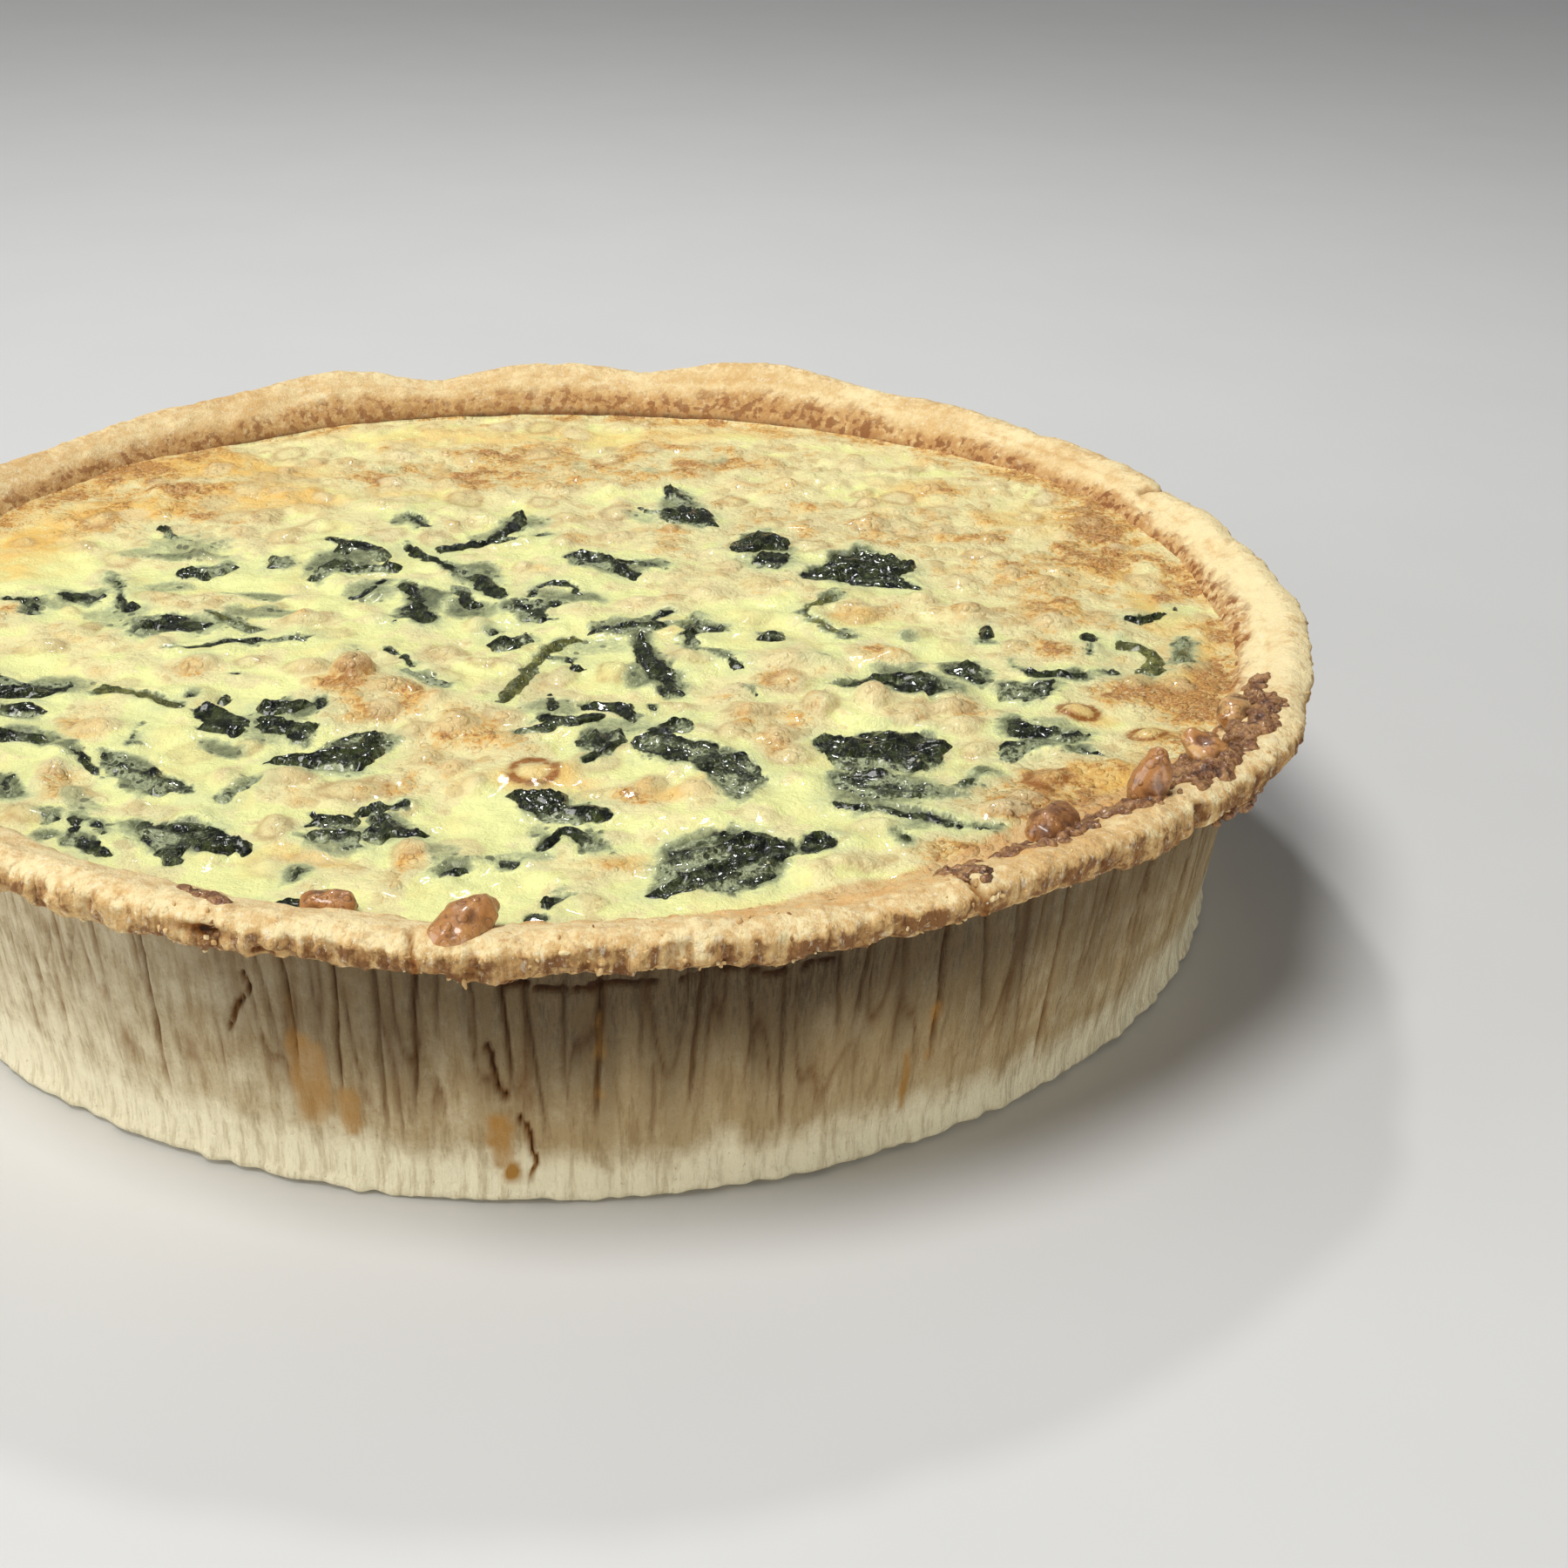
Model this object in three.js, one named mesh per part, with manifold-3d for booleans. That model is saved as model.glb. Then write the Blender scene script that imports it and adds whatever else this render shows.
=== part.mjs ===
// A deep spinach quiche: a baked pastry case, the custard that fills it, and the spinach that lies in
// the custard's surface. Pine nuts and browned spill crust stand out of the custard and the rim.
// Millimetres, +Z up. The origin is the centre of the underside, and +Y points to the quiche's back.

import * as THREE from 'three';
import { mergeVertices } from 'three/addons/utils/BufferGeometryUtils.js';
import Module from 'manifold-3d';

const wasm = await Module();
wasm.setup();

// ---- Driving dimensions ----

const BASE_RADIUS = 118; // the tin's base is 236 mm across
const WALL_TOP_RADIUS = 124.4; // the tin opens to 249 mm under the lip
const WALL_TOP_HEIGHT = 44.4;
const LIP_RADIUS = 133; // the rolled lip hangs 8 mm out over the wall
const LIP_UNDERSIDE = 45.9;
const RIM_CREST = 52.2;
const RIM_CREST_RADIUS = 129.2;
const FILLING_RADIUS = 118.5; // inside of the case, at the height of the custard
const WALL_THICKNESS = 5.2;
const BASE_THICKNESS = 6;

const CUSTARD_HEIGHT = 46.5;
const CUSTARD_BACK_DIP = 2.6; // the filling lies a little lower at the back
const CUSTARD_FRONT_RISE = 1.7; // and stands flush with the rim at the front

const GAP = 0.3; // air between pieces that touch
const LEAF_THICKNESS = 0.9;
const LEAF_CLEARANCE = 0.55; // under a leaf, over the custard's facets
const LEAF_RIPPLE = 0.6;
const RIPPLE_ALONG = 0.9; // radians of ripple in each millimetre
const RIPPLE_ACROSS = 1.3;

const SEGMENTS = 100; // steps round the case and the custard
const CUSTARD_RINGS = 9;
const RIM_NUT_LENGTH = 11;
const RIM_NUT_WIDTH = 6.4;
const NUT_FLATNESS = 0.78; // height as a share of width
const NUT_TAPER = 0.35;

// ---- Random numbers and angles ----

function seededRandom(seed) {
  let state = seed;
  return () => {
    state = (state + 0x6d2b79f5) | 0;
    let mixed = Math.imul(state ^ (state >>> 15), 1 | state);
    mixed = (mixed + Math.imul(mixed ^ (mixed >>> 7), 61 | mixed)) ^ mixed;
    return ((mixed ^ (mixed >>> 14)) >>> 0) / 2 ** 32;
  };
}

// A smooth hill of height 1 round one bearing. Bearings are degrees from +X, turning towards +Y.
function hill(bearing, at, spread) {
  const off = ((((bearing - at + 180) % 360) + 360) % 360) - 180;
  return Math.exp(-((off / spread) ** 2));
}

const bearingOf = (x, y) => THREE.MathUtils.radToDeg(Math.atan2(y, x));

// ---- The rim's uneven outline ----

// Where the rim bulges or dips: bearing, spread, how far out, how far up.
const RIM_HILLS = [
  { at: 145, spread: 10, out: -1.5, up: -0.6 },
  { at: 114, spread: 7, out: 1.0, up: 1.7 },
  { at: 103, spread: 4, out: -1.5, up: -1.8 },
  { at: 92, spread: 6, out: 0.8, up: 1.1 },
  { at: 82, spread: 3, out: -0.5, up: -0.8 },
  { at: 69, spread: 8, out: 2.4, up: 3.0 },
  { at: 51, spread: 8, out: 0.8, up: 0.9 },
  { at: 20, spread: 3, out: -1.0, up: -0.5 },
  { at: 8, spread: 12, out: -1.2, up: -0.3 },
  { at: -34, spread: 9, out: 2.6, up: 0.3 },
  { at: -72, spread: 5, out: -0.5, up: -0.7 },
  { at: -96, spread: 5, out: 0.6, up: -0.9 },
  { at: -128, spread: 12, out: 0.5, up: 0.3 },
  { at: -168, spread: 9, out: -0.9, up: 0.8 },
  { at: 172, spread: 6, out: 0.9, up: -0.6 },
];

function rimOffset(bearing) {
  const offset = { out: 0, up: 0 };
  for (const { at, spread, out, up } of RIM_HILLS) {
    offset.out += out * hill(bearing, at, spread);
    offset.up += up * hill(bearing, at, spread);
  }
  return offset;
}

// ---- Pastry case ----

// The section of the case, from the middle of the underside, up the outside, over the lip and down
// the inside to the middle of its floor. Each corner has its radius and height, how far it follows
// the rim's outline, how far the wall's pleats and how far it crumbles.
const LIP_CORNERS = [
  { r: LIP_RADIUS - 7, z: LIP_UNDERSIDE - 0.3, rim: 0.3, pleat: 0, crumble: 0 },
  { r: LIP_RADIUS - 1.7, z: LIP_UNDERSIDE, rim: 1, pleat: 0, crumble: 0.5 },
  { r: LIP_RADIUS, z: LIP_UNDERSIDE + 2, rim: 1, pleat: 0, crumble: 0.6 },
  { r: LIP_RADIUS, z: RIM_CREST - 2.2, rim: 1, pleat: 0, crumble: 0.6 },
  { r: LIP_RADIUS - 1.6, z: RIM_CREST - 0.5, rim: 1, pleat: 0, crumble: 0.4 },
  { r: RIM_CREST_RADIUS, z: RIM_CREST, rim: 1, pleat: 0, crumble: 0.3 },
  { r: RIM_CREST_RADIUS - 3.8, z: RIM_CREST - 1.4, rim: 0.6, pleat: 0, crumble: 0.3 },
];
const INSIDE_CORNERS = [
  { r: FILLING_RADIUS + 3.1, z: 48.4 },
  { r: FILLING_RADIUS + 0.8, z: 45 },
  { r: FILLING_RADIUS, z: 40 },
  { r: BASE_RADIUS - WALL_THICKNESS, z: BASE_THICKNESS + 2.5 },
  { r: BASE_RADIUS - WALL_THICKNESS - 3.5, z: BASE_THICKNESS },
];

function wallCorner(height, pleat) {
  const share = height / WALL_TOP_HEIGHT;
  return { r: THREE.MathUtils.lerp(BASE_RADIUS, WALL_TOP_RADIUS, share), z: height, pleat };
}

function caseSection() {
  const outside = [
    { r: 0, z: 0 },
    { r: BASE_RADIUS - 1.5, z: 0 },
    { r: BASE_RADIUS + 0.6, z: 0.9, crumble: 0.3 }, // the cut foot flares a little
    wallCorner(5, 0.5),
    wallCorner(20, 1),
    wallCorner(34, 1),
    wallCorner(WALL_TOP_HEIGHT, 0.4),
  ];
  return [...outside, ...LIP_CORNERS, ...INSIDE_CORNERS, { r: 0, z: BASE_THICKNESS }];
}

// Pleats pressed into the wall by the tin's paper lining: deeper in some places than in others.
function pleatDepth(bearing) {
  const coarse = Math.sin(THREE.MathUtils.degToRad(bearing * 23));
  const fine = Math.sin(THREE.MathUtils.degToRad(bearing * 41 + 50));
  return 0.3 * coarse * fine - 0.25;
}

// Turns a section round the upright axis. moveCorner gives each corner its place on each bearing.
function turnedSection(section, moveCorner) {
  const outline = section.map(({ r, z }) => new THREE.Vector2(r, z));
  const geometry = new THREE.LatheGeometry(outline, SEGMENTS);
  const position = geometry.attributes.position;
  for (let index = 0; index < position.count; index += 1) {
    const corner = section[index % section.length];
    const step = Math.floor(index / section.length) % SEGMENTS;
    const bearing = (360 * step) / SEGMENTS;
    const { r, z } = moveCorner(corner, bearing, step);
    const angle = THREE.MathUtils.degToRad(bearing);
    position.setXYZ(index, r * Math.cos(angle), r * Math.sin(angle), z);
  }
  return geometry;
}

function crustGeometry() {
  const random = seededRandom(7);
  const crumbs = new Map();
  return turnedSection(caseSection(), (corner, bearing, step) => {
    const { r, z, rim = 0, pleat = 0, crumble = 0 } = corner;
    const key = `${r},${z},${step}`;
    if (!crumbs.has(key)) {
      crumbs.set(key, { out: random() - 0.5, up: random() - 0.5 });
    }
    const crumb = crumbs.get(key);
    const offset = rimOffset(bearing);
    return {
      r: r + rim * offset.out + pleat * pleatDepth(bearing) + 2 * crumble * crumb.out,
      z: z + rim * offset.up + crumble * crumb.up,
    };
  });
}

// ---- Custard ----

// The inside radius of the case at a height, between the corners of its section.
function insideRadius(height) {
  const corners = [{ r: RIM_CREST_RADIUS - 3.8, z: RIM_CREST - 1.4 }, ...INSIDE_CORNERS];
  const upper = corners.findLastIndex(({ z }) => z >= height);
  const { r: r1, z: z1 } = corners[upper];
  const { r: r0, z: z0 } = corners[upper + 1];
  return THREE.MathUtils.mapLinear(height, z0, z1, r0, r1);
}

// Height of the custard's skin without its nuts: a level that dips at the back and rises at the
// front, with slow waves.
function custardHeight(x, y) {
  const share = (x ** 2 + y ** 2) / FILLING_RADIUS ** 2;
  const bearing = bearingOf(x, y);
  const edge = CUSTARD_FRONT_RISE * hill(bearing, -76, 34) - CUSTARD_BACK_DIP * hill(bearing, 92, 38);
  const waves = Math.sin(x / 13 + 1) * Math.cos(y / 11) + Math.sin((x + 2 * y) / 27);
  return CUSTARD_HEIGHT + share * edge + 0.3 * waves;
}

function custardEdge(bearing) {
  const angle = THREE.MathUtils.degToRad(bearing);
  const height = custardHeight(FILLING_RADIUS * Math.cos(angle), FILLING_RADIUS * Math.sin(angle));
  return { r: insideRadius(height) - GAP, z: height };
}

function custardGeometry() {
  const floor = BASE_THICKNESS + GAP;
  const below = [
    { r: 0, z: floor },
    { r: insideRadius(BASE_THICKNESS + 0.01) - GAP, z: floor },
    { r: insideRadius(BASE_THICKNESS + 2.5) - GAP, z: BASE_THICKNESS + 2.6 },
    { r: FILLING_RADIUS - GAP, z: 40 },
    { wall: true, r: FILLING_RADIUS, z: 43 },
  ];
  const rings = [];
  for (let ring = 0; ring <= CUSTARD_RINGS; ring += 1) {
    const share = 1 - ring / CUSTARD_RINGS;
    rings.push({ share, r: FILLING_RADIUS * share, z: CUSTARD_HEIGHT });
  }
  return turnedSection([...below, ...rings], (corner, bearing) => {
    const edge = custardEdge(bearing);
    if (corner.wall) {
      const height = Math.min(edge.z - 1, 45);
      return { r: insideRadius(height) - GAP, z: height };
    }
    if (corner.share === undefined) {
      return corner;
    }
    const angle = THREE.MathUtils.degToRad(bearing);
    const r = corner.share * edge.r;
    const inner = custardHeight(r * Math.cos(angle), r * Math.sin(angle));
    return { r, z: corner.share === 1 ? edge.z : inner };
  });
}

// ---- Pine nuts and browned crags ----

// Nuts in the custard's skin: place, size, bearing of the long side, and how high the middle lies over
// the skin. They lie where they baked, so their places follow no rule.
const BURIED_NUTS = [
  { x: -5.5, y: -72, length: 10, width: 8, turn: 80, lift: -1.2 },
  { x: -33, y: -76, length: 12, width: 8, turn: 0, lift: -2 },
  { x: -43.2, y: -71.3, length: 9, width: 6, turn: 10, lift: -1 },
  { x: -22.5, y: -65, length: 7, width: 5, turn: 60, lift: -0.9 },
  { x: -17.5, y: -69, length: 6, width: 5, turn: 30, lift: -0.9 },
  { x: -14.5, y: -76, length: 7, width: 4.5, turn: 90, lift: -0.8 },
  { x: -79, y: -67.5, length: 7, width: 5.5, turn: 85, lift: -0.9 },
  { x: -74.5, y: -76, length: 6.5, width: 5, turn: 20, lift: -0.9 },
  { x: -43.2, y: -89.2, length: 8, width: 5, turn: 80, lift: -0.9 },
  { x: -23, y: -97, length: 6.5, width: 6, turn: 30, lift: -1 },
  { x: 40, y: -106, length: 11, width: 5, turn: 12, lift: -1 },
  { x: 44.5, y: -94.5, length: 8, width: 5.5, turn: 0, lift: -1.1 },
  { x: 65, y: -89, length: 10, width: 6.5, turn: 0, lift: -0.9 },
  { x: 61, y: -98, length: 9, width: 5, turn: 15, lift: -1.1 },
  { x: 50.5, y: -48.6, length: 10, width: 6.5, turn: 80, lift: 0.6 },
  { x: 41.5, y: -48, length: 9, width: 6, turn: 95, lift: -0.4 },
  { x: 56, y: -52.3, length: 9, width: 6, turn: 60, lift: -0.6 },
  { x: 63, y: -49.5, length: 9, width: 6, turn: 10, lift: -0.8 },
  { x: 64, y: -56.5, length: 8, width: 6, turn: 30, lift: -0.9 },
  { x: 84.5, y: -51, length: 7, width: 5.5, turn: 0, lift: -1 },
  { x: 94, y: -60, length: 6.5, width: 5, turn: 20, lift: -0.9 },
  { x: 74, y: -77, length: 8, width: 6, turn: 40, lift: -1.1 },
  { x: 69, y: -84.5, length: 6.5, width: 5, turn: 0, lift: -0.9 },
  { x: 30, y: -50, length: 9, width: 6, turn: 20, lift: -1 },
  { x: 34, y: -59, length: 9, width: 6, turn: 70, lift: -1 },
  { x: 17, y: -47.5, length: 8, width: 5.5, turn: 10, lift: -1 },
  { x: 12, y: -78, length: 8, width: 5.5, turn: 60, lift: -0.9 },
  { x: -18, y: -54, length: 9, width: 6, turn: 30, lift: -1 },
  { x: -22, y: -44, length: 8, width: 5.5, turn: 80, lift: -1 },
  { x: -30, y: -47.5, length: 8, width: 5.5, turn: 70, lift: -0.8 },
  { x: -36, y: -32, length: 10, width: 7.5, turn: 85, lift: 0.2 },
  { x: -43.5, y: -30, length: 9, width: 6, turn: 15, lift: -0.9 },
  { x: -30, y: -38.5, length: 8, width: 5.5, turn: 20, lift: -0.8 },
  { x: -62, y: -29, length: 8, width: 6, turn: 30, lift: -0.9 },
  { x: -75, y: -53, length: 10, width: 6.5, turn: 5, lift: -1.3 },
  { x: -98, y: -47, length: 8, width: 6, turn: 70, lift: -0.9 },
  { x: -95, y: -60.5, length: 8, width: 6, turn: 40, lift: -1 },
  { x: -80, y: -83, length: 7, width: 5, turn: -45, lift: -0.9 },
  { x: 53.5, y: -8, length: 9, width: 6, turn: 60, lift: -0.9 },
  { x: 61, y: -17, length: 8, width: 6, turn: 20, lift: -1 },
  { x: 34, y: -8, length: 8, width: 5.5, turn: 40, lift: -1 },
  { x: 38, y: -30, length: 9, width: 6, turn: 0, lift: -1 },
  { x: 27, y: -40, length: 8, width: 5.5, turn: 60, lift: -1 },
  { x: 7.6, y: -31, length: 8, width: 5.5, turn: 80, lift: -1 },
  { x: -21, y: -22.5, length: 8, width: 6, turn: 20, lift: -1 },
  { x: -46, y: -8, length: 9, width: 6, turn: 0, lift: -1 },
  { x: -16, y: -9.5, length: 7, width: 5, turn: 70, lift: -0.9 },
  { x: 12.5, y: -1.5, length: 7.5, width: 5.5, turn: 10, lift: -1 },
  { x: 26, y: 2, length: 8, width: 6, turn: 30, lift: -1 },
  { x: 36, y: 7, length: 8, width: 6, turn: 0, lift: -1.1 },
  { x: -54, y: -2, length: 8, width: 5.5, turn: 30, lift: -1 },
  { x: -90, y: -20, length: 9, width: 6, turn: 10, lift: -1 },
  { x: -104, y: -14, length: 7, width: 5.5, turn: 80, lift: -1 },
  { x: 73, y: -9, length: 8, width: 6, turn: 50, lift: -1.1 },
  { x: 87, y: -13, length: 8, width: 5.5, turn: 0, lift: -1 },
  { x: 57, y: -28, length: 8, width: 6, turn: 10, lift: -1 },
  { x: 90, y: 6, length: 8, width: 6, turn: 60, lift: -1.1 },
  { x: 80, y: 22, length: 8, width: 6, turn: 20, lift: -1.1 },
  { x: 60, y: 40, length: 8, width: 6, turn: 20, lift: -1.1 },
  { x: 10, y: 36, length: 8, width: 6, turn: 30, lift: -1.1 },
  { x: -2, y: 64, length: 9, width: 6, turn: 0, lift: -1.1 },
  { x: -50, y: 50, length: 8, width: 6, turn: 0, lift: -1.1 },
  { x: -92, y: 30, length: 8, width: 6, turn: 80, lift: -1.1 },
  { x: 46, y: 66, length: 8, width: 6, turn: -30, lift: -1.1 },
];

// Nuts baked onto the rim: bearing, distance from the axis, height, turn from the rim's own run.
const RIM_NUTS = [
  { at: -96.5, r: 126.5, z: 51, turn: 60, tip: 10, size: 1.15 },
  { at: -54.5, r: 121.5, z: 50.6, turn: 25, tip: 5, size: 1.05 },
  { at: -46.5, r: 126, z: 53.6, turn: 0, tip: 75, size: 0.95 },
  { at: -38.5, r: 126.5, z: 52.3, turn: 85, tip: 20, size: 0.9 },
  { at: -28.5, r: 123.5, z: 50.2, turn: 15, tip: 0, size: 1 },
  { at: -105.8, r: 120.4, z: 49.2, turn: 10, tip: 0, size: 0.75 },
];

// Dark crags where the filling boiled over: bearing, distance from the axis, height and size.
const SPILL_CRAGS = [
  { at: -63.5, r: 120.5, z: 50.2, size: 4.2 },
  { at: -60, r: 123, z: 50.6, size: 3.4 },
  { at: -51.5, r: 123.5, z: 51, size: 4 },
  { at: -49, r: 124.5, z: 51.6, size: 4.4 },
  { at: -43.5, r: 126.5, z: 51.8, size: 3.6 },
  { at: -40.5, r: 129.5, z: 51.6, size: 4.6 },
  { at: -37, r: 130.5, z: 51.4, size: 4.8 },
  { at: -34, r: 127.5, z: 51.6, size: 4.4 },
  { at: -30, r: 127, z: 51.4, size: 4 },
  { at: -25, r: 124.5, z: 50.8, size: 3.2 },
  { at: -113.5, r: 125.5, z: 51.2, size: 3.4 },
  { at: -110, r: 128, z: 50.6, size: 3 },
];

function toSolid(geometry) {
  geometry.deleteAttribute('normal');
  geometry.deleteAttribute('uv');
  const merged = mergeVertices(geometry, 1e-4);
  const corners = Array.from(merged.index.array);
  const whole = [];
  for (let index = 0; index < corners.length; index += 3) {
    const [a, b, c] = corners.slice(index, index + 3);
    if (a !== b && b !== c && c !== a) {
      whole.push(a, b, c);
    }
  }
  const vertProperties = new Float32Array(merged.attributes.position.array);
  return new wasm.Manifold(new wasm.Mesh({ numProp: 3, vertProperties, triVerts: new Uint32Array(whole) }));
}

function toGeometry(solid) {
  const { vertProperties, triVerts } = solid.getMesh();
  const geometry = new THREE.BufferGeometry();
  geometry.setAttribute('position', new THREE.BufferAttribute(new Float32Array(vertProperties), 3));
  geometry.setIndex(new THREE.BufferAttribute(new Uint32Array(triVerts), 1));
  return geometry;
}

// One nut: a plump oval, pointed a little at one end.
function nutGeometry(length, width) {
  const geometry = new THREE.SphereGeometry(0.5, 6, 4);
  geometry.rotateZ(Math.PI / 2);
  const position = geometry.attributes.position;
  for (let index = 0; index < position.count; index += 1) {
    const taper = 1 - NUT_TAPER * position.getX(index);
    position.setY(index, position.getY(index) * taper);
    position.setZ(index, position.getZ(index) * taper);
  }
  return geometry.scale(length, width, width * NUT_FLATNESS);
}

function nutInCustard({ x, y, length, width, turn, lift }) {
  const geometry = nutGeometry(length, width);
  geometry.rotateZ(THREE.MathUtils.degToRad(turn));
  return geometry.translate(x, y, custardHeight(x, y) + lift);
}

function cragGeometry(size, random) {
  const geometry = mergeVertices(new THREE.IcosahedronGeometry(size / 2, 0).deleteAttribute('normal')
    .deleteAttribute('uv'), 1e-4);
  const position = geometry.attributes.position;
  for (let index = 0; index < position.count; index += 1) {
    const lump = 0.8 + 0.5 * random();
    position.setXYZ(
      index,
      position.getX(index) * lump,
      position.getY(index) * lump,
      position.getZ(index) * lump * 0.8,
    );
  }
  return geometry;
}

// Moves a piece from its own axes to a bearing on the rim, with its X axis along the rim's run.
function placeOnRim(geometry, { at, r, z }) {
  const angle = THREE.MathUtils.degToRad(at);
  return geometry.rotateZ(angle + Math.PI / 2).translate(r * Math.cos(angle), r * Math.sin(angle), z);
}

function rimPieces() {
  const random = seededRandom(19);
  const nuts = RIM_NUTS.map((nut) => {
    const geometry = nutGeometry(RIM_NUT_LENGTH * nut.size, RIM_NUT_WIDTH * nut.size);
    geometry.rotateY(THREE.MathUtils.degToRad(-nut.tip));
    geometry.rotateZ(THREE.MathUtils.degToRad(nut.turn));
    return placeOnRim(geometry, nut);
  });
  const crags = SPILL_CRAGS.map((crag) => placeOnRim(cragGeometry(crag.size, random), crag));
  return [...nuts, ...crags];
}

// ---- Spinach ----

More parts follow.
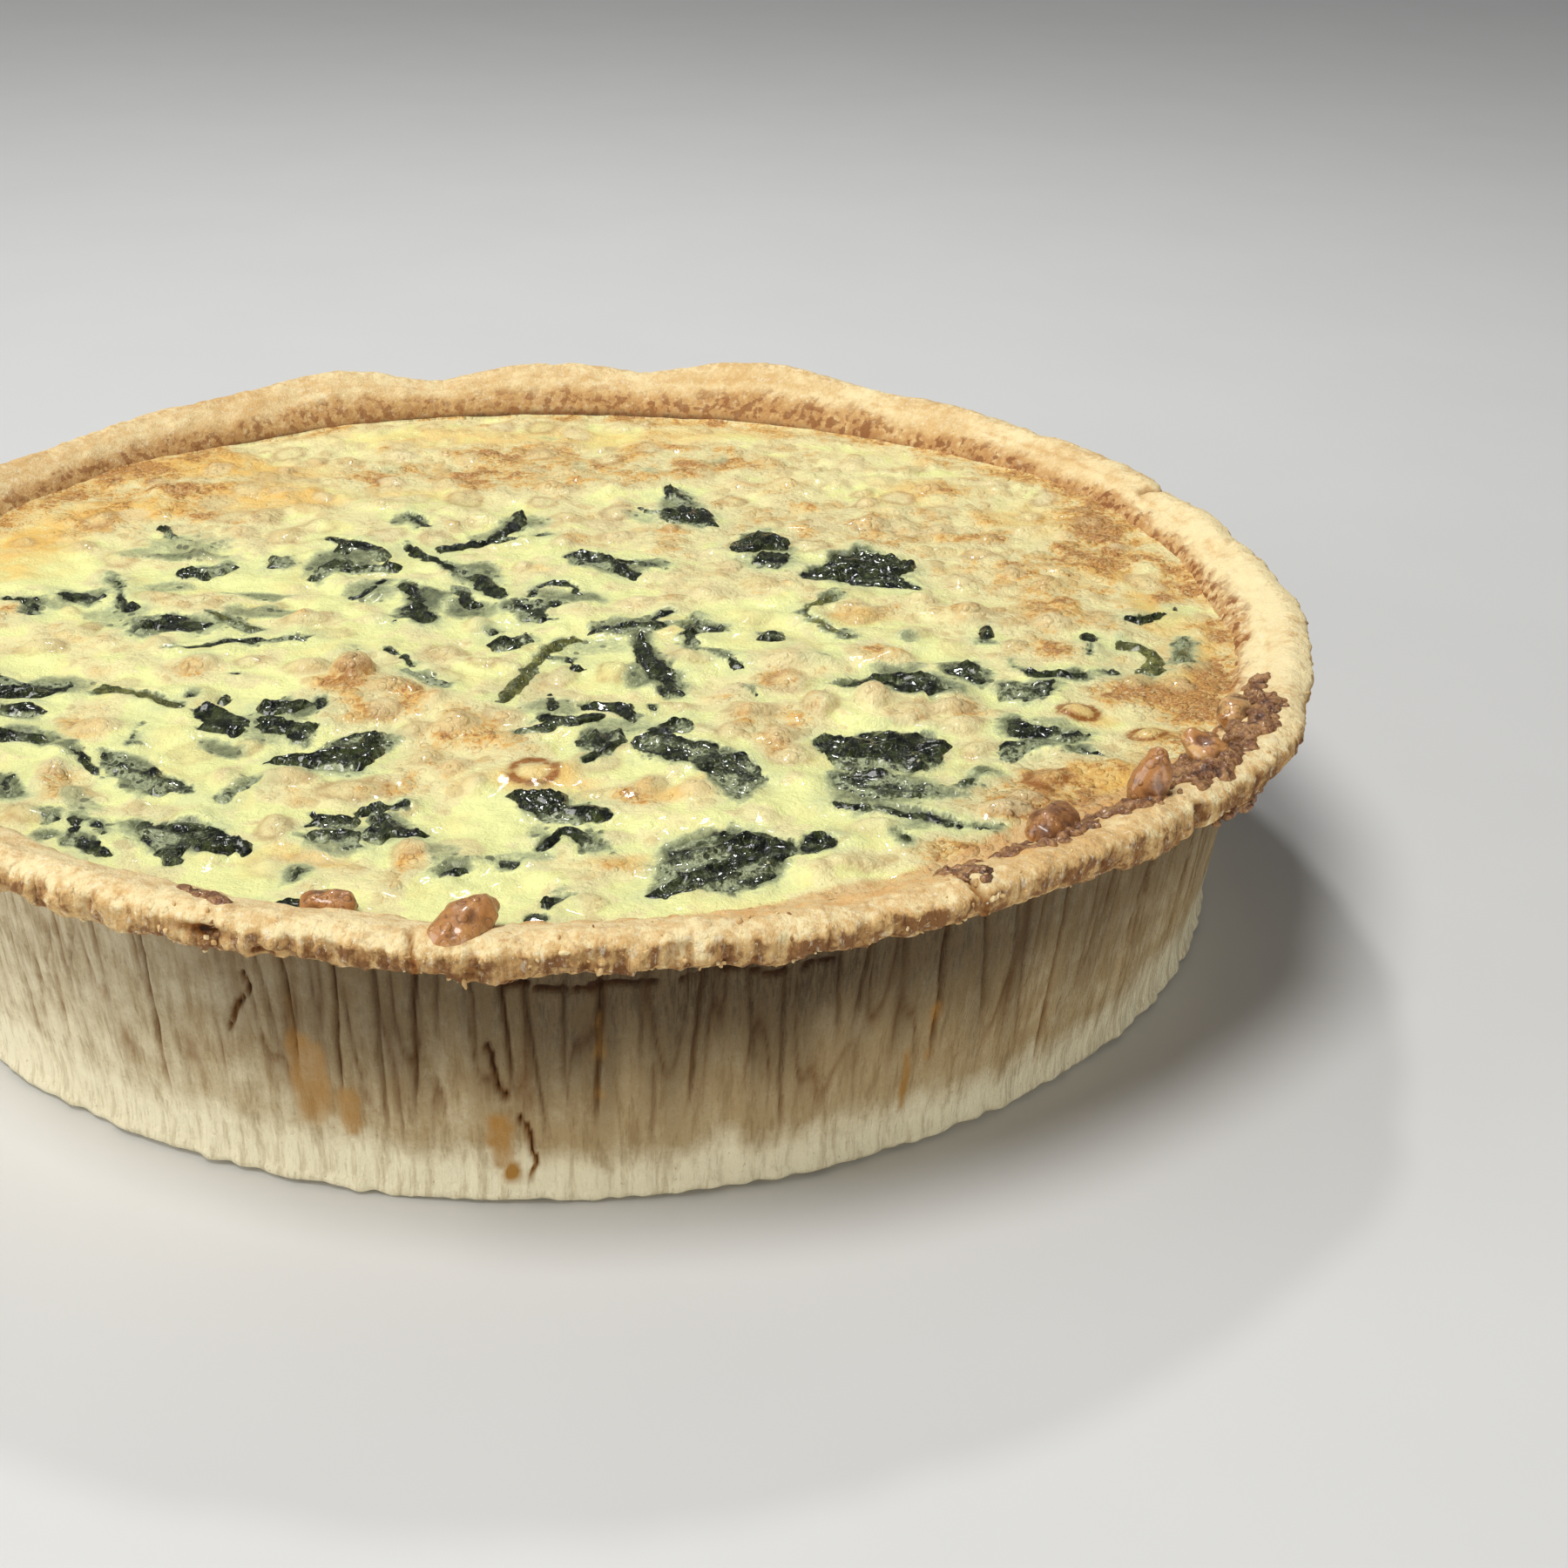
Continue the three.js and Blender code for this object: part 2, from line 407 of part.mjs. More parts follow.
// Outlines of the pieces of leaf that show, seen from above. They lie where they baked.
const LEAVES = [
  [
    [-50, -45.8], [-48, -44.8], [-46.2, -43.4], [-44.5, -45], [-41.8, -44.6], [-40.8, -42.6],
    [-39.2, -43.4], [-38.6, -45.8], [-39.4, -47.4], [-42, -46.8], [-44.5, -47.8], [-47.5, -48.8],
    [-50, -48.6],
  ],
  [
    [-50, -50.6], [-48, -50], [-45.8, -51], [-44.6, -53], [-40, -53.8], [-40.2, -56.5], [-41.2, -59.2],
    [-43.2, -58.4], [-45, -55.8], [-47.6, -55], [-49.6, -53.4],
  ],
  [
    [-34.2, -56.2], [-32, -55.2], [-29.4, -56], [-28, -58.4], [-28.8, -61.2], [-30.2, -64], [-30.6, -67.6],
    [-32.8, -69.6], [-36, -69], [-39.4, -67.8], [-42.4, -67], [-45.2, -66.6], [-47, -65.8], [-45.4, -64.2],
    [-41.8, -64.4], [-39.4, -62.6], [-37, -59.6],
  ],
  [
    [-95, -31], [-92.4, -32.6], [-89.6, -34.4], [-87, -33.8], [-84.6, -34.8], [-82.2, -33.8], [-81.4, -36],
    [-82, -39], [-84.2, -37.8], [-87, -38.8], [-90.4, -39], [-94, -39.6],
  ],
  [
    [-92, -42.6], [-89.4, -42.8], [-86.8, -40.6], [-86, -42.8], [-84, -45.2], [-87, -47.6], [-90.6, -46.8],
    [-92, -45.4],
  ],
  [
    [-91, -51.6], [-88.4, -52.4], [-85.4, -53.4], [-82.6, -54.6], [-80.6, -57], [-81, -60], [-83, -58.2],
    [-86, -57.4], [-88.6, -57], [-90.6, -55.6],
  ],
  [
    [-61, -46.2], [-58, -45.8], [-55.6, -47.4], [-53, -49.6], [-51, -51.6], [-51.8, -54], [-53, -55.8],
    [-56, -54.6], [-58.8, -54], [-57.4, -52.2], [-59, -50.4], [-60.6, -48.4],
  ],
  [
    [-73, -61.4], [-70.2, -61.6], [-67.6, -64.4], [-64, -67.6], [-60, -71.4], [-55.2, -76.4],
    [-57.4, -77.2], [-60.8, -75], [-61.2, -77], [-63, -77], [-65.8, -74.4], [-68, -71.4], [-70.4, -69.2],
    [-72.2, -66],
  ],
  [
    [-86.4, -69], [-84, -69], [-83.2, -72], [-81.8, -76.4], [-83.6, -77.6], [-85.2, -75.2], [-86.4, -72.4],
  ],
  [
    [-65.4, -86.2], [-62.4, -85.8], [-59, -87.4], [-56.6, -85.6], [-54.4, -85.4], [-51.6, -88.8],
    [-49.4, -91.4], [-46, -93.4], [-45.6, -95.6], [-48.4, -96.4], [-51.4, -96], [-54.6, -94.6], [-56, -96],
    [-55.4, -98.8], [-57.2, -99.4], [-59, -96], [-61, -93], [-62.4, -89.8],
  ],
  [
    [-73.2, -87.2], [-71.4, -86.8], [-70.8, -89.6], [-68.6, -91.2], [-67, -94], [-65.2, -96.8],
    [-67.6, -95.8], [-70.6, -93.8], [-72.6, -92.6], [-74, -91.6], [-72.6, -90.4],
  ],
  [
    [-70.6, -21.6], [-67.4, -20], [-62.8, -19], [-59, -17.2], [-56, -16.2], [-52, -16.8], [-48, -15.6],
    [-44.2, -15.2], [-45.4, -17.8], [-49.6, -17.8], [-53, -19], [-57.4, -19.2], [-61.6, -20.6],
    [-66.4, -21.4], [-70, -23.4],
  ],
  [
    [-76, -8], [-73.6, -7], [-71.4, -5.4], [-68.6, -5.8], [-66, -7.4], [-63.6, -9], [-61, -10.4],
    [-63, -12], [-66, -13.4], [-69, -13], [-71.4, -12.6], [-73.6, -14.6], [-75.6, -13.4], [-75.2, -11],
  ],
  [
    [-83, 14.6], [-81.8, 12], [-80.2, 8], [-79.6, 4], [-78.4, 0.6], [-76, -1.8], [-76.6, -4], [-79, -2.6],
    [-80.6, 0.6], [-81, 5], [-82, 9], [-83.2, 11.6],
  ],
  [
    [-91.4, 6.4], [-88.6, 5.2], [-85.4, 5.6], [-83, 5.4], [-83.2, 2], [-85.4, 1], [-88, 1.6], [-90.4, 3.4],
  ],
  [
    [-100.6, 3], [-97.6, 2.8], [-94, 3], [-93.8, 0], [-93.2, -3.4], [-94.6, -5.6], [-96.4, -4], [-95.6, -1],
    [-97.4, 0.6], [-100.4, 0.2],
  ],
  [
    [-72.6, 15.4], [-70, 17.4], [-67.6, 19], [-65.4, 18.4], [-63.6, 21], [-61.6, 19.4], [-62.4, 17],
    [-65, 15.2], [-66.6, 12.6], [-68.6, 14.8], [-70.6, 13], [-72.2, 13],
  ],
  [
    [-46.4, 34.8], [-43.6, 32], [-40.6, 31.6], [-38, 30], [-35.6, 27.4], [-34, 24.4], [-34.6, 22.4],
    [-36.8, 24], [-38.6, 27], [-40.8, 27.4], [-42, 24], [-43.6, 25.6], [-43.4, 29], [-45.6, 31],
  ],
  [
    [-47.8, 11.6], [-46.4, 16], [-46.2, 19.6], [-43.8, 21.6], [-41, 21.4], [-38.6, 19.4], [-34.4, 18.6],
    [-30.8, 18.4], [-30.8, 16.4], [-34.6, 16.2], [-37.6, 15.4], [-40.2, 16], [-43, 16.6], [-44.2, 13.6],
    [-45.6, 11.6],
  ],
  [
    [-31, 29.6], [-28.6, 26.6], [-25.6, 23], [-22.6, 19.4], [-19.6, 16.6], [-16.6, 14.4], [-14.2, 11],
    [-12.6, 6], [-10.2, 1.6], [-12, 0], [-14.6, 3.4], [-16, 8], [-18.4, 11.8], [-21.6, 13.6], [-24, 17.6],
    [-26.6, 21], [-29, 24.6],
  ],
  [
    [-30, 11.4], [-27.8, 9.8], [-26.4, 6.4], [-25, 4], [-26, 0.6], [-24.6, -2.6], [-23, -5.6],
    [-23.6, -8.4], [-25.6, -9.4], [-27.6, -6.6], [-29.4, -5.4], [-30.8, -7.4], [-29.8, -2.6], [-28.6, 1],
    [-29, 5], [-31, 7.6],
  ],
  [
    [-7.4, 1.6], [-6.6, 5.4], [-4, 8.2], [0, 8.2], [2.6, 6.6], [2.4, 3.2], [5.4, 0.8], [4.6, -0.4],
    [0.8, 2], [0.6, 5], [-1.6, 6.4], [-4.2, 5], [-5.8, 0.8],
  ],
  [
    [-11, -1.2], [-9, -0.4], [-6, -0.4], [-2, -1], [-0.4, -2.8], [-3, -3.6], [-5, -4.2], [-4.2, -7],
    [-2, -8.8], [-5, -9.4], [-7.4, -7.4], [-8.6, -4.4], [-10.6, -3.6], [-12, -2],
  ],
  [
    [-13.6, -18.4], [-11.6, -16.6], [-9, -16.2], [-7, -15], [-6.2, -17], [-8, -19], [-9, -21.2],
    [-11.2, -22.6], [-13, -21],
  ],
  [
    [-0.4, 22], [2.6, 25.4], [5.4, 25], [8, 22.4], [9.8, 18.8], [12, 15.4], [14.2, 12], [12.8, 10.4],
    [10.2, 12], [8.2, 15.4], [6, 18.2], [3.2, 16.4], [0.6, 18.2],
  ],
  [
    [-9.4, 50.4], [-8, 47], [-7.8, 42], [-8.6, 37.6], [-10.4, 35.4], [-13, 33], [-15.4, 31], [-14.6, 35],
    [-12, 38.4], [-11, 42], [-10.8, 46.6],
  ],
  [
    [-33, 45.4], [-31, 46.6], [-29, 44.6], [-27.6, 41.6], [-26.4, 38.6], [-28.4, 37], [-29.4, 40],
    [-31.4, 42],
  ],
  [
    [14.6, 52.2], [17.6, 50.2], [20, 50.4], [22.6, 51.2], [26.4, 51.4], [28.8, 48], [29.6, 43.6], [30, 40],
    [27, 39.6], [24, 41.4], [21, 42.6], [19.6, 45.4], [18.6, 47.6],
  ],
  [
    [20.6, 66], [22.8, 65], [25, 61], [26, 57], [26.4, 53], [24.6, 52.2], [22.8, 54], [21.6, 58],
    [20.4, 62],
  ],
  [
    [31.8, 25.4], [32.4, 30.2], [34.8, 34.4], [38, 36.4], [40.8, 35.4], [42.2, 31.6], [43.4, 27.4],
    [42.6, 25.2], [40.6, 26.8], [38, 26.4], [35.6, 24.4], [33.4, 23.8],
  ],
  [
    [36.4, 22.4], [38.4, 24.2], [41, 24], [43.2, 22.4], [43, 19.4], [41, 17.2], [40, 14], [38.6, 16.6],
    [36, 18.6],
  ],
  [
    [43.8, 12.6], [45.6, 15], [48.6, 16.6], [50, 19.4], [50.8, 22.4], [54.6, 23], [56.4, 26.2], [59, 24.6],
    [61, 22.4], [63.6, 22], [64, 19], [66, 17.6], [65.4, 14.4], [63, 12.6], [63.6, 9], [66, 5], [65.4, 2.4],
    [62.6, 5], [59.4, 6.8], [55, 7], [53, 10], [49.6, 9], [46.6, 8.6], [44, 10],
  ],
  [
    [3.2, -15.6], [5.2, -11.6], [8.4, -10.2], [12, -10.6], [14.6, -8.6], [18.2, -5.2], [19.8, -6.8],
    [17.2, -9.4], [15.8, -11.4], [18.4, -12.6], [18, -14.2], [13.8, -14.4], [9.6, -14.6], [6.6, -15],
  ],
  [
    [11.6, -15.2], [14, -15.2], [14.6, -20], [15.6, -25], [17.4, -30], [19.2, -34], [19.6, -38],
    [18.8, -41.6], [16.6, -42], [15, -40], [15.8, -37], [14, -33.4], [12.4, -30], [12, -25], [11.2, -20],
  ],
  [
    [20.2, -13.6], [21.4, -11], [23, -7.6], [24.4, -9], [25, -12], [28.2, -12.6], [28, -14.4],
    [24.6, -14.6], [23, -17], [22.4, -21.6], [21.4, -22], [20.8, -18], [20, -15.6],
  ],
  [
    [-8.6, -58.4], [-8.2, -56.6], [-5.2, -55.4], [-3.2, -54], [-5.4, -51.6], [-5, -50.2], [-2, -51.2],
    [1.2, -52], [4.2, -50.4], [6, -51.2], [5.4, -53.4], [2.6, -54.6], [0.4, -55.6], [-1.8, -56.2],
    [-3.2, -58.6], [-5.8, -57.6],
  ],
  [
    [1.8, -58.6], [3.4, -56.6], [5.6, -57.4], [8.6, -58.8], [9, -61], [7.6, -63.4], [5.8, -65.6],
    [3.4, -65.4], [2, -63.2], [1.4, -60.8],
  ],
  [
    [9.8, -60.8], [14, -60.4], [19, -61.4], [22.2, -63], [24.8, -66], [27.4, -69], [29.4, -72.4],
    [30, -76.4], [28.4, -79.6], [27.2, -82.2], [25.6, -84.6], [24.6, -82.4], [23.4, -79.4], [22, -76.6],
    [19.6, -73.2], [16.8, -70.4], [12.8, -68.2], [10, -65.4],
  ],
  [
    [12, -58.8], [13.2, -56.8], [15.2, -54.6], [17, -53.2], [19.4, -53.4], [20.8, -56.4], [19.6, -58.6],
    [17.4, -59.4], [14.6, -59.4],
  ],
  [
    [39.4, -60.4], [41.4, -59.6], [44, -61], [48, -58.6], [51.4, -57.4], [54, -58.4], [57, -58.4],
    [59, -60.8], [60.4, -63.6], [59, -66.6], [58.4, -69.6], [55.6, -71.6], [53, -72.8], [48.4, -71],
    [42.6, -71.2], [41.2, -68], [40.4, -65], [38.8, -63],
  ],
  [
    [40.2, -73.6], [44.4, -72.6], [48.6, -72.8], [51, -75.6], [53.8, -77.6], [56.6, -78.8], [57.2, -81],
    [60, -82.6], [57, -84], [53.4, -83.4], [50, -83], [46.6, -84.2], [43.6, -82.8], [41.4, -80.2],
    [40.4, -77],
  ],
  [
    [38.8, -85.2], [42.4, -86.2], [46.6, -86.6], [50.4, -87.8], [54, -89.8], [57, -92], [58.6, -94.6],
    [56, -95.8], [53, -94.2], [50.4, -91.6], [46.8, -89.2], [42.8, -88.2], [40, -87.2],
  ],
  [
    [13.4, -100.4], [14.6, -98], [17, -95.8], [20, -94.2], [23, -93.6], [27, -94.8], [30.4, -96.8],
    [32.4, -98.6], [33, -101], [31, -103.6], [30, -106.4], [28.6, -109], [26, -111.4], [22.6, -113],
    [19.6, -112.4], [17.6, -110], [16.4, -112.6], [13, -113.6], [10, -112.6], [11.4, -110], [12.8, -107],
    [12.8, -103.4],
  ],
  [
    [-9.4, -80], [-7, -79.6], [-4, -80.2], [-1, -80.6], [0.2, -83], [3, -83.4], [5.4, -85], [6, -87.6],
    [4.4, -89.4], [1.6, -89], [-0.8, -87.6], [-3.2, -88], [-5.6, -85.8], [-7.8, -83.4],
  ],
  [
    [-1.8, -90.8], [0.4, -91.6], [2.6, -92.8], [4, -95], [5.6, -97.6], [3.4, -98.2], [1.4, -98.8],
    [0.6, -96.4], [-0.4, -93.6],
  ],
  [
    [-28.6, -84.2], [-26.6, -85.4], [-25.2, -87.4], [-24.2, -89.4], [-21.2, -92], [-23.6, -92.6],
    [-26.2, -92.2], [-28, -94.2], [-30, -93.4], [-29.6, -91], [-28.8, -88.6], [-29.8, -86.2],
  ],
  [
    [-39.8, -91.4], [-37, -90.6], [-33.6, -91], [-31, -92], [-30.8, -94.2], [-28.8, -96], [-31.4, -96],
    [-34.6, -94.8], [-37.6, -93.6],
  ],
  [
    [43, -40.4], [46.2, -38.2], [50, -36.4], [53.6, -35.4], [57.4, -36], [61, -36.4], [64, -38.4],
    [66.4, -41.8], [63.6, -43.6], [60, -44.4], [57.2, -45.4], [55, -43], [51.6, -41.4], [48, -41.6],
    [45.4, -43.6],
  ],
  [
    [62.8, -33.4], [65, -31], [68, -30.6], [70.8, -30], [72, -33], [71.6, -36.4], [70.4, -38],
    [67.4, -36.6], [65, -35.2],
  ],
  [
    [71.4, -53.6], [73, -52], [74.6, -55], [76.6, -57.4], [79.2, -58.2], [82, -59.4], [84, -60.4],
    [82.4, -62.6], [80.6, -64.2], [78, -63], [75.4, -61.4], [72.6, -60.4], [71.2, -58.4],
  ],
  [
    [76.4, -29.4], [77.8, -32.6], [80, -34.2], [83, -34.4], [86, -34.8], [90, -34.2], [94, -34.2],
    [93.6, -35.2], [90, -35.4], [88.4, -37.4], [85.6, -37.4], [83.6, -36.2], [82, -37.6], [78.8, -37.4],
    [77.6, -35],
  ],
];

// Stems: their width and the run of their middle.
const STEMS = [
  {
    width: 2.4,
    run: [
      [-77.5, -36.4], [-73, -38.8], [-69, -41.2], [-65, -44.4], [-62.4, -46],
    ],
  },
  {
    width: 2,
    run: [
      [-63.4, -4.6], [-59.2, -8.6], [-54, -13.6],
    ],
  },
  {
    width: 2,
    run: [
      [1.6, -16.6], [-3, -21], [-6, -29], [-8.5, -37], [-10.8, -45],
    ],
  },
  {
    width: 1.8,
    run: [
      [50, 2], [43, -6], [44, -10], [50, -19],
    ],
  },
  {
    width: 2.2,
    run: [
      [97.1, -22.6], [100.2, -25], [102.3, -28.8], [101.4, -32], [101.6, -34.6], [98.6, -35],
    ],
  },
  {
    width: 1.7,
    run: [
      [109.8, -19.6], [109, -24], [107.6, -28], [106.6, -32],
    ],
  },
];

// The outline of a strip along a run of points.
function stripOutline({ run, width }) {
  const points = run.map(([x, y]) => new THREE.Vector2(x, y));
  const sides = points.map((point, index) => {
    const before = points[Math.max(index - 1, 0)];
    const after = points[Math.min(index + 1, points.length - 1)];
    const ahead = after.clone().sub(before).setLength(width / 2);
    return new THREE.Vector2(-ahead.y, ahead.x);
  });
  const left = points.map((point, index) => point.clone().add(sides[index]));
  const right = points.map((point, index) => point.clone().sub(sides[index]));
  return [...left, ...right.reverse()];
}

// A leaf or stem laid on the custard: a thin solid that follows the skin and ripples over it. Both
// of its faces are split into triangles alike, and a wall runs round its edge.
function spinachGeometry(outline) {
  const edge = THREE.ShapeUtils.isClockWise(outline) ? [...outline].reverse() : outline;
  const count = edge.length;
  const positions = new Float32Array(count * 6);
  edge.forEach(({ x, y }, index) => {
    const ripple = 0.5 + 0.5 * Math.sin(RIPPLE_ALONG * x) * Math.cos(RIPPLE_ACROSS * y);
    const under = custardHeight(x, y) + LEAF_CLEARANCE + LEAF_RIPPLE * ripple;
    positions.set([x, y, under + LEAF_THICKNESS], index * 3);
    positions.set([x, y, under], (count + index) * 3);
  });
  const faces = [];
  for (const [a, b, c] of THREE.ShapeUtils.triangulateShape(edge, [])) {
    faces.push(a, b, c, count + a, count + c, count + b);
  }
  for (let from = 0; from < count; from += 1) {
    const to = (from + 1) % count;
    faces.push(to, from, count + from, to, count + from, count + to);
  }
  const solid = new THREE.BufferGeometry();
  solid.setAttribute('position', new THREE.BufferAttribute(positions, 3));
  solid.setIndex(faces);
  return solid;
}

// ---- The object ----

const PASTRY = new THREE.MeshStandardMaterial({ color: 0xd2ac76, roughness: 0.85, metalness: 0 });
const CUSTARD = new THREE.MeshStandardMaterial({ color: 0xf0dc96, roughness: 0.4, metalness: 0 });
const SPINACH = new THREE.MeshStandardMaterial({ color: 0x2c3a30, roughness: 0.35, metalness: 0 });
const STEM = new THREE.MeshStandardMaterial({ color: 0x6f7440, roughness: 0.4, metalness: 0 });

function namedMesh(name, geometry, material) {
  const mesh = new THREE.Mesh(geometry, material);
  mesh.name = name;
  return mesh;
}

function fused(core, pieces) {
  const solid = pieces.reduce((whole, piece) => whole.add(toSolid(piece)), toSolid(core));
  return toGeometry(solid);
}

const quiche = new THREE.Group();
quiche.add(namedMesh('crust', fused(crustGeometry(), rimPieces()), PASTRY));
quiche.add(namedMesh('custard', fused(custardGeometry(), BURIED_NUTS.map(nutInCustard)), CUSTARD));

LEAVES.forEach((corners, index) => {
  const name = `spinach_leaf_${String(index + 1).padStart(2, '0')}`;
  const outline = corners.map(([x, y]) => new THREE.Vector2(x, y));
  quiche.add(namedMesh(name, spinachGeometry(outline), SPINACH));
});
STEMS.forEach((stem, index) => {
  quiche.add(namedMesh(`spinach_stem_${index + 1}`, spinachGeometry(stripOutline(stem)), STEM));
});

export default quiche;
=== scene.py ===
"""A deep spinach quiche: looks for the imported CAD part, built in the order it is put together.

Sizes are in millimetres where a piece is designed, and in metres in its finished mesh.
"""

import math

import bmesh
import bpy
import numpy as np
from mathutils import Matrix, Vector


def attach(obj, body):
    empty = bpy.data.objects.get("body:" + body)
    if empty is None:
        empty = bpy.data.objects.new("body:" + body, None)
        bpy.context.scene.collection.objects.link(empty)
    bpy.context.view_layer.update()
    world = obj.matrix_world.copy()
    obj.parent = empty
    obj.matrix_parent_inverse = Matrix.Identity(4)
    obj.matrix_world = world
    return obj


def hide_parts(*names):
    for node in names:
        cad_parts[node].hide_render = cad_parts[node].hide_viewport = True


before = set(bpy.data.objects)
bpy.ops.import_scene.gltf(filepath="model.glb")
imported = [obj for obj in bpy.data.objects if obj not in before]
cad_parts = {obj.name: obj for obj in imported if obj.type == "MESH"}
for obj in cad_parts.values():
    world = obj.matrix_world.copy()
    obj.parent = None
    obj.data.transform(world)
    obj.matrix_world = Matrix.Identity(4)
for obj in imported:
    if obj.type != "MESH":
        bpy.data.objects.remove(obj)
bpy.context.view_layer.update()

# ---- Pastry case ----------------------------------------------------------------------------
# Shortcrust pressed into a deep loose-based tin and baked: a flat base, a tall wall that the tin's
# paper lining has pleated, and a thick rolled lip that hangs out over the wall, crumbly and ragged.

MM = 0.001


def hill(degrees, at, spread):
    """A smooth hill of height 1 round one bearing, in degrees from +X towards +Y."""
    off = (degrees - at + 180) % 360 - 180
    return np.exp(-((off / spread) ** 2))


def ease(value, low, high):
    """0 below low and 1 above high, with a soft change between."""
    share = np.clip((value - low) / (high - low), 0, 1)
    return share * share * (3 - 2 * share)


def soft_noise(points, size, seed):
    """Smooth lumps between -1 and 1, about size across, the same each run."""
    spot = points / size + seed * 17.31
    low = np.floor(spot).astype(np.int64)
    part = spot - low
    part = part * part * (3 - 2 * part)
    total = np.zeros(len(points))
    for corner in range(8):
        step = np.array([corner & 1, corner >> 1 & 1, corner >> 2 & 1])
        cell = low + step
        mixed = cell[:, 0] * 374761393 + cell[:, 1] * 668265263 + cell[:, 2] * 1440662683
        mixed = (mixed + seed * 974634777) & 0xFFFFFFFF
        mixed = ((mixed ^ (mixed >> 13)) * 1274126177) & 0xFFFFFFFF
        lump = ((mixed ^ (mixed >> 16)) & 0xFFFF) / 32767.5 - 1
        total += lump * np.prod(np.where(step, part, 1 - part), axis=1)
    return total * 1.5


def crinkle(points, size, seed):
    """Sharp-crested lumps between 0 and 1."""
    return 1 - np.minimum(np.abs(soft_noise(points, size, seed)) * 1.3, 1)


# The section's corners, outside then inside: radius, height, how far each follows the rim's hills,
# how deeply it is pleated, how much it crumbles, and the spacing of points up to the next corner.
SECTION = [
    (116.6, 0.0, 0, 0, 0.15, 0.8),
    (118.5, 0.35, 0, 0, 0.7, 0.6),
    (119.1, 1.6, 0, 0.1, 0.6, 0.8),
    (118.9, 5.0, 0, 0.7, 0.15, 1.35),
    (120.9, 20.0, 0, 1, 0, 1.35),
    (122.8, 34.0, 0, 1, 0, 0.9),
    (124.0, 42.6, 0, 1, 0.1, 0.7),
    (125.5, 45.3, 0.3, 0.4, 0.3, 0.75),
    (128.6, 45.5, 0.7, 0, 0.6, 0.7),
    (131.5, 46.1, 1, 0, 1, 0.6),
    (132.9, 47.9, 1, 0, 1, 0.65),
    (133.0, 50.0, 1, 0, 0.9, 0.65),
    (131.7, 51.6, 1, 0, 0.6, 0.7),
    (129.2, 52.2, 1, 0, 0.4, 0.85),
    (125.4, 50.9, 0.6, 0, 0.35, 0.85),
    (121.7, 48.5, 0.3, 0, 0.35, 0.9),
    (119.3, 45.0, 0, 0, 0.1, 2.5),
    (118.5, 40.0, 0, 0, 0, 40),
    (112.8, 8.5, 0, 0, 0, 10),
    (109.3, 6.0, 0, 0, 0, 10),
]
LONGEST_BEND = 20  # longer stretches of the section run straight
CASE_FLOOR = 6.0
CASE_STEPS = 1140
FRONT = math.radians(-80)
FRONT_CROWDING = 0.5  # the steps round the case lie closer together at the front

# Where the rim bulges or dips: bearing, spread, how far out, how far up.
RIM_HILLS = [
    (145, 10, -1.5, -0.6),
    (114, 7, 1.0, 1.7),
    (103, 4, -1.5, -1.8),
    (92, 6, 0.8, 1.1),
    (82, 3, -0.5, -0.8),
    (69, 8, 2.4, 3.0),
    (51, 8, 0.8, 0.9),
    (20, 3, -1.0, -0.5),
    (8, 12, -1.2, -0.3),
    (-34, 9, 2.6, 0.3),
    (-72, 5, -0.5, -0.7),
    (-96, 5, 0.6, -0.9),
    (-128, 12, 0.5, 0.3),
    (-168, 9, -0.9, 0.8),
    (172, 6, 0.9, -0.6),
]

# Creases that the lining pressed into the wall: bearing and height of the top and of the foot, depth.
CREASES = [
    (-128, 35, -130, 20, 0.5),
    (-125.4, 38, -127.3, 25, 0.5),
    (-119.2, 42, -119.6, 10, 1.0),
    (-113.4, 42, -113.2, 33, 0.5),
    (-110.8, 43, -110, 24, 0.6),
    (-108.9, 43, -108.9, 20, 1.0),
    (-105.4, 41, -105.9, 17, 1.0),
    (-102.7, 41, -102.8, 12, 0.7),
    (-100, 41, -100.7, 16, 1.0),
    (-98.6, 41, -98.8, 29, 0.6),
    (-96.5, 42, -96.4, 25, 0.6),
    (-94.7, 42, -94, 20, 1.1),
    (-93.2, 40, -91.9, 14, 0.8),
    (-90.5, 40, -90.6, 20, 0.6),
    (-88.1, 43, -88.6, 14, 1.0),
    (-85.6, 40, -85.6, 24, 0.5),
    (-84.7, 24, -84.6, 7.5, 0.5),
    (-81.5, 42, -82.4, 16, 0.9),
    (-78.6, 41, -77.7, 20, 0.6),
    (-76.1, 42, -75.5, 8, 0.7),
    (-72.3, 42, -71.9, 24, 0.7),
    (-70.1, 42, -70.8, 25, 0.7),
    (-67.6, 43, -67.1, 32, 0.7),
    (-64.3, 43, -63.8, 16, 1.0),
    (-61.1, 41, -59.5, 19, 0.7),
    (-58.1, 41, -57.6, 30, 0.5),
]
MORE_CREASES = (-55.5, 229)  # the bearings between which a loop makes the rest of them
# Open cracks, as runs of bearing and height.
CRACKS = [
    [(-95.8, 29.5), (-95.4, 27), (-95.1, 21.5), (-94.4, 19.5)],
    [(-94.3, 17), (-93.4, 14.8), (-92.9, 10), (-92.6, 7), (-93.1, 5.6)],
    [(-111.9, 37), (-111.6, 35), (-112.6, 31.6), (-113.2, 28.8), (-113.5, 27)],
    [(-94.7, 39.8), (-90, 39.0), (-87, 40.2), (-84.5, 39.4)],
    [(-83, 39.9), (-79, 40.5), (-76.5, 39.2), (-72.8, 40.0)],
]
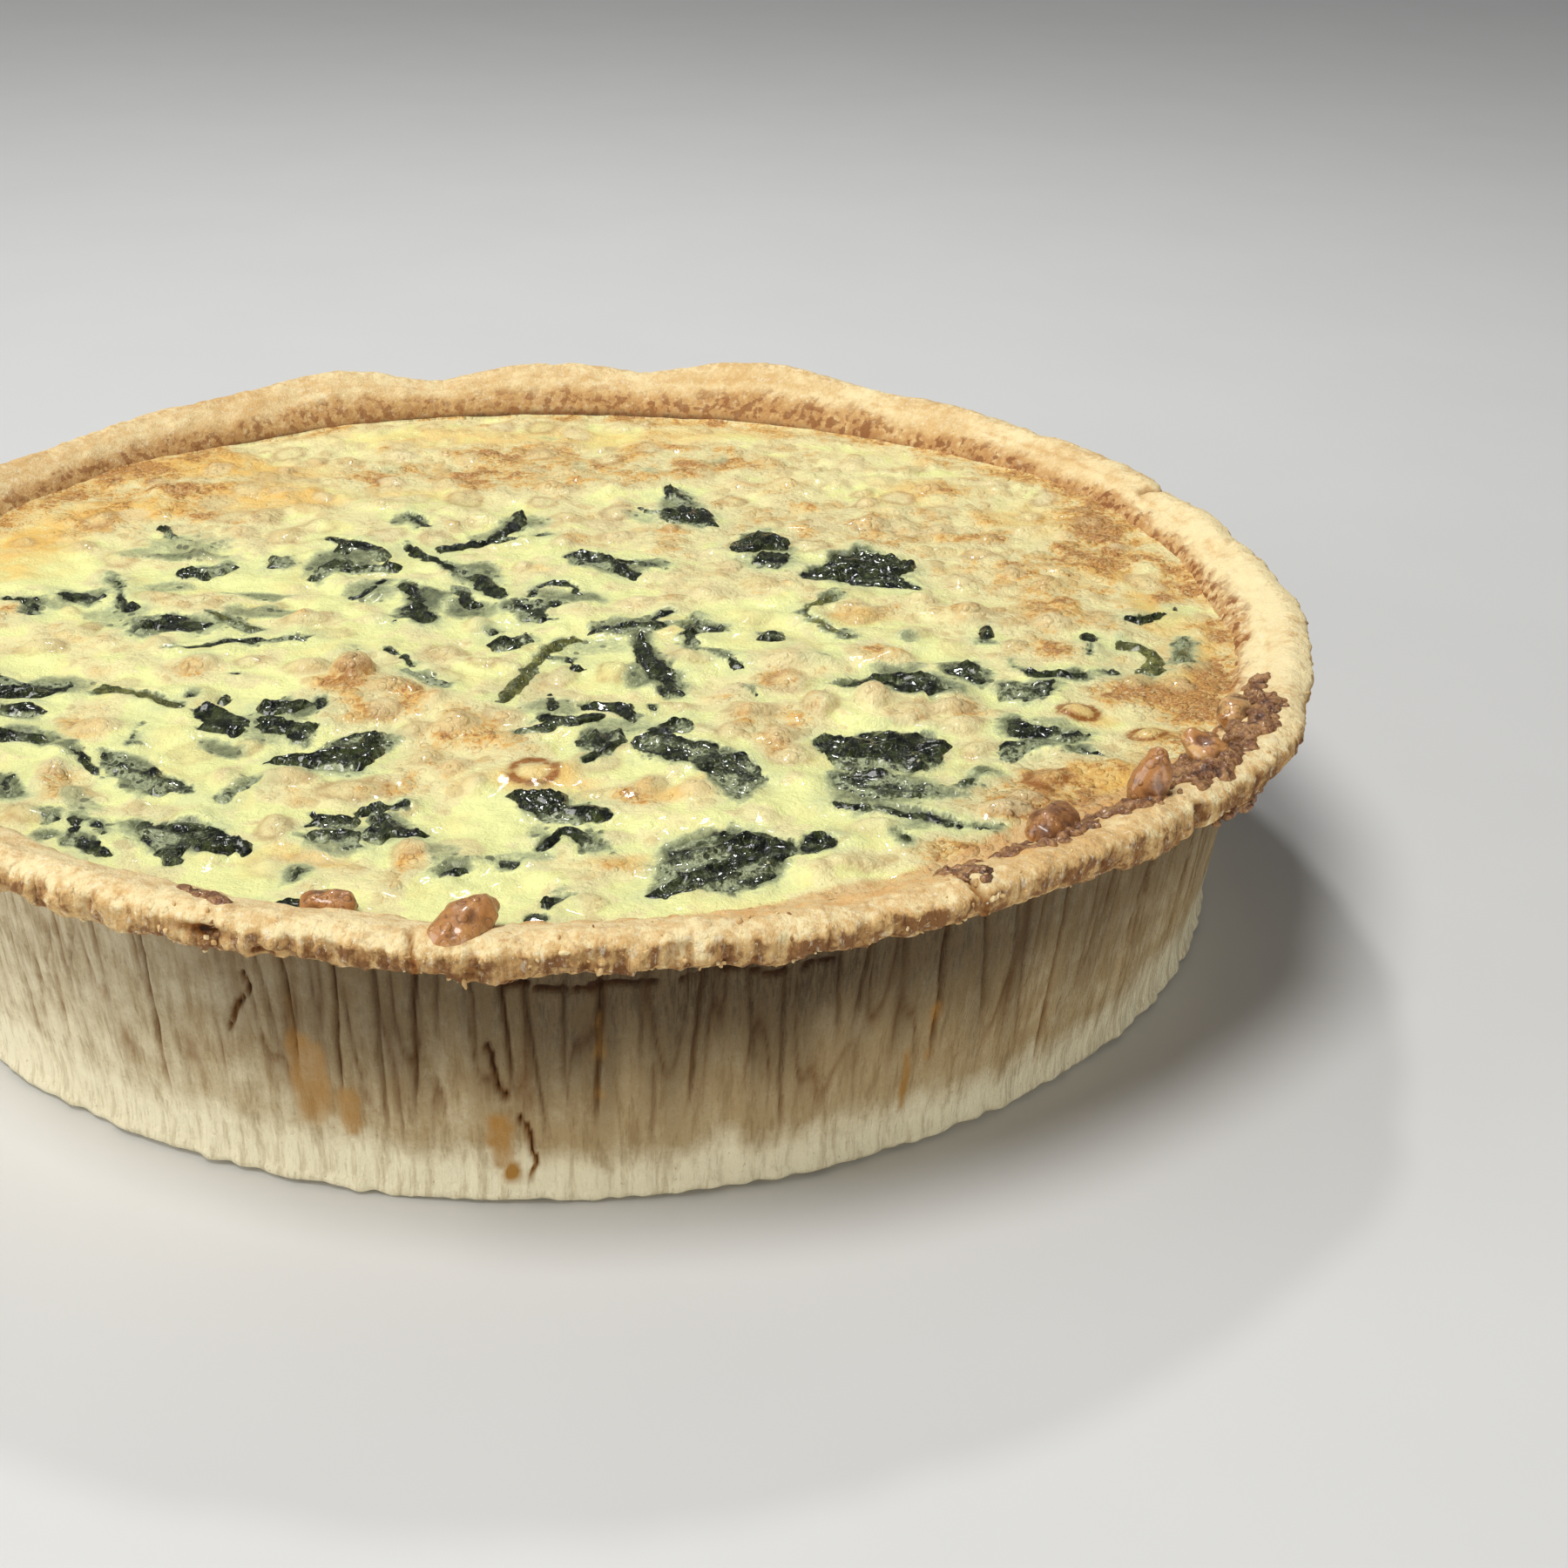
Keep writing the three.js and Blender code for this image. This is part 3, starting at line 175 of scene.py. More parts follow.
# Films of baked-on juice: bearing, top, foot, width in mm, strength.
DRIPS = [
    (-95.2, 15.5, 7.5, 3.4, 1.0),
    (-94.4, 6.2, 4.8, 3.0, 1.4),
    (-108.3, 25.5, 14, 5.6, 0.75),
    (-105.3, 17, 12.5, 3.6, 0.75),
    (-65.8, 18, 8.5, 1.1, 1.3),
    (-64.2, 26, 17, 0.8, 0.9),
    (-88.3, 34, 20, 0.9, 0.45),
    (-108.9, 34, 24, 0.9, 0.4),
]


def along_curve(before, here, there, after, share):
    """A place between here and there, on a smooth curve through four points."""
    bend = (2 * before - 5 * here + 4 * there - after) * share**2
    bend += (3 * here - before - 3 * there + after) * share**3
    return 0.5 * (2 * here + (there - before) * share + bend)


def smooth_section(corners):
    """The section's points, on a curve through its corners; each has the corners' other values."""
    rows = np.array(corners, float)
    points = []
    for index in range(len(rows) - 1):
        before, here = rows[max(index - 1, 0)], rows[index]
        there, after = rows[index + 1], rows[min(index + 2, len(rows) - 1)]
        reach = np.hypot(*(there - here)[:2])
        count = max(1, round(reach / here[5]))
        for part in np.arange(count) / count:
            row = here + (there - here) * part
            if reach < LONGEST_BEND:
                row[:2] = along_curve(before, here, there, after, part)[:2]
            points.append(row[:5])
    points.append(rows[-1][:5])
    return np.array(points)


def wrapped(outline, steps, crowding, front):
    """A sheet wrapped round the upright axis, one row for each radius and height of the outline, and
    closed along its seam and at the axis. crowding draws its steps together round one bearing."""
    form = bmesh.new()
    rows = len(outline)
    bmesh.ops.create_grid(form, x_segments=steps, y_segments=rows - 1, size=1)
    for corner in form.verts:
        turn = math.pi * corner.co.x
        turn -= crowding * math.sin(turn - front)
        r, z = outline[round((corner.co.y + 1) / 2 * (rows - 1))]
        corner.co = (r * math.cos(turn), r * math.sin(turn), z)
    bmesh.ops.remove_doubles(form, verts=form.verts, dist=1e-3)
    bmesh.ops.recalc_face_normals(form, faces=form.faces)
    return form


def corners_of(mesh):
    """A mesh's corner places as rows of x, y, z."""
    places = np.zeros(len(mesh.vertices) * 3, np.float32)
    mesh.vertices.foreach_get("co", places)
    return places.reshape(-1, 3).astype(float)


def mark(mesh, name, values):
    """Keeps a value for each corner under a name that the piece's material reads."""
    kept = mesh.attributes.new(name, "FLOAT", "POINT")
    kept.data.foreach_set("value", np.asarray(values, np.float32))


def as_mesh(form, name):
    """Ends a bmesh form as a mesh."""
    mesh = bpy.data.meshes.new(name)
    form.to_mesh(mesh)
    form.free()
    return mesh


def place_corners(mesh, places):
    """Gives the corners new places, from millimetres to metres."""
    mesh.vertices.foreach_set("co", (places * MM).astype(np.float32).ravel())
    mesh.update()


def finish_piece(name, mesh, material, slot, *nodes):
    """Puts a finished mesh in the scene, riding on the quiche and standing for its CAD nodes."""
    mesh.polygons.foreach_set("use_smooth", [True] * len(mesh.polygons))
    mesh.materials.append(material)
    piece = bpy.data.objects.new(name, mesh)
    bpy.context.scene.collection.objects.link(piece)
    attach(piece, "root")
    if nodes:
        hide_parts(*nodes)


def normals_of(mesh):
    normals = np.zeros(len(mesh.vertices) * 3, np.float32)
    mesh.vertices.foreach_get("normal", normals)
    return normals.reshape(-1, 3).astype(float)


def roughened(mesh, *layers):
    """Moves each corner along its normal by layers of noise (size, height, seed)."""
    places = corners_of(mesh)
    lump = sum(height * soft_noise(places, size, seed) for size, height, seed in layers)
    return places + normals_of(mesh) * lump[:, None], lump


def add_lumps(form, wheres):
    """Round lumps, one for each matrix, made a few at a time, which is much quicker."""
    for first in range(0, len(wheres), 24):
        few = bmesh.new()
        for where in wheres[first : first + 24]:
            bmesh.ops.create_icosphere(few, subdivisions=2, radius=1, matrix=where)
        part = as_mesh(few, "lumps")
        form.from_mesh(part)
        bpy.data.meshes.remove(part)


def run_distance(along, height, run, scale):
    """Distance in mm from wall points to a run of (bearing, height) points, at scale mm to a degree."""
    best = np.full(len(along), 1e9)
    points = np.stack([along * scale, height], axis=1)
    for start, end in zip(run, run[1:]):
        a = np.array([start[0] * scale, start[1]])
        b = np.array([end[0] * scale, end[1]])
        share = np.clip((points - a) @ (b - a) / ((b - a) @ (b - a)), 0, 1)
        gap = points - a - share[:, None] * (b - a)
        best = np.minimum(best, np.hypot(gap[:, 0], gap[:, 1]))
    return best


def more_creases():
    """Creases for the rest of the wall, as uneven as those at the front."""
    rng = np.random.default_rng(11)
    creases = []
    bearing, last = MORE_CREASES
    while bearing < last:
        lean = rng.normal(0, 0.7)
        foot = rng.choice([8, 14, 19, 25, 31]) + rng.uniform(-3, 3)
        depth = rng.choice([0.35, 0.5, 0.7, 1.0])
        creases.append((bearing, rng.uniform(39, 43), bearing + lean, foot, depth))
        bearing += rng.choice([1.3, 1.9, 2.6, 3.6]) * rng.uniform(0.8, 1.25)
    return creases


WALL_MM_PER_DEGREE = math.pi * 121 / 180


def wall_creases(degrees, height, places):
    """The relief of the wall's creases, cracks and drips at each point, how dark the painted shade in them
    is, and how thick the juice is baked on."""
    relief = np.zeros(len(degrees))
    dark = np.zeros(len(degrees))
    wobble = 0.2 * soft_noise(places, 8, 5) + 0.08 * soft_noise(places, 1.7, 26)
    for top, high, foot, low, depth in CREASES + more_creases():
        share = np.clip((height - low) / (high - low), 0, 1)
        centre = foot + (top - foot) * share
        off = (degrees - centre + 180) % 360 - 180
        gap = off * WALL_MM_PER_DEGREE + wobble
        near = np.abs(gap) < 5
        reach = ease(height, low - 3, low + 7) * (1 - ease(height, high, high + 2.5))
        reach = reach[near] * depth
        gap = gap[near]
        relief[near] -= reach * 0.8 * np.exp(-((gap / 0.32) ** 2))
        relief[near] += reach * 0.34 * np.exp(-(((gap - 0.9) / 0.5) ** 2))
        relief[near] += reach * 0.22 * np.exp(-(((gap + 1.1) / 0.7) ** 2))
        dark[near] = np.maximum(dark[near], reach * np.exp(-((gap / 0.36) ** 2)))
    bearings = (degrees + 260) % 360 - 260  # cut at the back, where no run crosses the cut
    torn = bearings + 0.3 * soft_noise(places, 1.8, 40) / WALL_MM_PER_DEGREE
    torn_height = height + 0.4 * soft_noise(places, 1.5, 46)
    cracked = np.zeros(len(degrees))
    for run in CRACKS:
        gap = run_distance(torn, torn_height, run, WALL_MM_PER_DEGREE)
        cracked = np.maximum(cracked, np.exp(-((gap / 0.36) ** 2)))
    relief -= cracked
    uneven = 0.7 * soft_noise(places, 2.6, 27)
    glaze = np.zeros(len(degrees))
    for bearing, top, foot, width, strength in DRIPS:
        run = [(bearing, top), (bearing, foot)]
        gap = run_distance(bearings, height, run, WALL_MM_PER_DEGREE) + uneven
        film = strength * (1 - ease(gap + 0.9 * wobble, width / 2 - 0.9, width / 2 + 0.5))
        glaze = np.maximum(glaze, film)
    relief += 0.14 * np.minimum(glaze, 1)
    return relief, np.maximum(dark, 1.5 * cracked), glaze


# How brown the rim's top is: bearing, spread, how much browner or paler than a mid tan.
RIM_TOAST = [
    (-52, 16, 0.08),
    (-85, 20, 0.08),
    (-10, 26, -0.26),
    (25, 25, -0.02),
    (-142, 22, -0.14),
    (100, 35, 0.02),
    (150, 20, 0.02),
]
# How far out the filling's skin ran over the rim at the front: bearing, distance from the axis.
RIM_SKIN = [
    (-104, 119), (-96, 122), (-90, 125), (-80, 127.6), (-70, 128.4), (-60, 127), (-50, 125), (-42, 122.6),
    (-36, 119),
]
# How deeply the inner side of the rim is pitted, and how strongly scorched: bearing, strength.
RIM_PITS = [(-180, 0.2), (-60, 0.4), (-32, 1.0), (20, 1.0), (60, 0.4), (180, 0.2)]
RIM_SCORCH = [
    (-180, 0.55), (-150, 0.35), (-130, 0.25), (-116, 0.4), (-100, 0.25), (-64, 0.3), (-36, 0.9), (0, 1.1),
    (30, 1.0), (60, 0.85), (100, 0.72), (140, 0.75), (180, 0.5),
]
# Splits and notches in the rim: bearing, distance from the axis where each begins, depth, half width.
RIM_SPLITS = [
    (-130.5, 124, 1.6, 0.5), (21.5, 127, 1.4, 0.9), (-99, 130.5, 0.9, 0.6), (-64.6, 129, 1.2, 0.8),
]
# Hollows where crumbs broke out of the lip's outer face: bearing, height, half width, half height.
LIP_HOLLOWS = [(-95.4, 48, 1.9, 1.2), (-111.6, 49.6, 3.0, 1.0), (-108, 47.6, 1.6, 0.7)]


def by_bearing(degrees, table):
    """A value at each bearing, from a table of bearings and values."""
    return np.interp(degrees, *zip(*table))


def make_case():
    section = smooth_section(SECTION)
    outline = [(0, 0)] + [tuple(row[:2]) for row in section] + [(0, CASE_FLOOR)]
    mesh = as_mesh(wrapped(outline, CASE_STEPS, FRONT_CROWDING, FRONT), "pastry_case")
    spot = corners_of(mesh)
    r = np.hypot(spot[:, 0], spot[:, 1])
    z = spot[:, 2].copy()
    turn = np.arctan2(spot[:, 1], spot[:, 0])
    degrees = np.degrees(turn)
    gaps = (r[:, None] - section[:, 0]) ** 2 + (z[:, None] - section[:, 1]) ** 2
    nearest = section[gaps.argmin(axis=1)]
    rim, pleat, crumb = nearest[:, 2:].T
    unit = np.stack([np.cos(turn), np.sin(turn)], axis=1)
    upright = np.column_stack([unit * 126, z * 0.09])  # noise drawn out up the wall

    out = np.zeros(len(r))
    up = np.zeros(len(r))
    for at, spread, far, high in RIM_HILLS:
        out += rim * far * hill(degrees, at, spread)
        up += rim * high * hill(degrees, at, spread)
    crease, dark, glaze = wall_creases(degrees, z, spot)
    out += pleat * (crease - 0.2)
    out += pleat * (0.3 * soft_noise(upright, 5.2, 3) + 0.17 * soft_noise(upright, 1.6, 4))
    out += pleat * 0.08 * soft_noise(spot, 1.8, 6)
    folds = crinkle(upright, 3.4, 48) ** 9 * ease(z + 6 * soft_noise(spot, 9, 50), 8, 24) * pleat
    out -= 0.35 * folds
    dark = np.maximum(dark, 0.8 * folds)

    # the lip: broad bulges, flakes, crumbs and drawn-out grooves on its outer face
    face = crumb * ease(r, 129.5, 132) * (1 - ease(z, 50.6, 52.2))
    out += crumb * (0.55 * soft_noise(spot, 11, 7) + 0.2 * soft_noise(spot, 3.6, 8))
    out += crumb * 0.16 * soft_noise(spot, 1.2, 9)
    out -= face * 0.5 * crinkle(upright, 1.7, 10) ** 3
    out -= face * 0.3 * crinkle(spot, 1.5, 31) ** 2
    out -= face * 0.5 * ease(soft_noise(spot, 3.0, 11), 0.45, 0.6)
    out += face * 0.25 * ease(soft_noise(spot, 1.6, 32), 0.55, 0.65)
    grooves = face * ease(soft_noise(upright, 1.2, 47), 0.1, 0.6)
    out -= 0.45 * grooves
    dark = np.maximum(dark, 0.45 * grooves)
    out += 0.6 * crumb * ease(z, 49.6, 51) * (1 - ease(z, 51.6, 52.1)) * ease(r, 130, 132)
    up += crumb * (0.3 * soft_noise(spot, 8, 12) + 0.12 * soft_noise(spot, 2.4, 13))
    ragged = crumb * ease(r, 127.5, 131) * (1 - ease(z, 46.4, 48.4))
    up += ragged * (0.5 * soft_noise(upright, 7, 14) + 0.2 * soft_noise(upright, 1.5, 15))
    up += ragged * 0.7 * ease(soft_noise(upright, 4.5, 16), 0.5, 0.65)
    top = ease(z, 49.5, 51) * ease(r, 121, 124)
    up += top * (0.16 * soft_noise(spot, 1.2, 17) + 0.25 * soft_noise(spot, 4, 18))
    pit = ease(r, 119.5, 121) * (1 - ease(r, 124.5, 127)) * ease(z, 45, 47)
    up -= pit * 0.7 * ease(soft_noise(spot, 1.6, 33), 0.3, 0.75) * by_bearing(degrees, RIM_PITS)
    up += pit * 0.4 * ease(soft_noise(spot, 3.1, 34), 0.2, 0.7)
    foot = 1 - ease(z, 1.2, 7)
    out += foot * pleat * 0.3 + foot * ease(r, 117, 118.3) * 0.35 * soft_noise(upright, 2.6, 19)
    up += (1 - ease(z, 0.2, 1)) * ease(r, 117.4, 118.4) * 0.35 * (1 + soft_noise(upright, 1.8, 20))
    up *= ease(z, 0.001, 0.3)

    for at, near, deep, width in RIM_SPLITS:
        off = (degrees - at) * WALL_MM_PER_DEGREE + 0.9 * soft_noise(spot, 3, 21)
        gash = np.exp(-((off / width) ** 2)) * rim * ease(r, near - 3, near) * ease(z, 46, 49)
        up -= deep * gash
        dark = np.maximum(dark, gash)
    for at, height, wide, high in LIP_HOLLOWS:
        off = (degrees - at) * WALL_MM_PER_DEGREE + 0.8 * soft_noise(spot, 2, 29)
        hole = np.exp(-((off / wide) ** 2) - ((z - height) / high) ** 2) * face
        out -= 1.6 * hole
        dark = np.maximum(dark, 1.5 * hole * (0.8 + 0.5 * soft_noise(spot, 1.2, 49)))

    radius = r + out
    level = z + up
    where = np.column_stack([unit * radius[:, None], np.maximum(level, 0)])
    place_corners(mesh, where)

    fine = soft_noise(spot, 2.2, 22)
    broad = soft_noise(spot, 14, 23)
    streak = soft_noise(upright, 3.2, 24)
    wall_toast = 0.3 + 0.1 * broad + 0.08 * streak
    lip_toast = 0.84 + 0.2 * fine + 0.1 * streak
    top_toast = 0.34 + 0.12 * broad + 0.08 * fine
    for at, spread, much in RIM_TOAST:
        top_toast += much * hill(degrees, at, spread)
        lip_toast += 0.6 * much * hill(degrees, at, spread)
    lip_toast -= 0.22 * hill(degrees, -135, 26)
    scorch = by_bearing(degrees, RIM_SCORCH)
    inner = ease(z, 44, 45.4) * (1 - ease(r + 1.2 * broad + fine, 120.6, 123.6))
    patchy = 0.5 + 0.4 * soft_noise(spot, 6, 35) + 0.3 * soft_noise(spot, 1.6, 36)
    top_toast += 0.5 * inner * scorch * np.clip(patchy + 0.2, 0, 1.2)
    reach = by_bearing(degrees, RIM_SKIN) + 1.1 * soft_noise(spot, 4, 37) + 0.5 * soft_noise(spot, 1.7, 38)
    skin = ease(z, 46.5, 48) * (1 - ease(r, reach - 0.8, reach + 0.6))
    lip = ease(z, 44.6, 46.2)
    toast = wall_toast * (1 - lip) + lip * (lip_toast + (top_toast - lip_toast) * ease(z, 49.6, 51.4))
    toast = np.where((r < 125) & (z > 44), top_toast, toast)
    cliff = 0.22 * ease(soft_noise(spot, 3.1, 25), 0.35, 0.8) * face * (0.3 + 0.7 * hill(degrees, -82, 45))
    cliff -= 0.3 * ease(soft_noise(spot, 2.6, 39), 0.3, 0.7) * face
    mark(mesh, "crumb", face + 0.4 * top * ease(r, 127, 129))
    mark(mesh, "skin", skin)
    # The wall's colour from foot to lip: paler towards the foot, partly the dough's own colour and partly
    # painted light from the front and the table, and painted paler still on the left and right sides, where
    # the lamps light it most.
    painted_side_light = 0.62 * hill(degrees, -142, 36) + 0.2 * hill(degrees, -38, 26)
    # Painted shadow of the lip on the upper wall, with a little browning: darkest just under the lip, and
    # weaker on the left and right, where light reaches the wall.
    shaded = 1 - 0.9 * hill(degrees, -142, 34) - 0.4 * hill(degrees, -34, 26)
    mark(mesh, "lip_shadow_and_browning", shaded * ease(z + 1.6 * broad + 2 * streak, 10, 38) * (1 - ease(z, 45, 46.2)))
    mark(mesh, "baked", np.clip((z + 1.2 * broad + streak - 3) / 9, 0, 1) - painted_side_light)
    mark(mesh, "scorch", np.clip(inner * scorch, 0, 1))
    mark(mesh, "toast", np.clip(toast + cliff, 0, 1.2))
    # painted shade in the creases, folds, cracks, grooves, splits and hollows
    mark(mesh, "dark", np.clip(dark, 0, 1.5))
    mark(mesh, "glaze", np.clip(glaze, 0, 1.4))
    mark(mesh, "wall", (1 - ease(z, 43, 46)) * ease(r, 117, 118))
    return mesh


# Materials are trees of nodes. Each helper adds one node, takes numbers, colours or other nodes'
# sockets, and returns the socket that it puts out.


def put(tree, kind, inputs=(), **settings):
    """Adds a node, with its inputs in order or by name, and returns its first output."""
    made = tree.nodes.new("ShaderNode" + kind)
    for name, value in settings.items():
        setattr(made, name, value)
    pairs = inputs.items() if isinstance(inputs, dict) else enumerate(inputs)
    for key, value in pairs:
        if isinstance(value, bpy.types.NodeSocket):
            tree.links.new(value, made.inputs[key])
        else:
            made.inputs[key].default_value = value
    return made.outputs[0]


def kept(tree, name):
    """A value that mark() kept on the mesh."""
    made = tree.nodes.new("ShaderNodeAttribute")
    made.attribute_name = name
    return made.outputs["Fac"]


def ramp(tree, value, low, high, start=0.0, end=1.0):
    return put(tree, "MapRange", [value, low, high, start, end], interpolation_type="SMOOTHSTEP")


def maths(tree, operation, first, second):
    return put(tree, "Math", [first, second], operation=operation)


def times(tree, first, second):
    return maths(tree, "MULTIPLY", first, second)


def plus(tree, first, *others):
    total = first
    for other in others:
        total = maths(tree, "ADD", total, other)
    return total


def swing(tree, noise, much):
    """A noise's swing round its middle, as a number that others are raised or lowered by."""
    return times(tree, plus(tree, noise, -0.5), much)


def paint(tree, share, below, above, blend="MIX"):
    """One colour over another."""
    made = tree.nodes.new("ShaderNodeMix")
    made.data_type = "RGBA"
    made.blend_type = blend
    for key, value in ((0, share), (6, below), (7, above)):
        if isinstance(value, bpy.types.NodeSocket):
            tree.links.new(value, made.inputs[key])
        else:
            made.inputs[key].default_value = value
    return made.outputs[2]


def effect(name, inputs, outputs):
    """An effect that several materials share: a node group with named inputs and outputs."""
    group = bpy.data.node_groups.new(name, "ShaderNodeTree")
    for label, value in inputs.items():
        socket = group.interface.new_socket(label, in_out="INPUT", socket_type="NodeSocketFloat")
        socket.default_value = value
    for label in outputs:
        group.interface.new_socket(label, in_out="OUTPUT", socket_type="NodeSocketFloat")
    given = group.nodes.new("NodeGroupInput")
    return group, given.outputs, group.nodes.new("NodeGroupOutput").inputs


def spot_in(tree, size, stretch):
    """The object's own place in units of size mm; stretch below 1 draws the effect out upwards."""
    place = put(tree, "TexCoord").node.outputs["Object"]
    scale = put(tree, "CombineXYZ", [1.0, 1.0, stretch])
    place = put(tree, "VectorMath", [place, scale], operation="MULTIPLY")
    return place, maths(tree, "DIVIDE", 1000.0, size)


def speckle_effect():
    inputs = {"Size mm": 1.0, "Detail": 2.0, "Roughness": 0.55, "Stretch": 1.0, "Twist": 0.0}
    group, given, given_out = effect("speckle", inputs, ["Amount"])
    place, scale = spot_in(group, given["Size mm"], given["Stretch"])
    noise = {"Vector": place, "Scale": scale, "Detail": given["Detail"], "Roughness": given["Roughness"]}
    group.links.new(put(group, "TexNoise", {**noise, "Distortion": given["Twist"]}), given_out["Amount"])
    return group


def bubbles_effect():
    """Round cells of uneven size: their discs, their outlines, their domes and a shade for each."""
    inputs = {"Size mm": 3.0, "Stretch": 1.0, "Fill": 0.4, "Edge": 0.06}
    group, given, given_out = effect("bubbles", inputs, ["Disc", "Outline", "Dome", "Shade"])
    place, scale = spot_in(group, given["Size mm"], given["Stretch"])
    cells = put(group, "TexVoronoi", {"Vector": place, "Scale": scale, "Randomness": 1.0})
    shade_of_cell = put(group, "SeparateColor", [cells.node.outputs["Color"]])
    radius = times(group, given["Fill"], plus(group, times(group, shade_of_cell.node.outputs[1], 0.7), 0.6))
    inner = maths(group, "SUBTRACT", radius, given["Edge"])
    disc = ramp(group, cells, radius, inner, 0.0, 1.0)
    share = maths(group, "DIVIDE", cells, radius)
    dome = maths(group, "SUBTRACT", 1.0, maths(group, "POWER", share, 2.0))
    dome = maths(group, "POWER", maths(group, "MAXIMUM", dome, 0.0), 0.6)
    off = maths(group, "ABSOLUTE", maths(group, "SUBTRACT", cells, radius), 0.0)
    outline = ramp(group, off, given["Edge"], 0.0)
    for label, value in (("Disc", disc), ("Outline", outline), ("Dome", dome), ("Shade", shade_of_cell)):
        group.links.new(value, given_out[label])
    return group


SPECKLE = speckle_effect()
BUBBLES = bubbles_effect()


def with_effect(tree, group, values):
    made = tree.nodes.new("ShaderNodeGroup")
    made.node_tree = group
    for label, value in values.items():
        made.inputs[label].default_value = value
    return made.outputs


def speckle(tree, size, detail=2.0, rough=0.55, stretch=1.0, twist=0.0):
    values = {"Size mm": size, "Detail": detail, "Roughness": rough, "Stretch": stretch, "Twist": twist}
    return with_effect(tree, SPECKLE, values)["Amount"]


def bubbles(tree, size, fill=0.4, edge=0.06, stretch=1.0):
    return with_effect(tree, BUBBLES, {"Size mm": size, "Fill": fill, "Edge": edge, "Stretch": stretch})


def new_tree(name):
    material = bpy.data.materials.new(name)
    material.use_nodes = True
    tree = material.node_tree
    tree.nodes.clear()
    return material, tree


def shade(tree, colour, roughness, height, depth=0.3, **constants):
    """Ends a material: colour, roughness and relief go to the shader, the rest is set on it."""
    shader = tree.nodes.new("ShaderNodeBsdfPrincipled")
    finish = tree.nodes.new("ShaderNodeOutputMaterial")
    tree.links.new(colour, shader.inputs["Base Color"])
    if isinstance(roughness, bpy.types.NodeSocket):
        tree.links.new(roughness, shader.inputs["Roughness"])
    else:
        shader.inputs["Roughness"].default_value = roughness
    bump = tree.nodes.new("ShaderNodeBump")
    bump.inputs["Strength"].default_value = 1.0
    bump.inputs["Distance"].default_value = depth * MM
    tree.links.new(height, bump.inputs["Height"])
    tree.links.new(bump.outputs[0], shader.inputs["Normal"])
    for name, value in constants.items():
        shader.inputs[name.replace("_", " ")].default_value = value
    tree.links.new(shader.outputs[0], finish.inputs[0])


PALE_DOUGH = (0.96, 0.80, 0.45, 1)
GOLD_DOUGH = (0.73, 0.47, 0.195, 1)
BROWN_DOUGH = (0.28, 0.13, 0.047, 1)
CREASE_SHADE = (0.40, 0.22, 0.075, 1)  # multiplied with what it lies on
JUICE = (0.46, 0.225, 0.04, 1)
FLOUR = (0.95, 0.88, 0.68, 1)
# pale dough at the foot, made paler still with painted light
WALL_FOOT = (1.0, 0.91, 0.64, 1)
WALL_DOUGH = (0.50, 0.365, 0.185, 1)
# painted shadow under the lip, with a little browning
LIP_SHADOW_BROWN = (0.042, 0.025, 0.012, 1)
# painted shade deep in the cracks and hollows
CRACK_SHADOW = (0.045, 0.018, 0.007, 1)
RUN_OVER_SKIN = (0.80, 0.46, 0.17, 1)
PALE_RUN_OVER = (0.80, 0.57, 0.27, 1)
SCORCHED = (0.26, 0.092, 0.028, 1)
TOASTED_RIM = (0.50, 0.245, 0.085, 1)
BRAN = (0.40, 0.20, 0.08, 1)
BURNT_CRUMB = (0.40, 0.19, 0.065, 1)
PAPER_GRAIN = (0.55, 0.47, 0.36, 1)  # multiplied with what it lies on


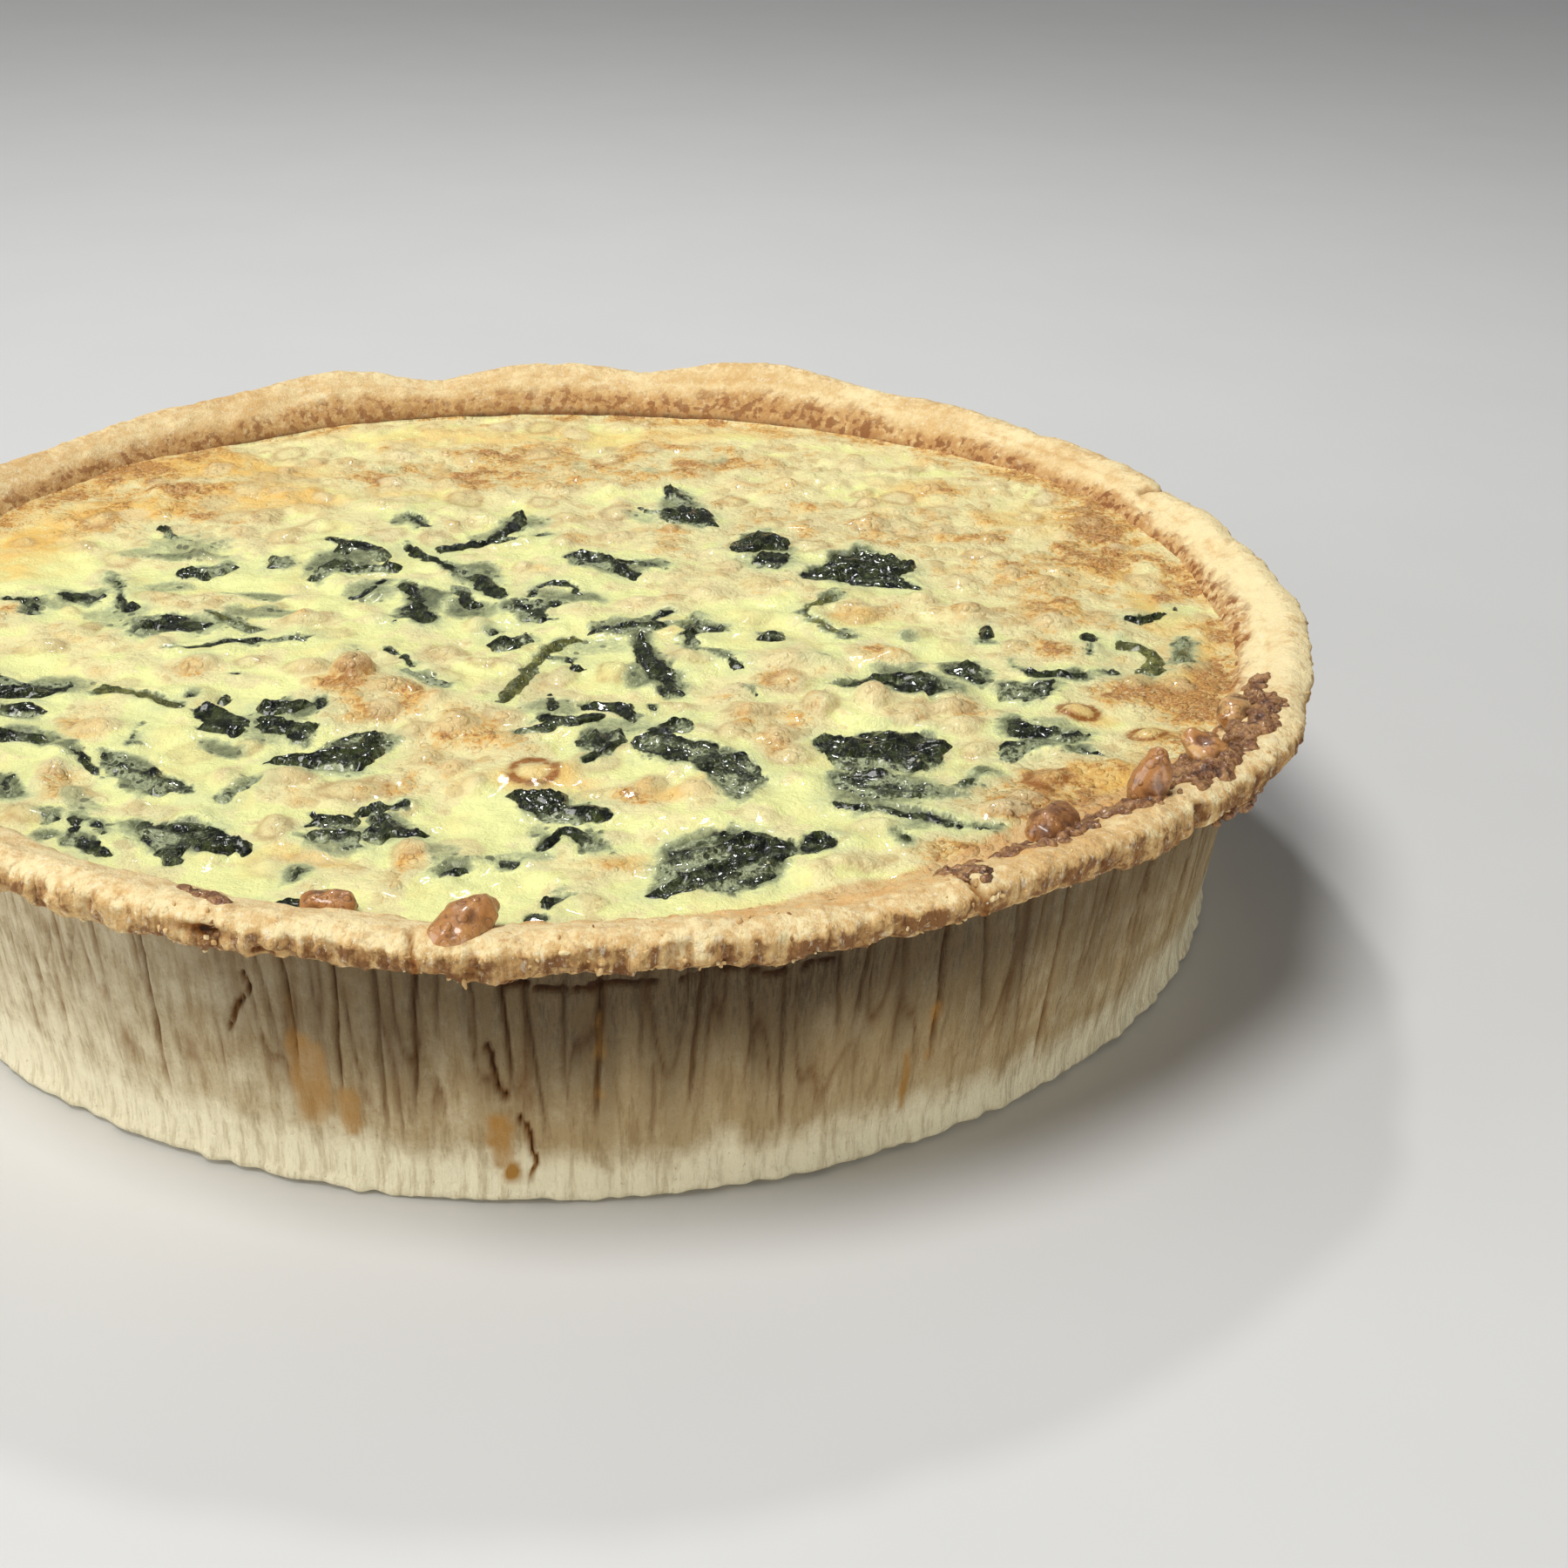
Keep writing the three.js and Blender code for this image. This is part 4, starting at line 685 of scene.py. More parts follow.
def pastry_material():
    material, tree = new_tree("baked_pastry")
    mottle = speckle(tree, 5.0, 4)
    medium = speckle(tree, 1.5, 3, 0.62)
    grain = speckle(tree, 0.5, 3, 0.7)
    fibres = speckle(tree, 0.55, 3, 0.65, stretch=0.14)
    bands = speckle(tree, 1.7, 3, 0.6, stretch=0.07)
    lumps = bubbles(tree, 1.3, 0.5, 0.2)
    wall = kept(tree, "wall")
    crumb = kept(tree, "crumb")
    toast = plus(
        tree,
        kept(tree, "toast"),
        swing(tree, mottle, 0.5),
        swing(tree, medium, 0.4),
        swing(tree, grain, 0.35),
        times(tree, plus(tree, swing(tree, fibres, 0.5), swing(tree, bands, 0.8)), wall),
        times(tree, plus(tree, swing(tree, medium, 0.9), swing(tree, bands, 1.5)), crumb),
    )
    colour = paint(tree, ramp(tree, toast, 0.05, 0.6), PALE_DOUGH, GOLD_DOUGH)
    colour = paint(tree, ramp(tree, toast, 0.55, 1.1), colour, BROWN_DOUGH)
    # From the pale foot to the darker dough higher up; the pale foot and the paler left and right sides are
    # partly painted light.
    spread = plus(tree, swing(tree, mottle, 0.9), swing(tree, bands, 0.5))
    baked = plus(tree, kept(tree, "baked"), spread, swing(tree, grain, 0.3))
    wall_colour = paint(tree, ramp(tree, baked, 0.0, 1.0), WALL_FOOT, WALL_DOUGH)
    colour = paint(tree, wall, colour, wall_colour)
    flour = ramp(tree, speckle(tree, 0.9, 3, 0.7, stretch=0.4), 0.55, 0.7, 0, 0.5)
    colour = paint(tree, times(tree, flour, ramp(tree, wall, 0, 1, 1, 0.15)), colour, FLOUR)
    bran = ramp(tree, speckle(tree, 0.9, 2, 0.6), 0.66, 0.76, 0, 0.4)
    colour = paint(tree, bran, colour, BRAN)
    paper = times(tree, ramp(tree, plus(tree, times(tree, fibres, 0.6), bands), 0.75, 1.0, 0, 0.5), wall)
    colour = paint(tree, paper, colour, PAPER_GRAIN, "MULTIPLY")
    # Painted shadow of the lip over the upper wall, with a little browning.
    lip_shadow_and_browning = times(tree, kept(tree, "lip_shadow_and_browning"), ramp(tree, plus(tree, fibres, bands), 0.75, 1.25, 1.0, 0.8))
    colour = paint(tree, lip_shadow_and_browning, colour, LIP_SHADOW_BROWN)
    # Painted shade: darker in the creases, folds, cracks, splits, grooves and hollows, near black deep in
    # the cracks and hollows.
    dark = kept(tree, "dark")
    colour = paint(tree, dark, colour, CREASE_SHADE, "MULTIPLY")
    colour = paint(tree, ramp(tree, dark, 1.0, 1.35), colour, CRACK_SHADOW)
    white = times(tree, ramp(tree, speckle(tree, 0.8, 2, 0.6), 0.66, 0.74), crumb)
    colour = paint(tree, times(tree, white, 0.7), colour, FLOUR)
    burnt = times(tree, ramp(tree, speckle(tree, 2.2, 3, 0.65, stretch=0.5), 0.56, 0.68), crumb)
    colour = paint(tree, times(tree, burnt, 0.7), colour, BURNT_CRUMB)
    skin = kept(tree, "skin")
    skin_colour = paint(tree, ramp(tree, mottle, 0.4, 0.65), RUN_OVER_SKIN, PALE_RUN_OVER)
    colour = paint(tree, times(tree, skin, ramp(tree, medium, 0.3, 0.6, 0.6, 0.97)), colour, skin_colour)
    red = times(tree, skin, ramp(tree, speckle(tree, 1.8, 3, 0.6), 0.62, 0.68))
    colour = paint(tree, times(tree, red, 0.7), colour, SCORCHED)
    scorch = kept(tree, "scorch")
    colour = paint(tree, times(tree, scorch, ramp(tree, medium, 0.35, 0.6, 0.2, 0.85)), colour, TOASTED_RIM)
    spots = times(tree, scorch, ramp(tree, speckle(tree, 2.2, 2, 0.6), 0.5, 0.58))
    colour = paint(tree, times(tree, spots, 0.85), colour, SCORCHED)
    glaze = kept(tree, "glaze")
    colour = paint(tree, times(tree, glaze, ramp(tree, mottle, 0.35, 0.65, 0.72, 0.95)), colour, JUICE)
    wet = plus(tree, glaze, times(tree, skin, 0.6), times(tree, spots, 0.3))
    roughness = ramp(tree, wet, 0.1, 0.9, 0.74, 0.28)
    height = plus(
        tree,
        times(tree, grain, 0.6),
        times(tree, medium, 0.9),
        times(tree, plus(tree, fibres, bands), plus(tree, wall, times(tree, crumb, 0.7))),
        times(tree, times(tree, lumps["Dome"], 0.35), crumb),
    )
    shade(tree, colour, roughness, height, 0.45, Specular_IOR_Level=0.2)
    return material


case_mesh = make_case()
finish_piece("pastry_case", case_mesh, pastry_material(), "pastry", "crust")

# ---- Crumbs ---------------------------------------------------------------------------------
# Crumbs and thin flakes of the same pastry that broke along the rim's outer edge and still hang on
# it, thickest at the front and where the rim is split.

# Where they lie: bearing, spread in degrees, share.
CRUMBLY = [
    (-82, 10, 1.0), (-64.5, 3.5, 1.4), (-112, 4, 1.4), (-98, 4, 1.0), (-75, 50, 0.25), (20, 60, 0.03),
]
CRUMBS = 110


def make_crumbs(case):
    rng = np.random.default_rng(31)
    places = corners_of(case) / MM
    normals = normals_of(case)
    broken = np.zeros(len(places), np.float32)
    case.attributes["crumb"].data.foreach_get("value", broken)
    bearings = np.degrees(np.arctan2(places[:, 1], places[:, 0]))
    weights = broken * sum(share * hill(bearings, at, spread) for at, spread, share in CRUMBLY)
    wheres = []
    for index in rng.choice(len(places), CRUMBS, p=weights / weights.sum()):
        size = rng.choice([0.22, 0.3, 0.4, 0.6], p=[0.3, 0.35, 0.25, 0.1])
        flat = rng.uniform(0.3, 0.7)
        turned = Matrix.Rotation(rng.uniform(0, 3), 4, Vector(rng.normal(0, 1, 3)).normalized())
        squash = Matrix.Diagonal((size * rng.uniform(1, 1.7), size * rng.uniform(0.6, 1), size * flat, 1))
        wheres.append(Matrix.Translation(places[index] + normals[index] * size * 0.15) @ turned @ squash)
    form = bmesh.new()
    add_lumps(form, wheres)
    shades = rng.choice([0.2, 0.45, 0.7, 1.0], CRUMBS, p=[0.25, 0.35, 0.25, 0.15])
    shades = np.repeat(shades, len(form.verts) // CRUMBS)
    mesh = as_mesh(form, "pastry_crumbs")
    places, _ = roughened(mesh, (0.5, 0.16, 81), (0.25, 0.08, 82))
    place_corners(mesh, places)
    mark(mesh, "toast", shades)
    return mesh


def crumb_material():
    material, tree = new_tree("pastry_crumb")
    grain = speckle(tree, 0.4, 3, 0.7)
    toast = plus(tree, kept(tree, "toast"), swing(tree, grain, 0.6))
    colour = paint(tree, ramp(tree, toast, 0.0, 0.6), PALE_DOUGH, GOLD_DOUGH)
    colour = paint(tree, ramp(tree, toast, 0.6, 1.1), colour, BROWN_DOUGH)
    shade(tree, colour, 0.7, plus(tree, grain, speckle(tree, 0.2, 2)), 0.12, Specular_IOR_Level=0.4)
    return material


finish_piece("pastry_crumbs", make_crumbs(case_mesh), crumb_material(), "pastry")

# ---- Pine nuts on the rim -------------------------------------------------------------------
# Six pine nuts that stuck to the rim when the quiche went in the oven: roasted orange brown, with a
# blistered skin that shines where the filling's juice baked onto it.

RIM_NUT_LENGTH = 11
RIM_NUT_WIDTH = 6.4
NUT_FLATNESS = 0.78  # height as a share of width
NUT_TAPER = 0.35
NUT_STEPS = 44
# Bearing, distance from the axis, height, turn from the rim's own run, tip up, size.
RIM_NUTS = [
    (-96.5, 126.5, 51, 60, 10, 1.15),
    (-54.5, 121.5, 50.6, 25, 5, 1.05),
    (-46.5, 126, 53.6, 0, 75, 0.95),
    (-38.5, 126.5, 52.3, 85, 20, 0.9),
    (-28.5, 123.5, 50.2, 15, 0, 1),
    (-105.8, 120.4, 49.2, 10, 0, 0.75),
]
ROAST_NUT = (0.48, 0.215, 0.065, 1)
PALE_NUT = (0.74, 0.47, 0.19, 1)
DARK_NUT = (0.13, 0.045, 0.016, 1)
NUT_ROAST = [0.5, 0.85, 0.6, 0.5, 0.2, 0.6]  # how dark each is roasted


def on_rim(bearing, radius, height):
    """The place and turn of something on the rim, with its X axis along the rim's run."""
    angle = math.radians(bearing)
    place = Vector((radius * math.cos(angle), radius * math.sin(angle), height))
    return Matrix.Translation(place) @ Matrix.Rotation(angle + math.pi / 2, 4, "Z")


def add_nut(form, length, width, where):
    """One nut: a plump oval, pointed a little at one end."""
    lying = Matrix.Rotation(math.pi / 2, 4, "Y")
    rings = NUT_STEPS * 2 // 3
    made = bmesh.ops.create_uvsphere(form, u_segments=NUT_STEPS, v_segments=rings, radius=0.5, matrix=lying)
    for corner in made["verts"]:
        x, y, z = corner.co
        taper = 1 - NUT_TAPER * x
        corner.co = where @ Vector((x * length, y * taper * width, z * taper * width * NUT_FLATNESS))


def make_rim_nuts():
    form = bmesh.new()
    for bearing, radius, height, turn, tip, size in RIM_NUTS:
        tipped = Matrix.Rotation(math.radians(-tip), 4, "Y")
        turned = Matrix.Rotation(math.radians(turn), 4, "Z")
        where = on_rim(bearing, radius, height) @ turned @ tipped
        add_nut(form, RIM_NUT_LENGTH * size, RIM_NUT_WIDTH * size, where)
    mesh = as_mesh(form, "rim_pine_nuts")
    places, lump = roughened(mesh, (3.2, 0.4, 41), (1.3, 0.2, 42), (0.7, 0.08, 43))
    place_corners(mesh, places)
    mark(mesh, "lump", lump)
    mark(mesh, "roast", np.repeat(NUT_ROAST, len(places) // len(NUT_ROAST)))
    return mesh


def roast_nut_material():
    material, tree = new_tree("roasted_pine_nut")
    mottle = speckle(tree, 2.4, 4, 0.6)
    blisters = bubbles(tree, 1.7, 0.42, 0.1)
    fine = speckle(tree, 0.6, 3, 0.65)
    low = ramp(tree, kept(tree, "lump"), 0.05, -0.35)
    roast = plus(tree, kept(tree, "roast"), swing(tree, mottle, 1.1))
    colour = paint(tree, ramp(tree, roast, 0.0, 0.55), PALE_NUT, ROAST_NUT)
    colour = paint(tree, ramp(tree, roast, 0.6, 1.15), colour, DARK_NUT)
    # Painted shade: darker in the dents of the nut's lumpy skin.
    colour = paint(tree, times(tree, low, 0.8), colour, DARK_NUT)
    rings = times(tree, blisters["Outline"], ramp(tree, mottle, 0.4, 0.6, 0, 0.6))
    colour = paint(tree, rings, colour, DARK_NUT)
    colour = paint(tree, ramp(tree, fine, 0.6, 0.72, 0, 0.45), colour, DARK_NUT)
    height = plus(tree, times(tree, blisters["Dome"], 0.7), times(tree, fine, 0.5))
    shade(
        tree,
        colour,
        ramp(tree, mottle, 0.3, 0.7, 0.2, 0.42),
        height,
        0.3,
        Coat_Weight=0.6,
        Coat_Roughness=0.1,
        Subsurface_Weight=0.1,
        Subsurface_Radius=(1.0, 0.5, 0.2),
        Subsurface_Scale=0.0015,
    )
    return material


finish_piece("rim_pine_nuts", make_rim_nuts(), roast_nut_material(), "pastry")

# ---- Spill crust on the rim -----------------------------------------------------------------
# Filling that boiled over at the right of the rim and a little at its left, and set there as dark,
# grainy, half shiny crags round the nuts.

# Runs of bearing and distance from the axis, with the crust's width, lumps and how high it stands.
SPILLS = [
    ([(-64.4, 120.6), (-64, 125.5), (-63.6, 130.5)], 3.6, 30, 0.7),
    ([(-62.5, 121.5), (-59.5, 120.2), (-57.5, 119.6)], 2.6, 24, 0.7),
    ([(-60.5, 125.5), (-58.5, 124.8), (-56, 125.8), (-52.6, 125.6)], 3.4, 40, 0.8),
    ([(-54, 122.6), (-51.6, 123.4), (-49, 125.2), (-46, 127.6)], 5.4, 80, 0.9),
    ([(-45.4, 124.5), (-43.4, 125.5), (-41.5, 123.4), (-38.5, 123.4)], 3.6, 44, 0.8),
    ([(-43, 128.6), (-40.6, 130.8), (-38.6, 130.4), (-36.8, 129.6)], 5.6, 74, 1.0),
    ([(-34.6, 127.2), (-32.6, 129.6), (-30.2, 130.6), (-28.4, 128.8), (-27, 126)], 5.2, 100, 1.0),
    ([(-38.6, 121.6), (-35.6, 122.4), (-31.8, 121.4)], 2.4, 22, 0.5),
    ([(-25.8, 125.4), (-23.6, 125), (-21.4, 124.4)], 2.8, 22, 0.5),
    ([(-114.4, 126.6), (-112.2, 128), (-110.6, 128.8)], 2.4, 12, 0.2),
]
SPILL_BROWN = (0.235, 0.095, 0.036, 1)
SPILL_PALE = (0.46, 0.24, 0.095, 1)
SPILL_DARK = (0.075, 0.023, 0.007, 1)
SPILL_CRUMB = (0.74, 0.52, 0.27, 1)
SPILL_FACET = 0.33

# The rim's upper side, from the custard outwards.
RIM_TOP = np.array([corner[:2] for corner in SECTION[9:17]])[::-1]


def rim_top(bearing, radius):
    """Height of the rim's upper side."""
    high = np.interp(radius, RIM_TOP[:, 0], RIM_TOP[:, 1])
    share = np.interp(radius, [119, 129], [0, 1])
    return high + share * sum(much * hill(bearing, at, spread) for at, spread, far, much in RIM_HILLS)


def along_run(run, share):
    """A point on a run of points, from 0 at its start to 1 at its end."""
    points = np.array(run, float)
    spot = share * (len(points) - 1)
    index = min(int(spot), len(points) - 2)
    return points[index] + (points[index + 1] - points[index]) * (spot - index)


def merged_lumps(form, name, facet):
    """Joins overlapping lumps into one skin of even facets."""
    mesh = as_mesh(form, name + "_lumps")
    piece = bpy.data.objects.new(name + "_lumps", mesh)
    bpy.context.scene.collection.objects.link(piece)
    remesh = piece.modifiers.new("merge", "REMESH")
    remesh.mode = "VOXEL"
    remesh.voxel_size = facet
    ready = piece.evaluated_get(bpy.context.evaluated_depsgraph_get())
    merged = bpy.data.meshes.new_from_object(ready)
    merged.name = name
    bpy.data.objects.remove(piece)
    bpy.data.meshes.remove(mesh)
    return merged


def make_spill():
    rng = np.random.default_rng(5)
    wheres = []
    for run, width, count, rise in SPILLS:
        for _ in range(count * 3):
            bearing, radius = along_run(run, rng.uniform(0, 1))
            aside = rng.normal(0, 0.36) * width
            radius += aside * 0.7
            bearing += aside * 0.7 / WALL_MM_PER_DEGREE * rng.choice([-1, 1])
            size = rng.choice([0.5, 0.75, 1.05, 1.5]) * rng.uniform(0.8, 1.2)
            height = rim_top(bearing, radius) - 0.4 * size + 0.8 * rise * rng.uniform(0, 0.9)
            squash = Matrix.Diagonal((size, size * rng.uniform(0.7, 1), size * rng.uniform(0.6, 0.9), 1))
            turned = Matrix.Rotation(rng.uniform(0, 3), 4, "Z")
            wheres.append(on_rim(bearing, radius, height) @ turned @ squash)
    form = bmesh.new()
    add_lumps(form, wheres)
    mesh = merged_lumps(form, "spill_crust", SPILL_FACET)
    places, lump = roughened(mesh, (1.5, 0.3, 51), (0.8, 0.22, 52))
    place_corners(mesh, places)
    mark(mesh, "lump", lump)
    return mesh


def spill_material():
    material, tree = new_tree("boiled_over_crust")
    mottle = speckle(tree, 1.8, 4, 0.65)
    grain = speckle(tree, 0.45, 3, 0.7)
    lumps = bubbles(tree, 0.9, 0.5, 0.25)
    tone = plus(tree, mottle, times(tree, lumps["Shade"], 0.2))
    colour = paint(tree, ramp(tree, tone, 0.48, 0.72), SPILL_BROWN, SPILL_PALE)
    # Painted shade: darker in the dents between the crags.
    colour = paint(tree, ramp(tree, kept(tree, "lump"), 0.0, -0.35, 0, 0.85), colour, SPILL_DARK)
    colour = paint(tree, ramp(tree, grain, 0.55, 0.7, 0, 0.5), colour, SPILL_DARK)
    crumb = ramp(tree, speckle(tree, 1.0, 2, 0.6, twist=0.3), 0.66, 0.72, 0, 0.8)
    colour = paint(tree, crumb, colour, SPILL_CRUMB)
    height = plus(tree, times(tree, grain, 0.8), times(tree, mottle, 0.5), times(tree, lumps["Dome"], 0.8))
    shade(
        tree,
        colour,
        ramp(tree, speckle(tree, 2.2, 2), 0.42, 0.6, 0.25, 0.6),
        height,
        0.4,
        Coat_Weight=0.25,
        Coat_Roughness=0.15,
    )
    return material


finish_piece("spill_crust", make_spill(), spill_material(), "pastry")

# ---- Spinach --------------------------------------------------------------------------------
# Wilted spinach set in the custard: near black wet leaf, thin olive stems, crumpled, with ragged
# edges that dive under the custard's skin. Custard baked over parts of each leaf as a grey film.

# The custard's level: its height, its dip at the back and its rise at the front.
CUSTARD_HEIGHT = 46.5
CUSTARD_BACK_DIP = 2.6
CUSTARD_FRONT_RISE = 1.7
FILLING_RADIUS = 118.5

